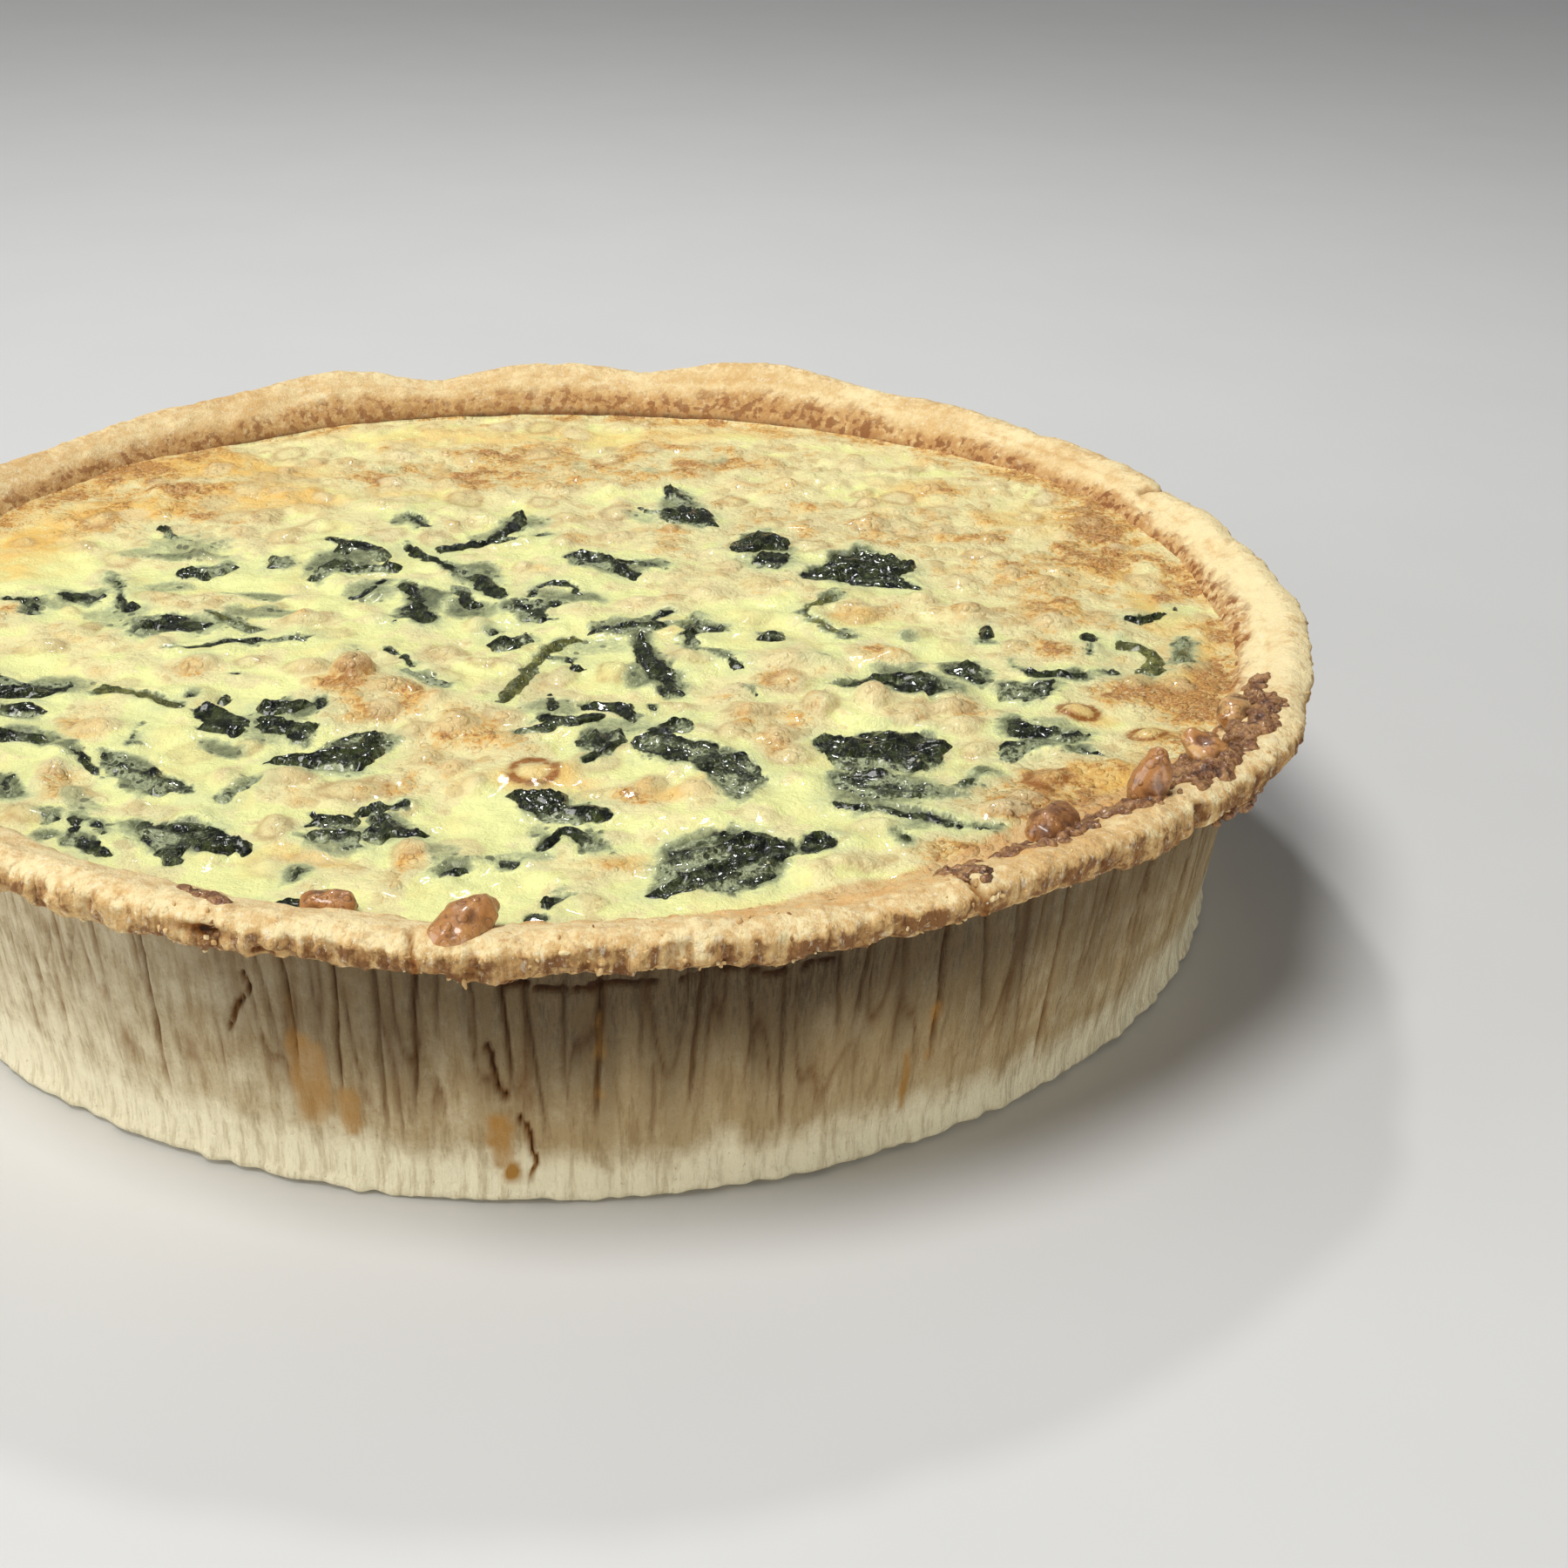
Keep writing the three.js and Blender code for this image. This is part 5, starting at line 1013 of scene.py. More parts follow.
# Each leaf that shows: how much of it the custard's film covers, and its outline from above.
LEAVES = [
    (0.1, [
        (-50, -45.8), (-48, -44.8), (-46.2, -43.4), (-44.5, -45), (-41.8, -44.6), (-40.8, -42.6),
        (-39.2, -43.4), (-38.6, -45.8), (-39.4, -47.4), (-42, -46.8), (-44.5, -47.8), (-47.5, -48.8),
        (-50, -48.6),
    ]),
    (0.3, [
        (-50, -50.6), (-48, -50), (-45.8, -51), (-44.6, -53), (-40, -53.8), (-40.2, -56.5),
        (-41.2, -59.2), (-43.2, -58.4), (-45, -55.8), (-47.6, -55), (-49.6, -53.4),
    ]),
    (0.1, [
        (-34.2, -56.2), (-32, -55.2), (-29.4, -56), (-28, -58.4), (-28.8, -61.2), (-30.2, -64),
        (-30.6, -67.6), (-32.8, -69.6), (-36, -69), (-39.4, -67.8), (-42.4, -67), (-45.2, -66.6),
        (-47, -65.8), (-45.4, -64.2), (-41.8, -64.4), (-39.4, -62.6), (-37, -59.6),
    ]),
    (0.5, [
        (-95, -31), (-92.4, -32.6), (-89.6, -34.4), (-87, -33.8), (-84.6, -34.8), (-82.2, -33.8),
        (-81.4, -36), (-82, -39), (-84.2, -37.8), (-87, -38.8), (-90.4, -39), (-94, -39.6),
    ]),
    (0.35, [
        (-92, -42.6), (-89.4, -42.8), (-86.8, -40.6), (-86, -42.8), (-84, -45.2), (-87, -47.6),
        (-90.6, -46.8), (-92, -45.4),
    ]),
    (0.35, [
        (-91, -51.6), (-88.4, -52.4), (-85.4, -53.4), (-82.6, -54.6), (-80.6, -57), (-81, -60),
        (-83, -58.2), (-86, -57.4), (-88.6, -57), (-90.6, -55.6),
    ]),
    (0.3, [
        (-61, -46.2), (-58, -45.8), (-55.6, -47.4), (-53, -49.6), (-51, -51.6), (-51.8, -54),
        (-53, -55.8), (-56, -54.6), (-58.8, -54), (-57.4, -52.2), (-59, -50.4), (-60.6, -48.4),
    ]),
    (0.45, [
        (-73, -61.4), (-70.2, -61.6), (-67.6, -64.4), (-64, -67.6), (-60, -71.4), (-55.2, -76.4),
        (-57.4, -77.2), (-60.8, -75), (-61.2, -77), (-63, -77), (-65.8, -74.4), (-68, -71.4),
        (-70.4, -69.2), (-72.2, -66),
    ]),
    (0.4, [
        (-86.4, -69), (-84, -69), (-83.2, -72), (-81.8, -76.4), (-83.6, -77.6), (-85.2, -75.2),
        (-86.4, -72.4),
    ]),
    (0.4, [
        (-65.4, -86.2), (-62.4, -85.8), (-59, -87.4), (-56.6, -85.6), (-54.4, -85.4), (-51.6, -88.8),
        (-49.4, -91.4), (-46, -93.4), (-45.6, -95.6), (-48.4, -96.4), (-51.4, -96), (-54.6, -94.6),
        (-56, -96), (-55.4, -98.8), (-57.2, -99.4), (-59, -96), (-61, -93), (-62.4, -89.8),
    ]),
    (0.15, [
        (-73.2, -87.2), (-71.4, -86.8), (-70.8, -89.6), (-68.6, -91.2), (-67, -94), (-65.2, -96.8),
        (-67.6, -95.8), (-70.6, -93.8), (-72.6, -92.6), (-74, -91.6), (-72.6, -90.4),
    ]),
    (0.4, [
        (-70.6, -21.6), (-67.4, -20), (-62.8, -19), (-59, -17.2), (-56, -16.2), (-52, -16.8),
        (-48, -15.6), (-44.2, -15.2), (-45.4, -17.8), (-49.6, -17.8), (-53, -19), (-57.4, -19.2),
        (-61.6, -20.6), (-66.4, -21.4), (-70, -23.4),
    ]),
    (0.35, [
        (-76, -8), (-73.6, -7), (-71.4, -5.4), (-68.6, -5.8), (-66, -7.4), (-63.6, -9), (-61, -10.4),
        (-63, -12), (-66, -13.4), (-69, -13), (-71.4, -12.6), (-73.6, -14.6), (-75.6, -13.4),
        (-75.2, -11),
    ]),
    (0.4, [
        (-83, 14.6), (-81.8, 12), (-80.2, 8), (-79.6, 4), (-78.4, 0.6), (-76, -1.8), (-76.6, -4),
        (-79, -2.6), (-80.6, 0.6), (-81, 5), (-82, 9), (-83.2, 11.6),
    ]),
    (0.3, [
        (-91.4, 6.4), (-88.6, 5.2), (-85.4, 5.6), (-83, 5.4), (-83.2, 2), (-85.4, 1), (-88, 1.6),
        (-90.4, 3.4),
    ]),
    (0.3, [
        (-100.6, 3), (-97.6, 2.8), (-94, 3), (-93.8, 0), (-93.2, -3.4), (-94.6, -5.6), (-96.4, -4),
        (-95.6, -1), (-97.4, 0.6), (-100.4, 0.2),
    ]),
    (0.5, [
        (-72.6, 15.4), (-70, 17.4), (-67.6, 19), (-65.4, 18.4), (-63.6, 21), (-61.6, 19.4), (-62.4, 17),
        (-65, 15.2), (-66.6, 12.6), (-68.6, 14.8), (-70.6, 13), (-72.2, 13),
    ]),
    (0.3, [
        (-46.4, 34.8), (-43.6, 32), (-40.6, 31.6), (-38, 30), (-35.6, 27.4), (-34, 24.4), (-34.6, 22.4),
        (-36.8, 24), (-38.6, 27), (-40.8, 27.4), (-42, 24), (-43.6, 25.6), (-43.4, 29), (-45.6, 31),
    ]),
    (0.35, [
        (-47.8, 11.6), (-46.4, 16), (-46.2, 19.6), (-43.8, 21.6), (-41, 21.4), (-38.6, 19.4),
        (-34.4, 18.6), (-30.8, 18.4), (-30.8, 16.4), (-34.6, 16.2), (-37.6, 15.4), (-40.2, 16),
        (-43, 16.6), (-44.2, 13.6), (-45.6, 11.6),
    ]),
    (0.35, [
        (-31, 29.6), (-28.6, 26.6), (-25.6, 23), (-22.6, 19.4), (-19.6, 16.6), (-16.6, 14.4), (-14.2, 11),
        (-12.6, 6), (-10.2, 1.6), (-12, 0), (-14.6, 3.4), (-16, 8), (-18.4, 11.8), (-21.6, 13.6),
        (-24, 17.6), (-26.6, 21), (-29, 24.6),
    ]),
    (0.3, [
        (-30, 11.4), (-27.8, 9.8), (-26.4, 6.4), (-25, 4), (-26, 0.6), (-24.6, -2.6), (-23, -5.6),
        (-23.6, -8.4), (-25.6, -9.4), (-27.6, -6.6), (-29.4, -5.4), (-30.8, -7.4), (-29.8, -2.6),
        (-28.6, 1), (-29, 5), (-31, 7.6),
    ]),
    (0.3, [
        (-7.4, 1.6), (-6.6, 5.4), (-4, 8.2), (0, 8.2), (2.6, 6.6), (2.4, 3.2), (5.4, 0.8), (4.6, -0.4),
        (0.8, 2), (0.6, 5), (-1.6, 6.4), (-4.2, 5), (-5.8, 0.8),
    ]),
    (0.3, [
        (-11, -1.2), (-9, -0.4), (-6, -0.4), (-2, -1), (-0.4, -2.8), (-3, -3.6), (-5, -4.2), (-4.2, -7),
        (-2, -8.8), (-5, -9.4), (-7.4, -7.4), (-8.6, -4.4), (-10.6, -3.6), (-12, -2),
    ]),
    (0.4, [
        (-13.6, -18.4), (-11.6, -16.6), (-9, -16.2), (-7, -15), (-6.2, -17), (-8, -19), (-9, -21.2),
        (-11.2, -22.6), (-13, -21),
    ]),
    (0.35, [
        (-0.4, 22), (2.6, 25.4), (5.4, 25), (8, 22.4), (9.8, 18.8), (12, 15.4), (14.2, 12), (12.8, 10.4),
        (10.2, 12), (8.2, 15.4), (6, 18.2), (3.2, 16.4), (0.6, 18.2),
    ]),
    (0.35, [
        (-9.4, 50.4), (-8, 47), (-7.8, 42), (-8.6, 37.6), (-10.4, 35.4), (-13, 33), (-15.4, 31),
        (-14.6, 35), (-12, 38.4), (-11, 42), (-10.8, 46.6),
    ]),
    (0.4, [
        (-33, 45.4), (-31, 46.6), (-29, 44.6), (-27.6, 41.6), (-26.4, 38.6), (-28.4, 37), (-29.4, 40),
        (-31.4, 42),
    ]),
    (0.4, [
        (14.6, 52.2), (17.6, 50.2), (20, 50.4), (22.6, 51.2), (26.4, 51.4), (28.8, 48), (29.6, 43.6),
        (30, 40), (27, 39.6), (24, 41.4), (21, 42.6), (19.6, 45.4), (18.6, 47.6),
    ]),
    (0.4, [
        (20.6, 66), (22.8, 65), (25, 61), (26, 57), (26.4, 53), (24.6, 52.2), (22.8, 54), (21.6, 58),
        (20.4, 62),
    ]),
    (0.3, [
        (31.8, 25.4), (32.4, 30.2), (34.8, 34.4), (38, 36.4), (40.8, 35.4), (42.2, 31.6), (43.4, 27.4),
        (42.6, 25.2), (40.6, 26.8), (38, 26.4), (35.6, 24.4), (33.4, 23.8),
    ]),
    (0.35, [
        (36.4, 22.4), (38.4, 24.2), (41, 24), (43.2, 22.4), (43, 19.4), (41, 17.2), (40, 14),
        (38.6, 16.6), (36, 18.6),
    ]),
    (0.2, [
        (43.8, 12.6), (45.6, 15), (48.6, 16.6), (50, 19.4), (50.8, 22.4), (54.6, 23), (56.4, 26.2),
        (59, 24.6), (61, 22.4), (63.6, 22), (64, 19), (66, 17.6), (65.4, 14.4), (63, 12.6), (63.6, 9),
        (66, 5), (65.4, 2.4), (62.6, 5), (59.4, 6.8), (55, 7), (53, 10), (49.6, 9), (46.6, 8.6), (44, 10),
    ]),
    (0.25, [
        (3.2, -15.6), (5.2, -11.6), (8.4, -10.2), (12, -10.6), (14.6, -8.6), (18.2, -5.2), (19.8, -6.8),
        (17.2, -9.4), (15.8, -11.4), (18.4, -12.6), (18, -14.2), (13.8, -14.4), (9.6, -14.6), (6.6, -15),
    ]),
    (0.25, [
        (11.6, -15.2), (14, -15.2), (14.6, -20), (15.6, -25), (17.4, -30), (19.2, -34), (19.6, -38),
        (18.8, -41.6), (16.6, -42), (15, -40), (15.8, -37), (14, -33.4), (12.4, -30), (12, -25),
        (11.2, -20),
    ]),
    (0.25, [
        (20.2, -13.6), (21.4, -11), (23, -7.6), (24.4, -9), (25, -12), (28.2, -12.6), (28, -14.4),
        (24.6, -14.6), (23, -17), (22.4, -21.6), (21.4, -22), (20.8, -18), (20, -15.6),
    ]),
    (0.3, [
        (-8.6, -58.4), (-8.2, -56.6), (-5.2, -55.4), (-3.2, -54), (-5.4, -51.6), (-5, -50.2), (-2, -51.2),
        (1.2, -52), (4.2, -50.4), (6, -51.2), (5.4, -53.4), (2.6, -54.6), (0.4, -55.6), (-1.8, -56.2),
        (-3.2, -58.6), (-5.8, -57.6),
    ]),
    (0.3, [
        (1.8, -58.6), (3.4, -56.6), (5.6, -57.4), (8.6, -58.8), (9, -61), (7.6, -63.4), (5.8, -65.6),
        (3.4, -65.4), (2, -63.2), (1.4, -60.8),
    ]),
    (0.5, [
        (9.8, -60.8), (14, -60.4), (19, -61.4), (22.2, -63), (24.8, -66), (27.4, -69), (29.4, -72.4),
        (30, -76.4), (28.4, -79.6), (27.2, -82.2), (25.6, -84.6), (24.6, -82.4), (23.4, -79.4),
        (22, -76.6), (19.6, -73.2), (16.8, -70.4), (12.8, -68.2), (10, -65.4),
    ]),
    (0.55, [
        (12, -58.8), (13.2, -56.8), (15.2, -54.6), (17, -53.2), (19.4, -53.4), (20.8, -56.4),
        (19.6, -58.6), (17.4, -59.4), (14.6, -59.4),
    ]),
    (0.3, [
        (39.4, -60.4), (41.4, -59.6), (44, -61), (48, -58.6), (51.4, -57.4), (54, -58.4), (57, -58.4),
        (59, -60.8), (60.4, -63.6), (59, -66.6), (58.4, -69.6), (55.6, -71.6), (53, -72.8), (48.4, -71),
        (42.6, -71.2), (41.2, -68), (40.4, -65), (38.8, -63),
    ]),
    (0.8, [
        (40.2, -73.6), (44.4, -72.6), (48.6, -72.8), (51, -75.6), (53.8, -77.6), (56.6, -78.8),
        (57.2, -81), (60, -82.6), (57, -84), (53.4, -83.4), (50, -83), (46.6, -84.2), (43.6, -82.8),
        (41.4, -80.2), (40.4, -77),
    ]),
    (0.45, [
        (38.8, -85.2), (42.4, -86.2), (46.6, -86.6), (50.4, -87.8), (54, -89.8), (57, -92), (58.6, -94.6),
        (56, -95.8), (53, -94.2), (50.4, -91.6), (46.8, -89.2), (42.8, -88.2), (40, -87.2),
    ]),
    (0.5, [
        (13.4, -100.4), (14.6, -98), (17, -95.8), (20, -94.2), (23, -93.6), (27, -94.8), (30.4, -96.8),
        (32.4, -98.6), (33, -101), (31, -103.6), (30, -106.4), (28.6, -109), (26, -111.4), (22.6, -113),
        (19.6, -112.4), (17.6, -110), (16.4, -112.6), (13, -113.6), (10, -112.6), (11.4, -110),
        (12.8, -107), (12.8, -103.4),
    ]),
    (0.35, [
        (-9.4, -80), (-7, -79.6), (-4, -80.2), (-1, -80.6), (0.2, -83), (3, -83.4), (5.4, -85),
        (6, -87.6), (4.4, -89.4), (1.6, -89), (-0.8, -87.6), (-3.2, -88), (-5.6, -85.8), (-7.8, -83.4),
    ]),
    (0.25, [
        (-1.8, -90.8), (0.4, -91.6), (2.6, -92.8), (4, -95), (5.6, -97.6), (3.4, -98.2), (1.4, -98.8),
        (0.6, -96.4), (-0.4, -93.6),
    ]),
    (0.5, [
        (-28.6, -84.2), (-26.6, -85.4), (-25.2, -87.4), (-24.2, -89.4), (-21.2, -92), (-23.6, -92.6),
        (-26.2, -92.2), (-28, -94.2), (-30, -93.4), (-29.6, -91), (-28.8, -88.6), (-29.8, -86.2),
    ]),
    (0.45, [
        (-39.8, -91.4), (-37, -90.6), (-33.6, -91), (-31, -92), (-30.8, -94.2), (-28.8, -96),
        (-31.4, -96), (-34.6, -94.8), (-37.6, -93.6),
    ]),
    (0.35, [
        (43, -40.4), (46.2, -38.2), (50, -36.4), (53.6, -35.4), (57.4, -36), (61, -36.4), (64, -38.4),
        (66.4, -41.8), (63.6, -43.6), (60, -44.4), (57.2, -45.4), (55, -43), (51.6, -41.4), (48, -41.6),
        (45.4, -43.6),
    ]),
    (0.1, [
        (62.8, -33.4), (65, -31), (68, -30.6), (70.8, -30), (72, -33), (71.6, -36.4), (70.4, -38),
        (67.4, -36.6), (65, -35.2),
    ]),
    (0.1, [
        (71.4, -53.6), (73, -52), (74.6, -55), (76.6, -57.4), (79.2, -58.2), (82, -59.4), (84, -60.4),
        (82.4, -62.6), (80.6, -64.2), (78, -63), (75.4, -61.4), (72.6, -60.4), (71.2, -58.4),
    ]),
    (0.15, [
        (76.4, -29.4), (77.8, -32.6), (80, -34.2), (83, -34.4), (86, -34.8), (90, -34.2), (94, -34.2),
        (93.6, -35.2), (90, -35.4), (88.4, -37.4), (85.6, -37.4), (83.6, -36.2), (82, -37.6),
        (78.8, -37.4), (77.6, -35),
    ]),
]
# Each stem: film, width and the run of its middle.
STEMS = [
    (0.2, 2.4, [(-77.5, -36.4), (-73, -38.8), (-69, -41.2), (-65, -44.4), (-62.4, -46)]),
    (0.3, 2, [(-63.4, -4.6), (-59.2, -8.6), (-54, -13.6)]),
    (0.25, 2, [(1.6, -16.6), (-3, -21), (-6, -29), (-8.5, -37), (-10.8, -45)]),
    (0.3, 1.8, [(50, 2), (43, -6), (44, -10), (50, -19)]),
    (0.15, 2.2, [(97.1, -22.6), (100.2, -25), (102.3, -28.8), (101.4, -32), (101.6, -34.6), (98.6, -35)]),
    (0.15, 1.7, [(109.8, -19.6), (109, -24), (107.6, -28), (106.6, -32)]),
]
# Scraps of leaf too small to be parts of their own, as leaves and as strips.
SCRAPS = [
    (0.3, [
        (-79.8, -60.3), (-78.8, -58.2), (-77, -59), (-75, -62), (-73, -66), (-70.3, -71), (-71.5, -71),
        (-74.3, -67), (-76.5, -62.5), (-78.2, -60.2),
    ]),
    (0.2, [(-76.8, -88.6), (-74.8, -88.2), (-73.6, -90), (-75, -91.6), (-77, -90.4)]),
    (0.2, [(-3, -40.5), (-1.5, -44), (-0.8, -48), (-2.5, -50), (-3.7, -48)]),
    (0.35, [
        (1.5, -47), (4, -46), (8, -46.5), (10.5, -48), (11.5, -51), (10.5, -53.5), (9, -52), (7.5, -49.8),
        (5, -48.8), (2.5, -49),
    ]),
    (0.3, [(-34, 12.6), (-32.6, 12.4), (-34.4, 8.6), (-37, 4), (-39, 3.6), (-36.6, 7.4)]),
    (0.4, [(-21, 8.6), (-19, 8), (-16.8, 3), (-15.4, -1.6), (-17.4, -1.8), (-19.4, 1.6), (-20.8, 5)]),
    (0.3, [(9.6, 20.6), (12.6, 19.6), (16.4, 18.6), (18, 16.4), (17, 15), (14, 16.6), (11.6, 18)]),
    (0.4, [(-1.6, -93), (-0.8, -95), (-3, -98), (-5, -98.6), (-4.6, -95.6), (-3, -93.4)]),
    (0.3, [
        (-38.2, -84.4), (-35, -85.4), (-31.4, -86.2), (-31.6, -88.6), (-35.4, -88.4), (-39.8, -88.8),
        (-38.4, -86.8),
    ]),
    (0.3, [
        (-33, -84.2), (-29.6, -82.8), (-26.4, -82.4), (-23.4, -81.2), (-23.8, -82.8), (-27, -83.6),
        (-30.6, -84.8),
    ]),
    (0.3, [
        (100.4, -11.4), (103, -11.8), (106, -10), (109, -8.6), (112, -4), (112.6, -4.4), (110, -9),
        (107, -11), (103.6, -13.4),
    ]),
    (0.4, [
        (32.8, -100), (34.6, -97), (36.8, -95.8), (38.6, -98), (38.8, -102), (36, -102), (33.6, -102.6),
    ]),
    (0.4, [
        (-18.6, -103.6), (-17, -102), (-14.6, -102.6), (-14.4, -104.6), (-16.4, -106.2), (-18.8, -105),
    ]),
    (0.5, [(-10.6, -100.6), (-7, -100.8), (-6.8, -102.6), (-8.4, -104), (-10, -102.8)]),
    (0.1, [
        (-43.4, -113.6), (-40.6, -112.4), (-37.4, -112.4), (-36.4, -113.4), (-36.6, -116), (-39.6, -115),
    ]),
    (0.2, [(-4, -113.6), (-2, -112.4), (1.4, -112), (0, -113.6), (-2, -115), (-3.4, -117.6), (-4, -116)]),
    (0.1, [(-7, -118), (-4.6, -117.2), (-2.4, -119.6), (-3.6, -120.6), (-6.6, -120.4)]),
    (0.75, [
        (70, -62.4), (73, -61.6), (76.6, -63), (77.4, -65.4), (74, -66.4), (71.4, -68.6), (69, -69.4),
        (68.4, -66.4),
    ]),
    (0.7, [(79.6, -66.6), (82, -65.6), (84, -67), (86, -70), (83.6, -70), (81.4, -68.4)]),
    (0.8, [
        (73.4, -39), (76, -38), (79, -38.6), (83, -38.4), (82, -43), (79.6, -46.8), (76, -46.6),
        (73.2, -44.6),
    ]),
]
STRIPS = [
    (0.2, 1, [(-68.2, -51), (-69, -61)]),
    (0.1, 1.4, [(-76.5, -82.5), (-75.5, -85)]),
    (0.1, 1.2, [(-73, -83), (-72, -86.5)]),
    (0.1, 1, [(-69.4, -85.5), (-67.5, -90)]),
    (0.2, 0.9, [(-36, -21.5), (-37.4, -30)]),
    (0.3, 1.1, [(-31.8, -22), (-28, -25), (-26.2, -30)]),
    (0.85, 2, [(-28, -31), (-20, -38)]),
    (0.2, 1.2, [(-4, -25), (0, -25.5), (1.6, -30)]),
    (0.3, 1.4, [(22, -22), (27, -25), (29, -31)]),
    (0.1, 1.2, [(2, -70.5), (9, -60.5)]),
    (0.2, 0.9, [(-38.4, -102), (-39, -106)]),
    (0.8, 1.6, [(-47.5, -71.5), (-52.5, -79.5)]),
    (0.2, 1.2, [(47.6, -96), (49.4, -100)]),
    (0.2, 0.8, [(55, -94.5), (63, -96)]),
    (0.3, 1.2, [(60, -80), (66, -73)]),
    (0.3, 1.6, [(75, -14.6), (73.6, -21.6)]),
    (0.3, 1.6, [(93, -18.4), (92, -24), (91, -28.6)]),
    (0.4, 1.2, [(-24, 26), (-14, 31), (-4, 35)]),
    (0.3, 1.4, [(-78, 41), (-75.4, 35)]),
    (0.4, 3.4, [(34, -17), (38, -17)]),
    (0.3, 2.4, [(59.4, -20.6), (60.6, -20.6)]),
    (0.4, 2, [(43.4, -27.6), (44.6, -27.6)]),
    (0.3, 2.4, [(30.4, -41.6), (31.6, -41.6)]),
    (0.2, 1.6, [(13, -47.4), (14.2, -47.4)]),
    (0.2, 1.6, [(-13.4, -12.5), (-12.6, -12.5)]),
    (0.5, 3, [(-54, 20), (-54, 24)]),
    (0.3, 1.6, [(-62.4, -24), (-61.6, -24)]),
    (0.3, 2, [(-57, -42), (-56, -42)]),
    (0.3, 2.4, [(-62.6, -41), (-60.4, -41)]),
    (0.3, 2, [(-56, -32.5), (-55, -32.5)]),
]
LEAF_CELL = 0.42
LEAF_SKIRT = 1.3  # how far a leaf goes on under the custard's skin
LEAF_SHEET = 0.45
STEM_CRUMPLE = 0.25
STRIP_CRUMPLE = 0.5
# Where the seeds of each kind begin; the leaves' own begin at 0.
STEM_SEEDS = 60
SCRAP_SEEDS = 80
STRIP_SEEDS = 120

LEAF_BLACK = (0.0035, 0.005, 0.0022, 1)
LEAF_GREEN = (0.050, 0.064, 0.017, 1)
LEAF_FILM = (0.135, 0.155, 0.080, 1)
LEAF_MILKY = (0.42, 0.46, 0.27, 1)
LEAF_DOTS = (0.62, 0.58, 0.32, 1)
STEM_OLIVE = (0.26, 0.26, 0.075, 1)
STEM_DARK = (0.07, 0.075, 0.02, 1)


def custard_level(x, y):
    """Height of the custard's skin without its nuts: it dips at the back and rises at the front."""
    share = (x**2 + y**2) / FILLING_RADIUS**2
    bearing = np.degrees(np.arctan2(y, x))
    edge = CUSTARD_FRONT_RISE * hill(bearing, -76, 34) - CUSTARD_BACK_DIP * hill(bearing, 92, 38)
    waves = np.sin(x / 13 + 1) * np.cos(y / 11) + np.sin((x + 2 * y) / 27)
    return CUSTARD_HEIGHT + share * edge + 0.3 * waves


def inside_distance(points, outline):
    """Distance in mm from each point to a closed outline, positive inside it."""
    starts = np.array(outline, float)
    best = np.full(len(points), 1e9)
    inside = np.zeros(len(points), bool)
    for start, end in zip(starts, np.roll(starts, -1, axis=0)):
        edge = end - start
        gap = points - start
        share = np.clip(gap @ edge / (edge @ edge), 0, 1)
        off = gap - share[:, None] * edge
        best = np.minimum(best, np.hypot(off[:, 0], off[:, 1]))
        crosses = (start[1] > points[:, 1]) != (end[1] > points[:, 1])
        rise = edge[1] if edge[1] else 1e-9
        inside ^= crosses & (points[:, 0] < start[0] + gap[:, 1] * edge[0] / rise)
    return np.where(inside, best, -best)


def smooth_run(run, pieces=5):
    """A run of points with its corners rounded."""
    points = np.array(run, float)
    ends = np.vstack([2 * points[0] - points[1], points, 2 * points[-1] - points[-2]])
    rounded = []
    for index in range(1, len(ends) - 2):
        before, here, there, after = ends[index - 1 : index + 3]
        rounded += [along_curve(before, here, there, after, part) for part in np.arange(pieces) / pieces]
    return rounded + [points[-1]]


def strip_outline(width, run):
    """The outline of a strip along a run of points."""
    points = np.array(run, float)
    before = points[np.maximum(np.arange(len(points)) - 1, 0)]
    after = points[np.minimum(np.arange(len(points)) + 1, len(points) - 1)]
    ahead = (after - before) / np.hypot(*(after - before).T)[:, None]
    side = np.stack([-ahead[:, 1], ahead[:, 0]], axis=1) * width / 2
    return np.concatenate([points + side, (points - side)[::-1]])


def edge_distance(points, outline):
    """Distance inside a leaf's torn edge."""
    spot = np.column_stack([points, np.zeros(len(points))])
    torn = 0.4 * soft_noise(spot, 2.6, 60) + 0.34 * soft_noise(spot, 1.3, 61)
    torn += 0.2 * soft_noise(spot, 0.7, 62)
    return inside_distance(points, outline) + torn


def drowned_side(points):
    """Where leaves' edges lie under a film of custard, from 0 to 1."""
    spot = np.column_stack([points, np.zeros(len(points))])
    return ease(soft_noise(spot, 7, 69) + 0.4 * soft_noise(spot, 2.6, 70), -0.1, 0.5)


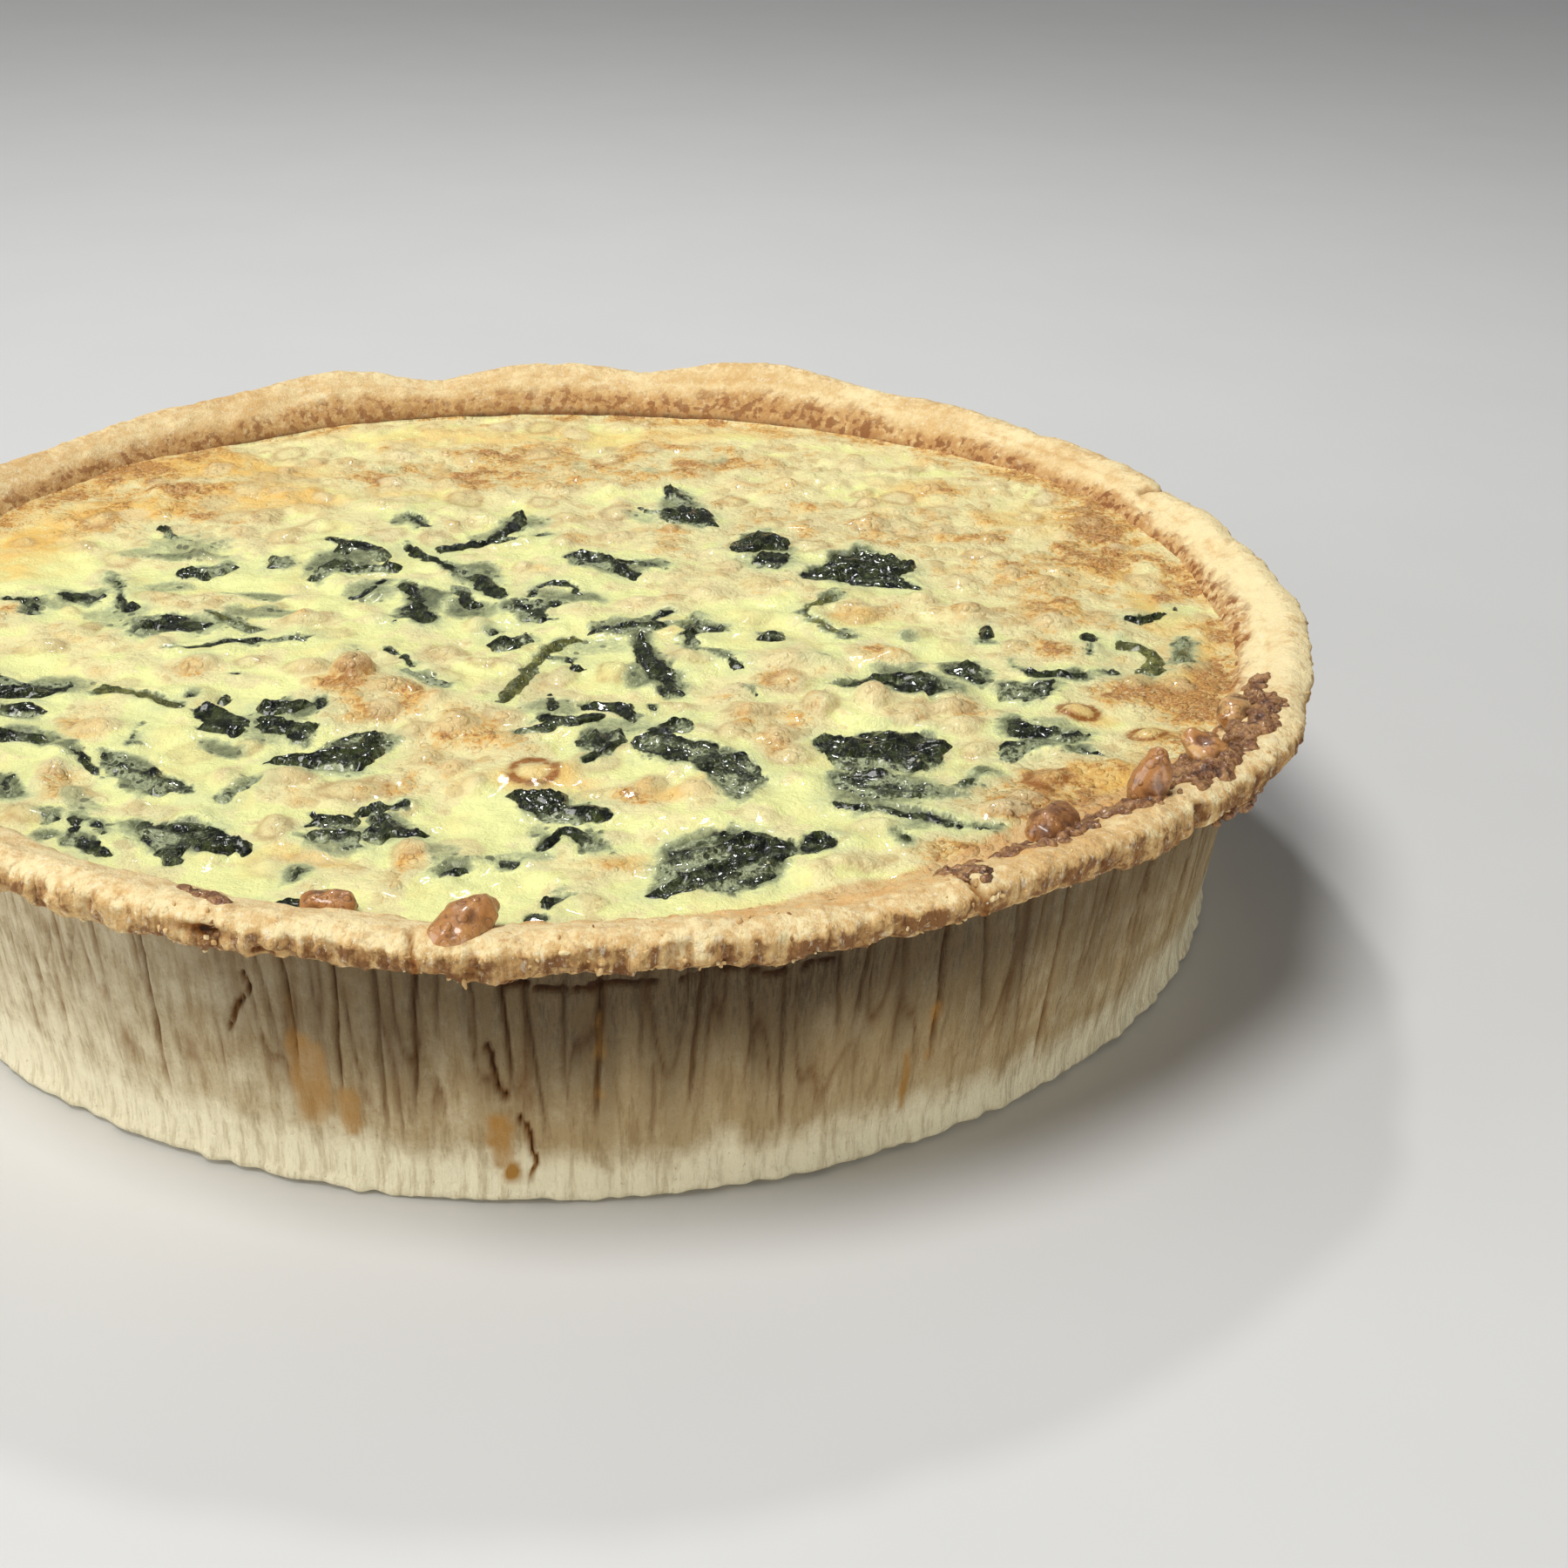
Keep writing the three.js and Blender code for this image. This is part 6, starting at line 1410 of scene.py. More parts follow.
def add_sheet(form, outline, film, seed, crumple=1.0):
    """A crumpled leaf of this outline, lying in the custard's skin."""
    outline = np.array(outline, float)
    low = outline.min(axis=0) - LEAF_SKIRT - 0.2
    high = outline.max(axis=0) + LEAF_SKIRT + 0.2
    columns, rows = np.ceil((high - low) / LEAF_CELL).astype(int)
    sheet = bmesh.new()
    bmesh.ops.create_grid(sheet, x_segments=int(columns), y_segments=int(rows), size=1)
    flat = np.array([corner.co[:2] for corner in sheet.verts])
    points = low + (flat + 1) / 2 * (high - low)
    deep = edge_distance(points, outline)
    middle = outline.mean(axis=0)
    axes = np.linalg.svd(outline - middle)[2]  # along the leaf, then across it
    lying = (points - middle) @ axes.T
    spot = np.column_stack([lying[:, 0] * 0.5, lying[:, 1], np.full(len(points), seed * 3.7)])
    within = ease(deep, -0.2, 1.4)
    fold = crinkle(spot, 2.7, 63) ** 2
    drowned = drowned_side(points) * (1 - ease(deep, 0.2, 2.6))
    rise = 0.22 + 0.55 * (1 - film) * within - 0.9 * np.clip(-deep, 0, 9)
    creased = 0.75 * fold - 0.22 + 0.42 * soft_noise(spot, 2.2, 64) + 0.22 * soft_noise(spot, 0.9, 65)
    rise += within * (crumple * creased + (1 - crumple) * 0.5 * ease(deep, 0, 1.2))
    lip = np.exp(-(((deep - 0.5) / 0.45) ** 2)) * ease(soft_noise(spot, 5, 66), -0.1, 0.5)
    rise += crumple * (0.75 * lip * (1 - drowned) - 0.3 * drowned)
    level = custard_level(points[:, 0], points[:, 1]) + rise
    for corner, place, height in zip(sheet.verts, points, level):
        corner.co = (place[0], place[1], height)
    covered = film * 1.3 - 0.36 + 0.55 * soft_noise(spot, 3.6, 67) + 0.35 * soft_noise(spot, 1.3, 68)
    covered += 0.8 * drowned - 0.6 * np.clip(rise - 0.5, -0.4, 2)
    marks = sheet.verts.layers.float.new("film")
    for corner, value in zip(sheet.verts, covered):
        corner[marks] = float(np.clip(value, 0, 1))
    outside = [corner for corner, d in zip(sheet.verts, deep) if d < -LEAF_SKIRT]
    bmesh.ops.delete(sheet, geom=outside, context="VERTS")
    bmesh.ops.solidify(sheet, geom=sheet.faces, thickness=LEAF_SHEET)
    bmesh.ops.recalc_face_normals(sheet, faces=sheet.faces)
    part = as_mesh(sheet, "sheet")
    form.from_mesh(part)
    bpy.data.meshes.remove(part)


def spinach_mesh(name, *sheets):
    """One piece of sheets, each an outline, a film share, a seed and how crumpled it is."""
    form = bmesh.new()
    form.verts.layers.float.new("film")
    for sheet in sheets:
        add_sheet(form, *sheet)
    mesh = as_mesh(form, name)
    place_corners(mesh, corners_of(mesh))
    return mesh


def spinach_material(name, dark, green, veins):
    material, tree = new_tree(name)
    film = kept(tree, "film")
    cloud = speckle(tree, 2.2, 4, 0.65)
    flecks = speckle(tree, 0.55, 3, 0.7)
    wrinkles = speckle(tree, 1.4, 2, 0.5, twist=1.2)
    holes = bubbles(tree, 1.3, 0.36, 0.08)
    body = paint(tree, ramp(tree, cloud, 0.4, 0.68), dark, green)
    body = paint(tree, ramp(tree, wrinkles, 0.56, 0.7, 0, veins), body, green)
    share = plus(
        tree,
        film,
        swing(tree, cloud, 1.1),
        swing(tree, flecks, 0.6),
        swing(tree, wrinkles, -0.7),
    )
    share = times(tree, ramp(tree, share, 0.15, 0.95), ramp(tree, holes["Disc"], 0, 1, 1, 0.4))
    milky = ramp(tree, plus(tree, share, swing(tree, flecks, 0.8)), 0.72, 1.12)
    coating = paint(tree, milky, LEAF_FILM, LEAF_MILKY)
    colour = paint(tree, share, body, coating)
    dots = times(tree, ramp(tree, speckle(tree, 1.0, 2, 0.6), 0.68, 0.73), ramp(tree, film, 0.05, 0.4))
    colour = paint(tree, times(tree, dots, 0.8), colour, LEAF_DOTS)
    height = plus(tree, times(tree, wrinkles, 1.3), times(tree, speckle(tree, 0.55, 1), 0.35))
    shade(
        tree,
        colour,
        ramp(tree, plus(tree, share, cloud), 0.3, 1.3, 0.07, 0.32),
        height,
        0.7,
        Specular_IOR_Level=0.22,
        Coat_Weight=0.5,
        Coat_Roughness=0.06,
    )
    return material


def add_spinach(node, sheet, skin, slot):
    """Wilted spinach in place of one of the CAD's nodes."""
    name = node + "_wilted"
    finish_piece(name, spinach_mesh(name, sheet), skin, slot, node)


leaf_skin = spinach_material("wet_spinach_leaf", LEAF_BLACK, LEAF_GREEN, 0.4)
stem_skin = spinach_material("wet_spinach_stem", STEM_DARK, STEM_OLIVE, 0.6)

for index, (film, outline) in enumerate(LEAVES):
    add_spinach(f"spinach_leaf_{index + 1:02d}", (outline, film, index), leaf_skin, "spinach")
for index, (film, width, run) in enumerate(STEMS):
    sheet = (strip_outline(width, smooth_run(run)), film, STEM_SEEDS + index, STEM_CRUMPLE)
    add_spinach(f"spinach_stem_{index + 1}", sheet, stem_skin, "stem")

scraps = [(outline, film, SCRAP_SEEDS + index) for index, (film, outline) in enumerate(SCRAPS)]
strips = [
    (strip_outline(width, run), film, STRIP_SEEDS + index, STRIP_CRUMPLE)
    for index, (film, width, run) in enumerate(STRIPS)
]
finish_piece("spinach_scraps", spinach_mesh("spinach_scraps", *scraps, *strips), leaf_skin, "spinach")

# ---- Custard --------------------------------------------------------------------------------
# Egg custard baked in the case: pale lemon and smooth where it is thick, puffed and browned to tan
# and orange where it rose, cloudy green round the spinach, and lumpy with the pine nuts in it.

CASE_INSIDE = np.array(
    [(109.3, 6.0), (112.8, 8.5), (118.5, 40.0), (119.3, 45.0), (121.6, 48.4), (125.4, 50.8)]
)
CUSTARD_GAP = 0.3
CUSTARD_LAP = 0.9  # the skin runs up against the crumbly pastry and closes the gap
CUSTARD_CELLS = 304
CUSTARD_FLOOR = 6.3
CUSTARD_SIDES = (45.0, 40.0, 8.6, CUSTARD_FLOOR)  # heights where its hidden side bends

# Pine nuts: x, y, length, width, turn, and how high the middle lies over the skin.
NUTS = [
    (-5.5, -72.6, 9, 7, 90, -2.1), (-33, -76, 12, 8, 0, -2), (-43.2, -71.3, 9, 6, 10, -1),
    (-22.5, -65, 7, 5, 60, -0.9), (-17.5, -69, 6, 5, 30, -0.9), (-14.5, -76, 7, 4.5, 90, -0.8),
    (-79, -67.5, 7, 5.5, 85, -0.9), (-74.5, -76, 6.5, 5, 20, -0.9), (-43.2, -89.2, 8, 5, 80, -0.9),
    (-23, -97, 6.5, 6, 30, -1), (40, -106, 11, 5, 12, -1), (44.5, -94.5, 8, 5.5, 0, -1.1),
    (65, -89, 10, 6.5, 0, -0.9), (61, -98, 9, 5, 15, -1.1), (50.5, -46.6, 9, 6.5, 80, 1.3),
    (41.5, -48, 9, 6, 95, 0.2), (56, -52.3, 9, 6, 60, -0.4), (63, -49.5, 9, 6, 10, -0.8),
    (64, -56.5, 8, 6, 30, -0.9), (84.5, -51, 7, 5.5, 0, -1), (94, -60, 6.5, 5, 20, -0.9),
    (74, -77, 8, 6, 40, -1.1), (69, -84.5, 6.5, 5, 0, -0.9), (30, -50, 9, 6, 20, -1),
    (34, -59, 9, 6, 70, -1), (17, -47.5, 8, 5.5, 10, -1), (12, -78, 8, 5.5, 60, -0.9),
    (-18, -54, 9, 6, 30, -1), (-22, -44, 8, 5.5, 80, -1), (-30, -47.5, 8, 5.5, 70, -0.8),
    (-36, -32, 10, 7.5, 85, 0.2), (-43.5, -30, 9, 6, 15, -0.9), (-30, -38.5, 8, 5.5, 20, -0.8),
    (-62, -29, 8, 6, 30, -0.9), (-75, -53, 10, 6.5, 5, -1.3), (-98, -47, 8, 6, 70, -0.9),
    (-95, -60.5, 8, 6, 40, -1), (-80, -83, 7, 5, -45, -0.9), (53.5, -8, 9, 6, 60, -0.9),
    (61, -17, 8, 6, 20, -1), (34, -8, 8, 5.5, 40, -1), (38, -30, 9, 6, 0, -1), (27, -40, 8, 5.5, 60, -1),
    (7.6, -31, 8, 5.5, 80, -1), (-21, -22.5, 8, 6, 20, -1), (-46, -8, 9, 6, 0, -1),
    (-16, -9.5, 7, 5, 70, -0.9), (12.5, -1.5, 7.5, 5.5, 10, -1), (26, 2, 8, 6, 30, -1),
    (36, 7, 8, 6, 0, -1.1), (-54, -2, 8, 5.5, 30, -1), (-90, -20, 9, 6, 10, -1),
    (-104, -14, 7, 5.5, 80, -1), (73, -9, 8, 6, 50, -1.1), (87, -13, 8, 5.5, 0, -1),
    (57, -28, 8, 6, 10, -1), (90, 6, 8, 6, 60, -1.1), (80, 22, 8, 6, 20, -1.1), (60, 40, 8, 6, 20, -1.1),
    (10, 36, 8, 6, 30, -1.1), (-2, 64, 9, 6, 0, -1.1), (-50, 50, 8, 6, 0, -1.1),
    (-92, 30, 8, 6, 80, -1.1), (46, 66, 8, 6, -30, -1.1),
]
MORE_NUTS = 165  # those that barely lift the skin
SMALL_PUFFS = 1500
# Nuts with a dark brown ring round them.
RINGED_NUTS = [(-5.5, -72.6), (84.5, -51), (94, -60), (74, -77)]

# Browned skin: x, y, half length along x and along y, strength.
BROWNED = [
    (90, -5, 26, 42, 0.55), (-32, -38, 13, 15, 0.75), (-18, -60, 14, 17, 0.7), (-25, -75, 12, 8, 0.55),
    (14, -80, 12, 9, 0.6), (34, -60, 6, 12, 0.5), (30, -50, 10, 8, 0.4), (-75, -75, 9, 9, 0.55),
    (-62, -80, 8, 5, 0.45), (-63, -30, 7, 6, 0.45), (-85, -12, 6, 9, 0.35), (-78, -48, 6, 5, 0.5),
    (-45, -100, 6, 4, 0.4), (-35, -100, 6, 4, 0.35), (-22, -100, 5, 6, 0.5), (5, -103, 8, 4, 0.5),
    (7, -95, 4, 4, 0.6), (19, -25, 4, 8, 0.6), (22, 25, 7, 6, 0.45), (16, 35, 7, 6, 0.45),
    (52, -8, 9, 6, 0.55), (30, 45, 40, 20, 0.5), (0, 78, 70, 20, 0.72), (-80, 62, 26, 30, 0.7),
    (55, -25, 7, 5, 0.4), (57, -52, 5, 5, 0.5), (35, -38, 7, 6, 0.5), (76, -82, 22, 22, 0.7),
    (55, -102, 8, 6, 0.6), (102, -42, 16, 22, 0.9), (70, 40, 30, 30, 0.45), (30, 0, 14, 10, 0.25),
    (62, -50, 10, 8, 0.35), (-8, -40, 8, 8, 0.35), (-100, 2, 10, 14, 0.25), (-20, 8, 30, 12, 0.12),
    (103, 26, 12, 26, 0.9), (92, -42, 14, 7, 0.7), (84, 8, 14, 14, 0.5),
]
# Places where the skin stayed clear lemon.
CLEAR = [
    (-62, -58, 9, 6), (-47, -105, 11, 5), (-10, -108, 13, 6), (35, -85, 9, 9), (45, -97, 10, 5),
    (-45, -85, 9, 5), (-15, -90, 7, 8), (5, -35, 8, 6), (35, -5, 10, 8), (-50, -2, 12, 5),
    (-88, -28, 9, 6), (-98, 15, 11, 13), (60, -72, 6, 6), (-85, 53, 4, 7), (15, 60, 9, 6),
    (105, -6, 5, 6), (28, -70, 6, 8), (-60, 8, 14, 6),
]
# Leaf that lies under the skin and shows through it: x, y, half length, half width, turn, strength.
SUBMERGED = [
    (-44, -50, 6, 4, 10, 0.75), (-55, -59, 5, 4.5, -30, 0.7), (12.6, -34, 8, 3.4, 90, 0.7),
    (-70, 30, 10, 8, 0, 0.5), (-80, 26, 6, 5, 0, 0.45), (-15, 34, 6, 5, 90, 0.55),
    (-57, 4.5, 10, 2.4, -8, 0.65), (-72, 8, 6, 3, 0, 0.5), (38, 27, 4, 4, 0, 0.6),
    (47, 0, 4, 2.5, 90, 0.5), (56, -33, 8, 3, 20, 0.7), (53, -92, 5, 4, 0, 0.6), (-4, -93, 4, 5, 0, 0.5),
    (-17, -98, 3, 5, 0, 0.5), (-8, -100, 8, 2, 0, 0.45), (-52, -93, 5, 2.4, -30, 0.5),
    (-36, -93, 5, 3, 0, 0.6), (-3, -85, 5, 4, 0, 0.6), (33, 79, 4, 5, 0, 0.35), (19, 77, 3, 5, 0, 0.35),
    (-36, 79, 4, 6, 0, 0.35), (2, 81, 3, 4, 0, 0.3), (-4, 100, 4, 4, 0, 0.3), (78, -42, 6, 5, 0, 0.6),
    (-35, -88, 5, 3, 0, 0.5), (-41, 21, 8, 8, 0, 0.75), (-25, 1, 6, 8, 0, 0.8),
    (-15, 13, 7, 6, -50, 0.75), (-2, 0.5, 7, 6, 0, 0.7), (8, 18, 8, 6, -50, 0.7), (25, 52, 7, 8, 0, 0.65),
    (-10, 42, 6, 9, 0, 0.65), (-17, -3.5, 5, 6, 0, 0.7), (-34, 5.5, 6, 5, -60, 0.6),
    (-31, 42, 4, 5, 0, 0.65), (36, 22, 8, 8, 0, 0.4), (57, 16, 11, 9, 0, 0.4), (-70, 24, 12, 5, 0, 0.7),
    (-54, -3, 10, 3.4, -8, 0.6), (-63, -12, 9, 5, 0, 0.55), (14, 47, 5, 3, 0, 0.4),
    (-80, -4, 6, 7, 0, 0.45), (-92, 2, 8, 4, 0, 0.45), (6, -20, 10, 4, 0, 0.4), (48, -79, 10, 9, 0, 0.7),
    (-85, -37, 9, 4, 0, 0.6), (-70, -78, 6, 4, -40, 0.45), (-59, -90, 9, 5, -30, 0.6),
    (-4, -49, 7, 5, 0, 0.55), (8, -54, 8, 5, 0, 0.5), (18, -66, 9, 6, -40, 0.5),
    (22, -104, 11, 8, 0, 0.6), (78, -58, 7, 5, -30, 0.5), (55, -40, 12, 5, 0, 0.6),
    (-36, -64, 8, 4, 20, 0.45), (-49, -52, 9, 5, -20, 0.5), (68, -35, 6, 5, 0, 0.5),
]

# Smooth golden patches of skin: x, y, half length along x and along y, strength.
GOLDEN = [
    (86, -78, 9, 6, 1.0), (76, -78, 8, 3, 0.7), (107, -42, 6, 8, 0.9), (108, -12, 5, 10, 0.7),
    (104, 12, 7, 8, 0.6), (-88, 50, 14, 9, 0.9), (-105, 22, 8, 9, 0.8), (92, 42, 12, 10, 0.6),
    (18, -14, 5, 5, 0.6), (-82, -38, 5, 4, 0.8), (20, -80, 8, 5, 0.7), (-2, -78, 6, 4, 0.6),
    (72, 60, 14, 8, 0.5), (-30, 62, 14, 5, 0.5), (-40, -98, 7, 3, 0.7), (10, -103, 8, 3, 0.7),
    (108, -27, 5, 8, 1.0), (106, -3, 5, 8, 0.9), (-100, 36, 12, 14, 1.0), (-70, 78, 26, 10, 1.0),
    (0, 101, 58, 9, 0.6), (-76, -54, 6, 4, 0.6), (-96, -55, 6, 4, 0.6), (52, -10, 9, 4, 0.8),
    (-58, 58, 17, 10, 0.9), (-5.5, -72.6, 6, 6, 1.0), (84.5, -51, 5, 5, 0.8), (94, -60, 5, 5, 0.8),
]
# How brown the skin is along its outer edge: bearing, strength.
EDGE_BROWN = [
    (-180, 0.5), (-150, 0.3), (-125, 0.0), (-64, 0.0), (-44, 0.5), (-20, 0.9), (30, 1.0), (70, 0.8),
    (100, 0.7), (150, 0.8), (180, 0.5),
]
# Where the skin ran over the pastry at the front: bearing and the distance at which that begins.
RUN_OVER = [
    (-104, 130), (-96, 124), (-93, 124), (-90, 122), (-87.5, 120.6), (-82, 120), (-76, 119.8),
    (-72.5, 119), (-69, 117.8), (-62, 117.8), (-57, 116.2), (-54, 115.4), (-50, 116.8), (-42, 117),
    (-36, 118), (-30, 124),
]

LEMON = (0.98, 0.98, 0.42, 1)
YELLOW_CUSTARD = (0.97, 0.82, 0.31, 1)
CREAM_SKIN = (0.96, 0.87, 0.43, 1)
TAN_SKIN = (0.89, 0.78, 0.40, 1)
GOLD_SKIN = (0.95, 0.58, 0.135, 1)
ORANGE_SKIN = (0.83, 0.46, 0.10, 1)
RED_SKIN = (0.42, 0.17, 0.05, 1)
GREEN_CUSTARD = (0.60, 0.66, 0.36, 1)
GREY_GREEN = (0.125, 0.145, 0.07, 1)
PALE_SEEN_NUT = (0.90, 0.76, 0.42, 1)
TAN_SEEN_NUT = (0.73, 0.55, 0.235, 1)
NUT_RING = (0.37, 0.14, 0.02, 1)
DARK_PIT = (0.05, 0.06, 0.03, 1)


def inside_radius(height):
    return np.interp(height, CASE_INSIDE[:, 1], CASE_INSIDE[:, 0])


def oval_share(x, y, at_x, at_y, half_length, half_width, turn=0.0):
    """0 at an oval's middle, 1 on its edge."""
    angle = math.radians(turn)
    along = (x - at_x) * math.cos(angle) + (y - at_y) * math.sin(angle)
    across = (y - at_y) * math.cos(angle) - (x - at_x) * math.sin(angle)
    return np.hypot(along / half_length, across / half_width)


def oval_cover(places, ovals, low, high):
    """How strongly ovals cover each place: an oval's last number is its strength, and it fades out
    between two shares of its size."""
    cover = np.zeros(len(places))
    for *oval, much in ovals:
        share = oval_share(places[:, 0], places[:, 1], *oval)
        cover = np.maximum(cover, much * (1 - ease(share, low, high)))
    return cover


def all_nuts():
    """The nuts above, and seeded ones that barely lift the skin, clear of the spinach."""
    rng = np.random.default_rng(23)
    nuts = list(NUTS)
    outlines = [outline for film, outline in LEAVES]
    while len(nuts) < len(NUTS) + MORE_NUTS:
        radius = (FILLING_RADIUS - 5) * math.sqrt(rng.uniform(0, 1))
        angle = rng.uniform(0, 2 * math.pi)
        x, y = radius * math.cos(angle), radius * math.sin(angle)
        spot = np.array([[x, y]])
        if any(math.hypot(x - nut[0], y - nut[1]) < 6.6 for nut in nuts):
            continue
        if any(oval_share(x, y, *oval) < 0.7 for oval in CLEAR):
            continue
        if any(inside_distance(spot, outline)[0] > -3 for outline in outlines):
            continue
        length = rng.uniform(5, 9.5)
        width = length * rng.uniform(0.62, 0.85)
        proud = rng.uniform(0.25, 1.1)
        nuts.append((x, y, length, width, rng.uniform(0, 180), proud - width * NUT_FLATNESS / 2))
    return nuts


def small_puffs():
    """Blisters in the skin: x, y, radius and height."""
    rng = np.random.default_rng(29)
    puffs = []
    for _ in range(SMALL_PUFFS):
        radius = (FILLING_RADIUS - 3) * math.sqrt(rng.uniform(0, 1))
        angle = rng.uniform(0, 2 * math.pi)
        x, y = radius * math.cos(angle), radius * math.sin(angle)
        size = rng.choice([1.1, 1.6, 2.2, 3.0])
        puffs.append((x, y, size, size * rng.uniform(0.06, 0.2)))
    return puffs


def bent_round(square):
    """Bends a square of places into a disc: their bearings, and their shares of its radius."""
    a, b = square.T
    wide = np.abs(a) >= np.abs(b)
    reach = np.where(wide, a, b)
    safe = np.where(reach == 0, 1, reach)
    angle = np.where(wide, math.pi / 4 * b / safe, math.pi / 2 - math.pi / 4 * a / safe)
    bearing = np.degrees(np.arctan2(reach * np.sin(angle), reach * np.cos(angle)))
    return bearing, np.abs(reach)


def spinach_distance(spot):
    """Distance inside the torn edge of the nearest spinach."""
    x, y = spot[:, 0], spot[:, 1]
    near = np.full(len(spot), -30.0)
    sheets = [outline for film, outline in LEAVES + SCRAPS]
    sheets += [strip_outline(width, smooth_run(run)) for film, width, run in STEMS]
    sheets += [strip_outline(width, run) for film, width, run in STRIPS]
    for outline in sheets:
        outline = np.array(outline, float)
        low, high = outline.min(axis=0) - 8, outline.max(axis=0) + 8
        close = (x > low[0]) & (x < high[0]) & (y > low[1]) & (y < high[1])
        near[close] = np.maximum(near[close], edge_distance(spot[close, :2], outline))
    return near


def blistered(spot):
    """How high the skin is puffed up, in broad waves and small round blisters."""
    x, y = spot[:, 0], spot[:, 1]
    puff = 0.45 * soft_noise(spot, 9, 71) + 0.3 * soft_noise(spot, 4.2, 72)
    puff += 0.13 * soft_noise(spot, 1.9, 73)
    for at_x, at_y, size, high in small_puffs():
        close = (np.abs(x - at_x) < size) & (np.abs(y - at_y) < size)
        share = ((x[close] - at_x) ** 2 + (y[close] - at_y) ** 2) / size**2
        puff[close] += high * np.sqrt(np.clip(1 - share, 0, 1))
    return puff


def seen_nuts(spot):
    """How high the nuts lift the skin, how clearly each shows, how brown it is, and its ring."""
    x, y = spot[:, 0], spot[:, 1]
    rise, clear, tone, ring = np.zeros((4, len(spot)))
    for index, (at_x, at_y, length, width, turn, lift) in enumerate(all_nuts()):
        close = np.hypot(x - at_x, y - at_y) < length
        share = oval_share(x[close], y[close], at_x, at_y, length / 2, width / 2, turn)
        share += 0.07 * soft_noise(spot[close], 2.2, 74)
        proud = lift + width * NUT_FLATNESS / 2  # how far its top stands over the skin
        dome = lift + width * NUT_FLATNESS / 2 * np.sqrt(np.clip(1 - share**2, 0, 1))
        skirt = max(proud, 0) * np.exp(-((share / 0.8) ** 2)) * (0.65 if lift < 0 else 0.2)
        rise[close] = np.maximum(rise[close], np.maximum(dome, skirt))
        ringed = any(math.hypot(at_x - rx, at_y - ry) < 0.6 for rx, ry in RINGED_NUTS)
        clearness = 0.2 if ringed else 0.4 + 0.6 * ((index * 7) % 5) / 4
        clear[close] = np.maximum(clear[close], clearness * (1 - ease(share, 0.85, 1.0)))
        tone[close] = np.where(share < 1.1, ((index * 11) % 6) / 5 if lift < 0 else 0.0, tone[close])
        strength = 1.5 if ringed else 0.5 * ((index * 13) % 7) / 6
        ring[close] = np.maximum(ring[close], strength * np.exp(-(((share - 0.92) / 0.22) ** 2)))
    return rise, clear, tone, ring


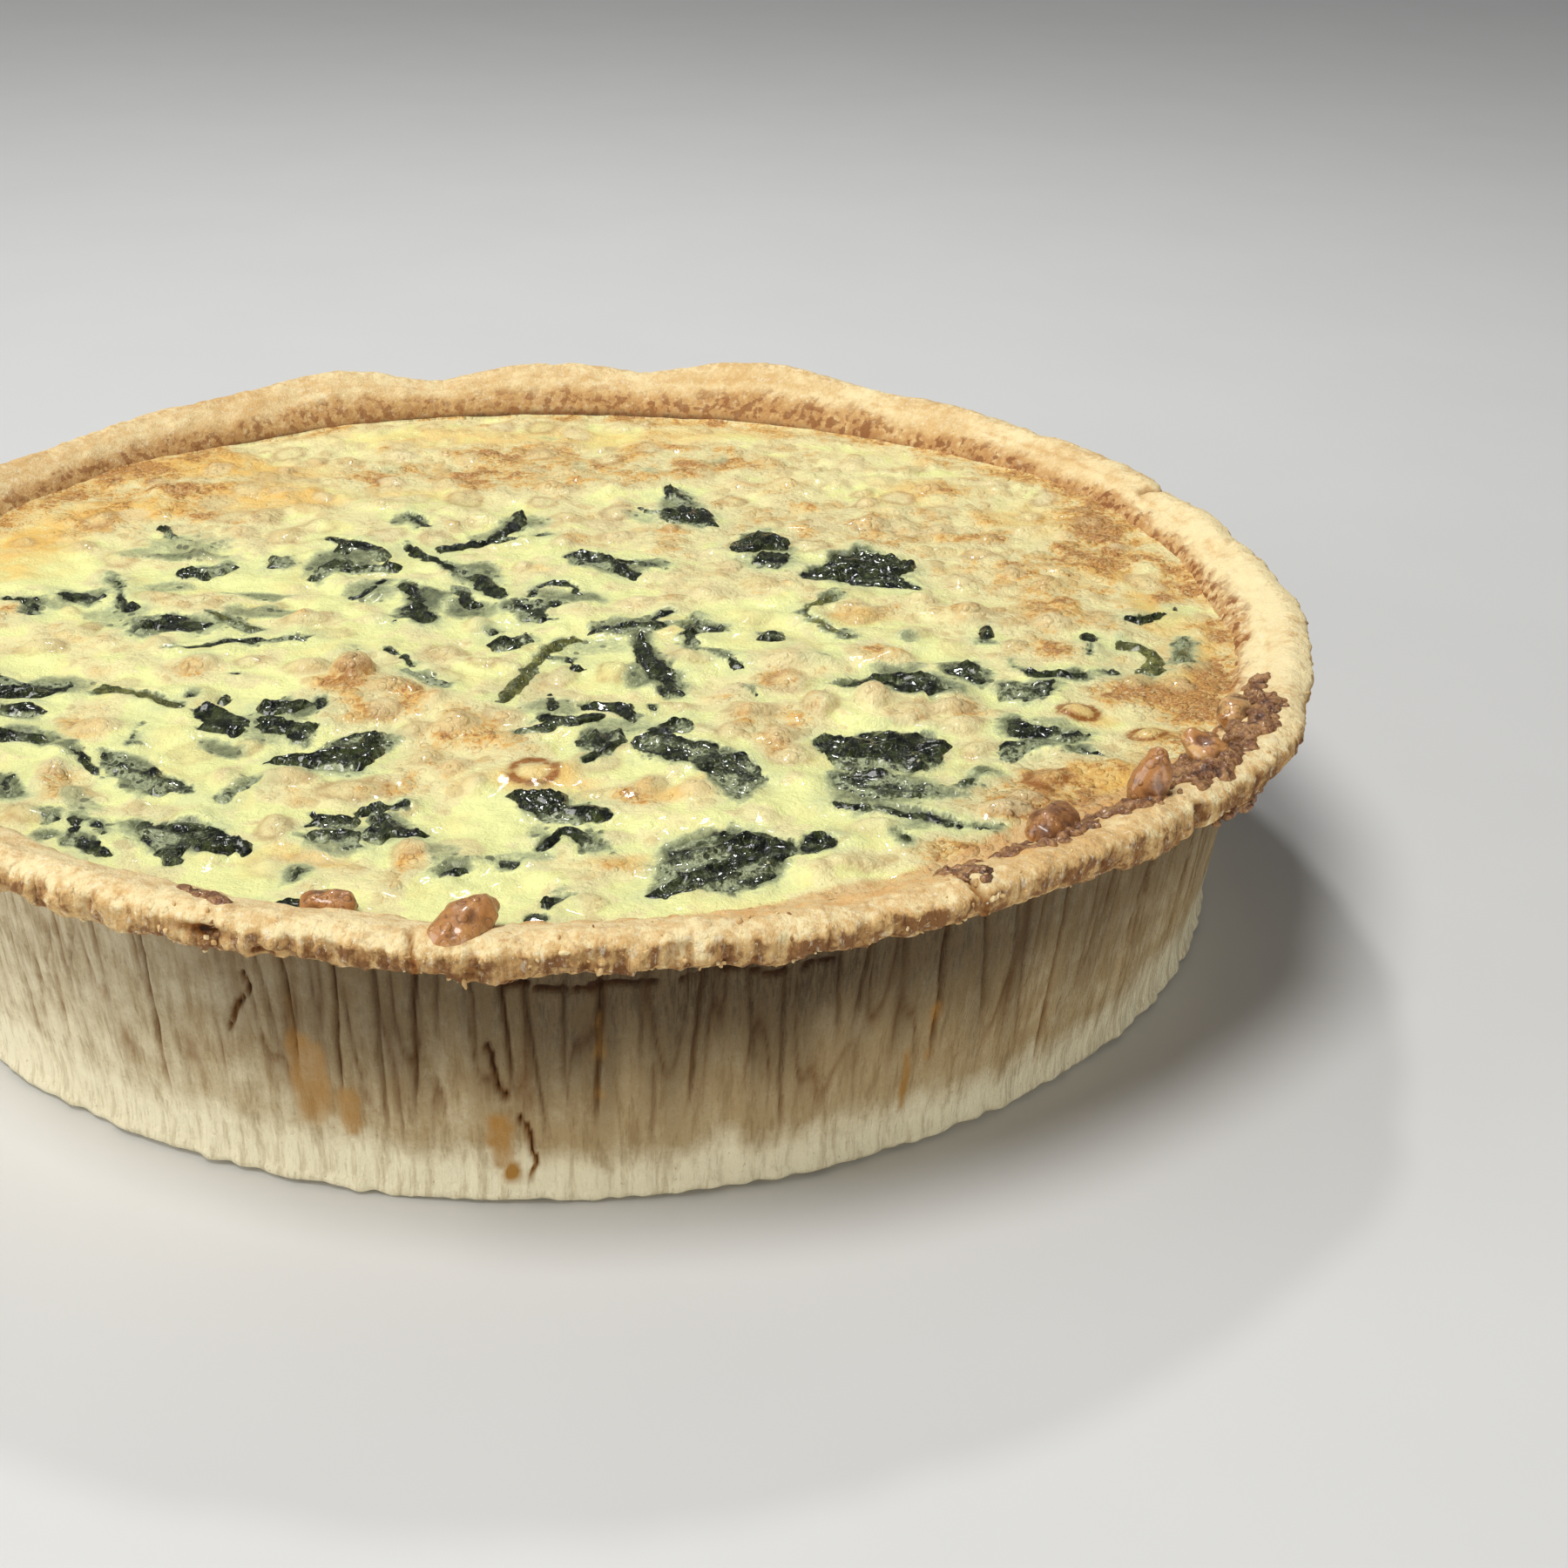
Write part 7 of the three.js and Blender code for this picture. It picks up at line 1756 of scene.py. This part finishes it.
def make_custard():
    form = bmesh.new()
    bmesh.ops.create_grid(form, x_segments=CUSTARD_CELLS, y_segments=CUSTARD_CELLS, size=1)
    bearing, reach = bent_round(np.array([corner.co[:2] for corner in form.verts]))
    rim_x = FILLING_RADIUS * np.cos(np.radians(bearing))
    rim_y = FILLING_RADIUS * np.sin(np.radians(bearing))
    edge = inside_radius(custard_level(rim_x, rim_y)) + CUSTARD_LAP
    radius = reach * edge
    x = radius * np.cos(np.radians(bearing))
    y = radius * np.sin(np.radians(bearing))
    spot = np.column_stack([x, y, np.zeros(len(x))])
    level = custard_level(x, y)

    near = spinach_distance(spot)
    puff = blistered(spot)
    rise, nut, tone, ring = seen_nuts(spot)
    relief = puff + rise
    relief += 0.25 * np.exp(-(((near + 0.7) / 0.8) ** 2)) - 0.9 * ease(near, 0.1, 1.0)
    relief = relief * (1 - 0.6 * ease(reach, 0.97, 1.0)) + 0.5 * ease(reach, 0.985, 1.0)
    height = level + relief

    aside = np.column_stack([soft_noise(spot, 9, 75), soft_noise(spot, 9, 76), np.zeros(len(x))])
    wander = spot + 3.0 * aside
    browning = oval_cover(wander, BROWNED, 0.35, 1.25)
    clear = oval_cover(wander, [(*oval, 1) for oval in CLEAR], 0.5, 1.2)
    drowned = drowned_side(spot[:, :2])
    film = 1.15 * oval_cover(wander, SUBMERGED, 0.4, 1.15)
    film = np.maximum(film, 0.85 * ease(near, -0.5 - 2.2 * drowned, 0.4))
    halo = ease(near, -5.5, -0.4) * (0.55 + 0.45 * soft_noise(spot, 6, 79))
    brown = 0.3 + browning + 0.3 * soft_noise(spot, 6.5, 77) + 0.18 * soft_noise(spot, 2.4, 78)
    brown += 0.16 * rise + 0.25 * puff - 0.6 * clear - 0.7 * halo - 0.3 * film
    gold = oval_cover(wander, GOLDEN, 0.4, 1.2)
    begins = by_bearing(bearing, RUN_OVER) + 0.7 * soft_noise(spot, 5, 28)
    strip = ease(radius, begins - 0.5, begins + 0.5) * (bearing > -104) * (bearing < -30)
    outside = ease(radius + 2.5 * soft_noise(spot, 5, 80), 108, 118)
    brown += 0.8 * by_bearing(bearing, EDGE_BROWN) * outside
    marks = {"brown": brown, "film": film, "halo": halo, "nut": nut * (1 - ease(near, -1, 0)), "ring": ring}
    marks.update({"tone": tone, "gold": gold * (1 - film), "strip": strip})
    for name, values in marks.items():
        layer = form.verts.layers.float.new(name)
        for corner, value in zip(form.verts, np.clip(values, 0, 1.5)):
            corner[layer] = float(value)
    for corner, place in zip(form.verts, np.column_stack([x, y, height])):
        corner.co = place

    # down the inside of the case, and across its floor
    for depth in CUSTARD_SIDES:
        rim = [edge for edge in form.edges if edge.is_boundary]
        new = bmesh.ops.extrude_edge_only(form, edges=rim)["geom"]
        for corner in (item for item in new if isinstance(item, bmesh.types.BMVert)):
            here = math.hypot(corner.co.x, corner.co.y)
            there = float(inside_radius(min(depth, corner.co.z))) - CUSTARD_GAP
            corner.co = (corner.co.x * there / here, corner.co.y * there / here, min(depth, corner.co.z))
    rim = [edge for edge in form.edges if edge.is_boundary]
    bmesh.ops.holes_fill(form, edges=rim, sides=0)
    bmesh.ops.recalc_face_normals(form, faces=form.faces)
    mesh = as_mesh(form, "baked_custard")
    place_corners(mesh, corners_of(mesh))
    return mesh


def custard_material():
    material, tree = new_tree("baked_custard")
    cloud = speckle(tree, 4.5, 5, 0.62)
    fine = speckle(tree, 1.3, 4, 0.65)
    grain = speckle(tree, 0.45, 3, 0.7)
    ovals = bubbles(tree, 4.2, 0.42, 0.05, stretch=0.4)
    small = bubbles(tree, 1.6, 0.42, 0.09, stretch=0.6)
    brown = plus(
        tree,
        kept(tree, "brown"),
        swing(tree, cloud, 1.1),
        swing(tree, fine, 0.5),
        swing(tree, grain, 0.2),
    )
    yellow = ramp(tree, speckle(tree, 9.0, 3), 0.48, 0.68, 0, 0.6)
    colour = paint(tree, yellow, LEMON, YELLOW_CUSTARD)
    colour = paint(tree, ramp(tree, brown, 0.12, 0.36), colour, CREAM_SKIN)
    warm = paint(tree, ramp(tree, speckle(tree, 7.0, 3, 0.6), 0.5, 0.64, 0, 0.32), TAN_SKIN, GOLD_SKIN)
    colour = paint(tree, ramp(tree, brown, 0.36, 0.8), colour, warm)
    skin = ramp(tree, brown, 0.2, 0.5)
    seen = times(tree, times(tree, ovals["Disc"], ramp(tree, ovals["Shade"], 0.4, 0.6)), skin)
    colour = paint(tree, times(tree, seen, 0.65), colour, TAN_SEEN_NUT)
    rings = times(tree, ovals["Outline"], ramp(tree, fine, 0.45, 0.6))
    colour = paint(tree, times(tree, rings, times(tree, skin, 0.4)), colour, ORANGE_SKIN)
    gold = times(tree, kept(tree, "gold"), ramp(tree, cloud, 0.3, 0.6, 0.4, 0.95))
    colour = paint(tree, gold, colour, GOLD_SKIN)
    orange = times(tree, ramp(tree, brown, 0.76, 1.2), ramp(tree, fine, 0.35, 0.62, 0.3, 1.0))
    colour = paint(tree, orange, colour, ORANGE_SKIN)
    network = times(tree, small["Outline"], ramp(tree, small["Shade"], 0.4, 0.7))
    network = times(tree, network, ramp(tree, brown, 0.55, 0.9))
    colour = paint(tree, times(tree, network, 0.55), colour, RED_SKIN)
    specks = times(tree, ramp(tree, speckle(tree, 0.7, 3, 0.75), 0.56, 0.66), ramp(tree, brown, 0.5, 0.95))
    colour = paint(tree, times(tree, specks, 0.6), colour, ORANGE_SKIN)
    scorched = ramp(tree, plus(tree, brown, times(tree, fine, 0.9)), 1.55, 1.9)
    colour = paint(tree, times(tree, scorched, ramp(tree, grain, 0.4, 0.6, 0.3, 1)), colour, RED_SKIN)
    nut_colour = paint(tree, kept(tree, "tone"), PALE_SEEN_NUT, TAN_SEEN_NUT)
    nut = times(tree, kept(tree, "nut"), ramp(tree, fine, 0.3, 0.6, 0.65, 1.0))
    colour = paint(tree, times(tree, nut, 0.75), colour, nut_colour)
    ring = times(tree, kept(tree, "ring"), ramp(tree, speckle(tree, 1.6, 3), 0.36, 0.55, 0.5, 1.0))
    colour = paint(tree, ring, colour, NUT_RING)
    patchy = ramp(tree, plus(tree, cloud, times(tree, fine, 0.4)), 0.5, 0.85, 0.1, 1.0)
    halo = times(tree, kept(tree, "halo"), patchy)
    colour = paint(tree, times(tree, halo, 0.85), colour, GREEN_CUSTARD)
    film = plus(
        tree,
        kept(tree, "film"),
        swing(tree, fine, 0.7),
        swing(tree, cloud, 0.5),
        swing(tree, grain, 0.35),
    )
    colour = paint(tree, ramp(tree, film, 0.12, 0.5, 0, 0.6), colour, GREEN_CUSTARD)
    colour = paint(tree, ramp(tree, film, 0.2, 1.05), colour, GREY_GREEN)
    wet = plus(tree, kept(tree, "film"), times(tree, kept(tree, "halo"), 0.35))
    pits = times(tree, small["Disc"], ramp(tree, small["Shade"], 0.72, 0.78))
    pits = times(tree, pits, ramp(tree, wet, 0.2, 0.6))
    colour = paint(tree, times(tree, pits, 0.7), colour, DARK_PIT)
    strip_colour = paint(tree, ramp(tree, cloud, 0.4, 0.65), RUN_OVER_SKIN, PALE_RUN_OVER)
    red = ramp(tree, speckle(tree, 1.8, 3, 0.6), 0.62, 0.68, 0, 0.7)
    strip_colour = paint(tree, red, strip_colour, SCORCHED)
    strip = times(tree, kept(tree, "strip"), ramp(tree, fine, 0.3, 0.6, 0.7, 0.97))
    colour = paint(tree, strip, colour, strip_colour)
    height = plus(
        tree,
        times(tree, fine, 0.8),
        times(tree, grain, 0.4),
        times(tree, times(tree, small["Dome"], 0.45), kept(tree, "brown")),
        times(tree, times(tree, ovals["Dome"], 0.7), kept(tree, "brown")),
    )
    shade(
        tree,
        colour,
        ramp(tree, cloud, 0.35, 0.65, 0.2, 0.44),
        height,
        0.6,
        Specular_IOR_Level=0.4,
        Coat_Weight=0.12,
        Coat_Roughness=0.06,
    )
    return material


finish_piece("baked_custard", make_custard(), custard_material(), "custard", "custard")

# ---- Table, light and camera ----------------------------------------------------------------
# A plain pale table. A large soft light hangs overhead at the left, a small lamp behind makes the
# glints, and weak light comes from a window at the left and from the front.

LENS = 53.68
CAMERA_DISTANCE = 0.449
CAMERA_ELEVATION = math.radians(27.41)
CAMERA_ROLL = math.radians(1.75)
CAMERA_TARGET = Vector((0.0408, 0, 0.0088))
SENSOR_WIDTH = 36

TABLE_REACH = 6
TABLE_GREY = (0.66, 0.66, 0.65, 1)
TABLE_PALE = (0.70, 0.70, 0.69, 1)
ROOM_COLOUR = (0.86, 0.90, 0.95, 1)
ROOM_STRENGTH = 0.12


def make_table():
    form = bmesh.new()
    bmesh.ops.create_grid(form, x_segments=1, y_segments=1, size=TABLE_REACH)
    mesh = as_mesh(form, "table")
    material, tree = new_tree("pale_table")
    colour = paint(tree, speckle(tree, 60, 3), TABLE_GREY, TABLE_PALE)
    shade(tree, colour, 0.6, speckle(tree, 3, 2), 0.02)
    mesh.materials.append(material)
    table = bpy.data.objects.new("table", mesh)
    bpy.context.scene.collection.objects.link(table)


def add_light(name, place, aim, size, watts, colour):
    lamp = bpy.data.lights.new(name, "AREA")
    lamp.shape = "DISK"
    lamp.size = size
    lamp.energy = watts
    lamp.color = colour
    light = bpy.data.objects.new(name, lamp)
    light.location = place
    light.rotation_euler = (Vector(aim) - Vector(place)).to_track_quat("-Z", "Y").to_euler()
    bpy.context.scene.collection.objects.link(light)


def add_camera():
    offset = Vector((0, -math.cos(CAMERA_ELEVATION), math.sin(CAMERA_ELEVATION)))
    eye = Vector((0, offset.y * CAMERA_DISTANCE, offset.z * CAMERA_DISTANCE))
    ahead = (CAMERA_TARGET - eye).normalized()
    right = ahead.cross(Vector((0, 0, 1))).normalized()
    up = right.cross(ahead)
    level_right = math.cos(CAMERA_ROLL) * right + math.sin(CAMERA_ROLL) * up
    level_up = -math.sin(CAMERA_ROLL) * right + math.cos(CAMERA_ROLL) * up
    lens = bpy.data.cameras.new("camera")
    lens.lens = LENS
    lens.sensor_width = SENSOR_WIDTH
    lens.clip_start = 0.01
    camera = bpy.data.objects.new("camera", lens)
    turned = Matrix((level_right, level_up, -ahead)).transposed().to_4x4()
    camera.matrix_world = Matrix.Translation(eye) @ turned
    bpy.context.scene.collection.objects.link(camera)
    bpy.context.scene.camera = camera


make_table()
add_light("softbox_overhead", (-0.56, -0.40, 1.96), (0, 0, 0.03), 0.9, 31.5, (1.0, 0.985, 0.96))
add_light("lamp_behind", (0.02, 0.50, 0.66), (0, 0, 0.03), 0.07, 1.5, (0.98, 0.99, 1.0))
add_light("window_left", (-0.78, -0.22, 0.30), (0, 0, 0.03), 0.5, 2.6, (0.97, 0.99, 1.0))
add_light("front_fill", (0.22, -0.80, 0.10), (0, 0, 0.01), 0.6, 2.4, (1.0, 0.97, 0.91))
add_camera()

world = bpy.data.worlds.new("room")
world.use_nodes = True
room = world.node_tree.nodes["Background"].inputs
room["Color"].default_value = ROOM_COLOUR
room["Strength"].default_value = ROOM_STRENGTH
scene = bpy.context.scene
scene.world = world
scene.view_settings.view_transform = "Standard"
scene.cycles.use_denoising = True
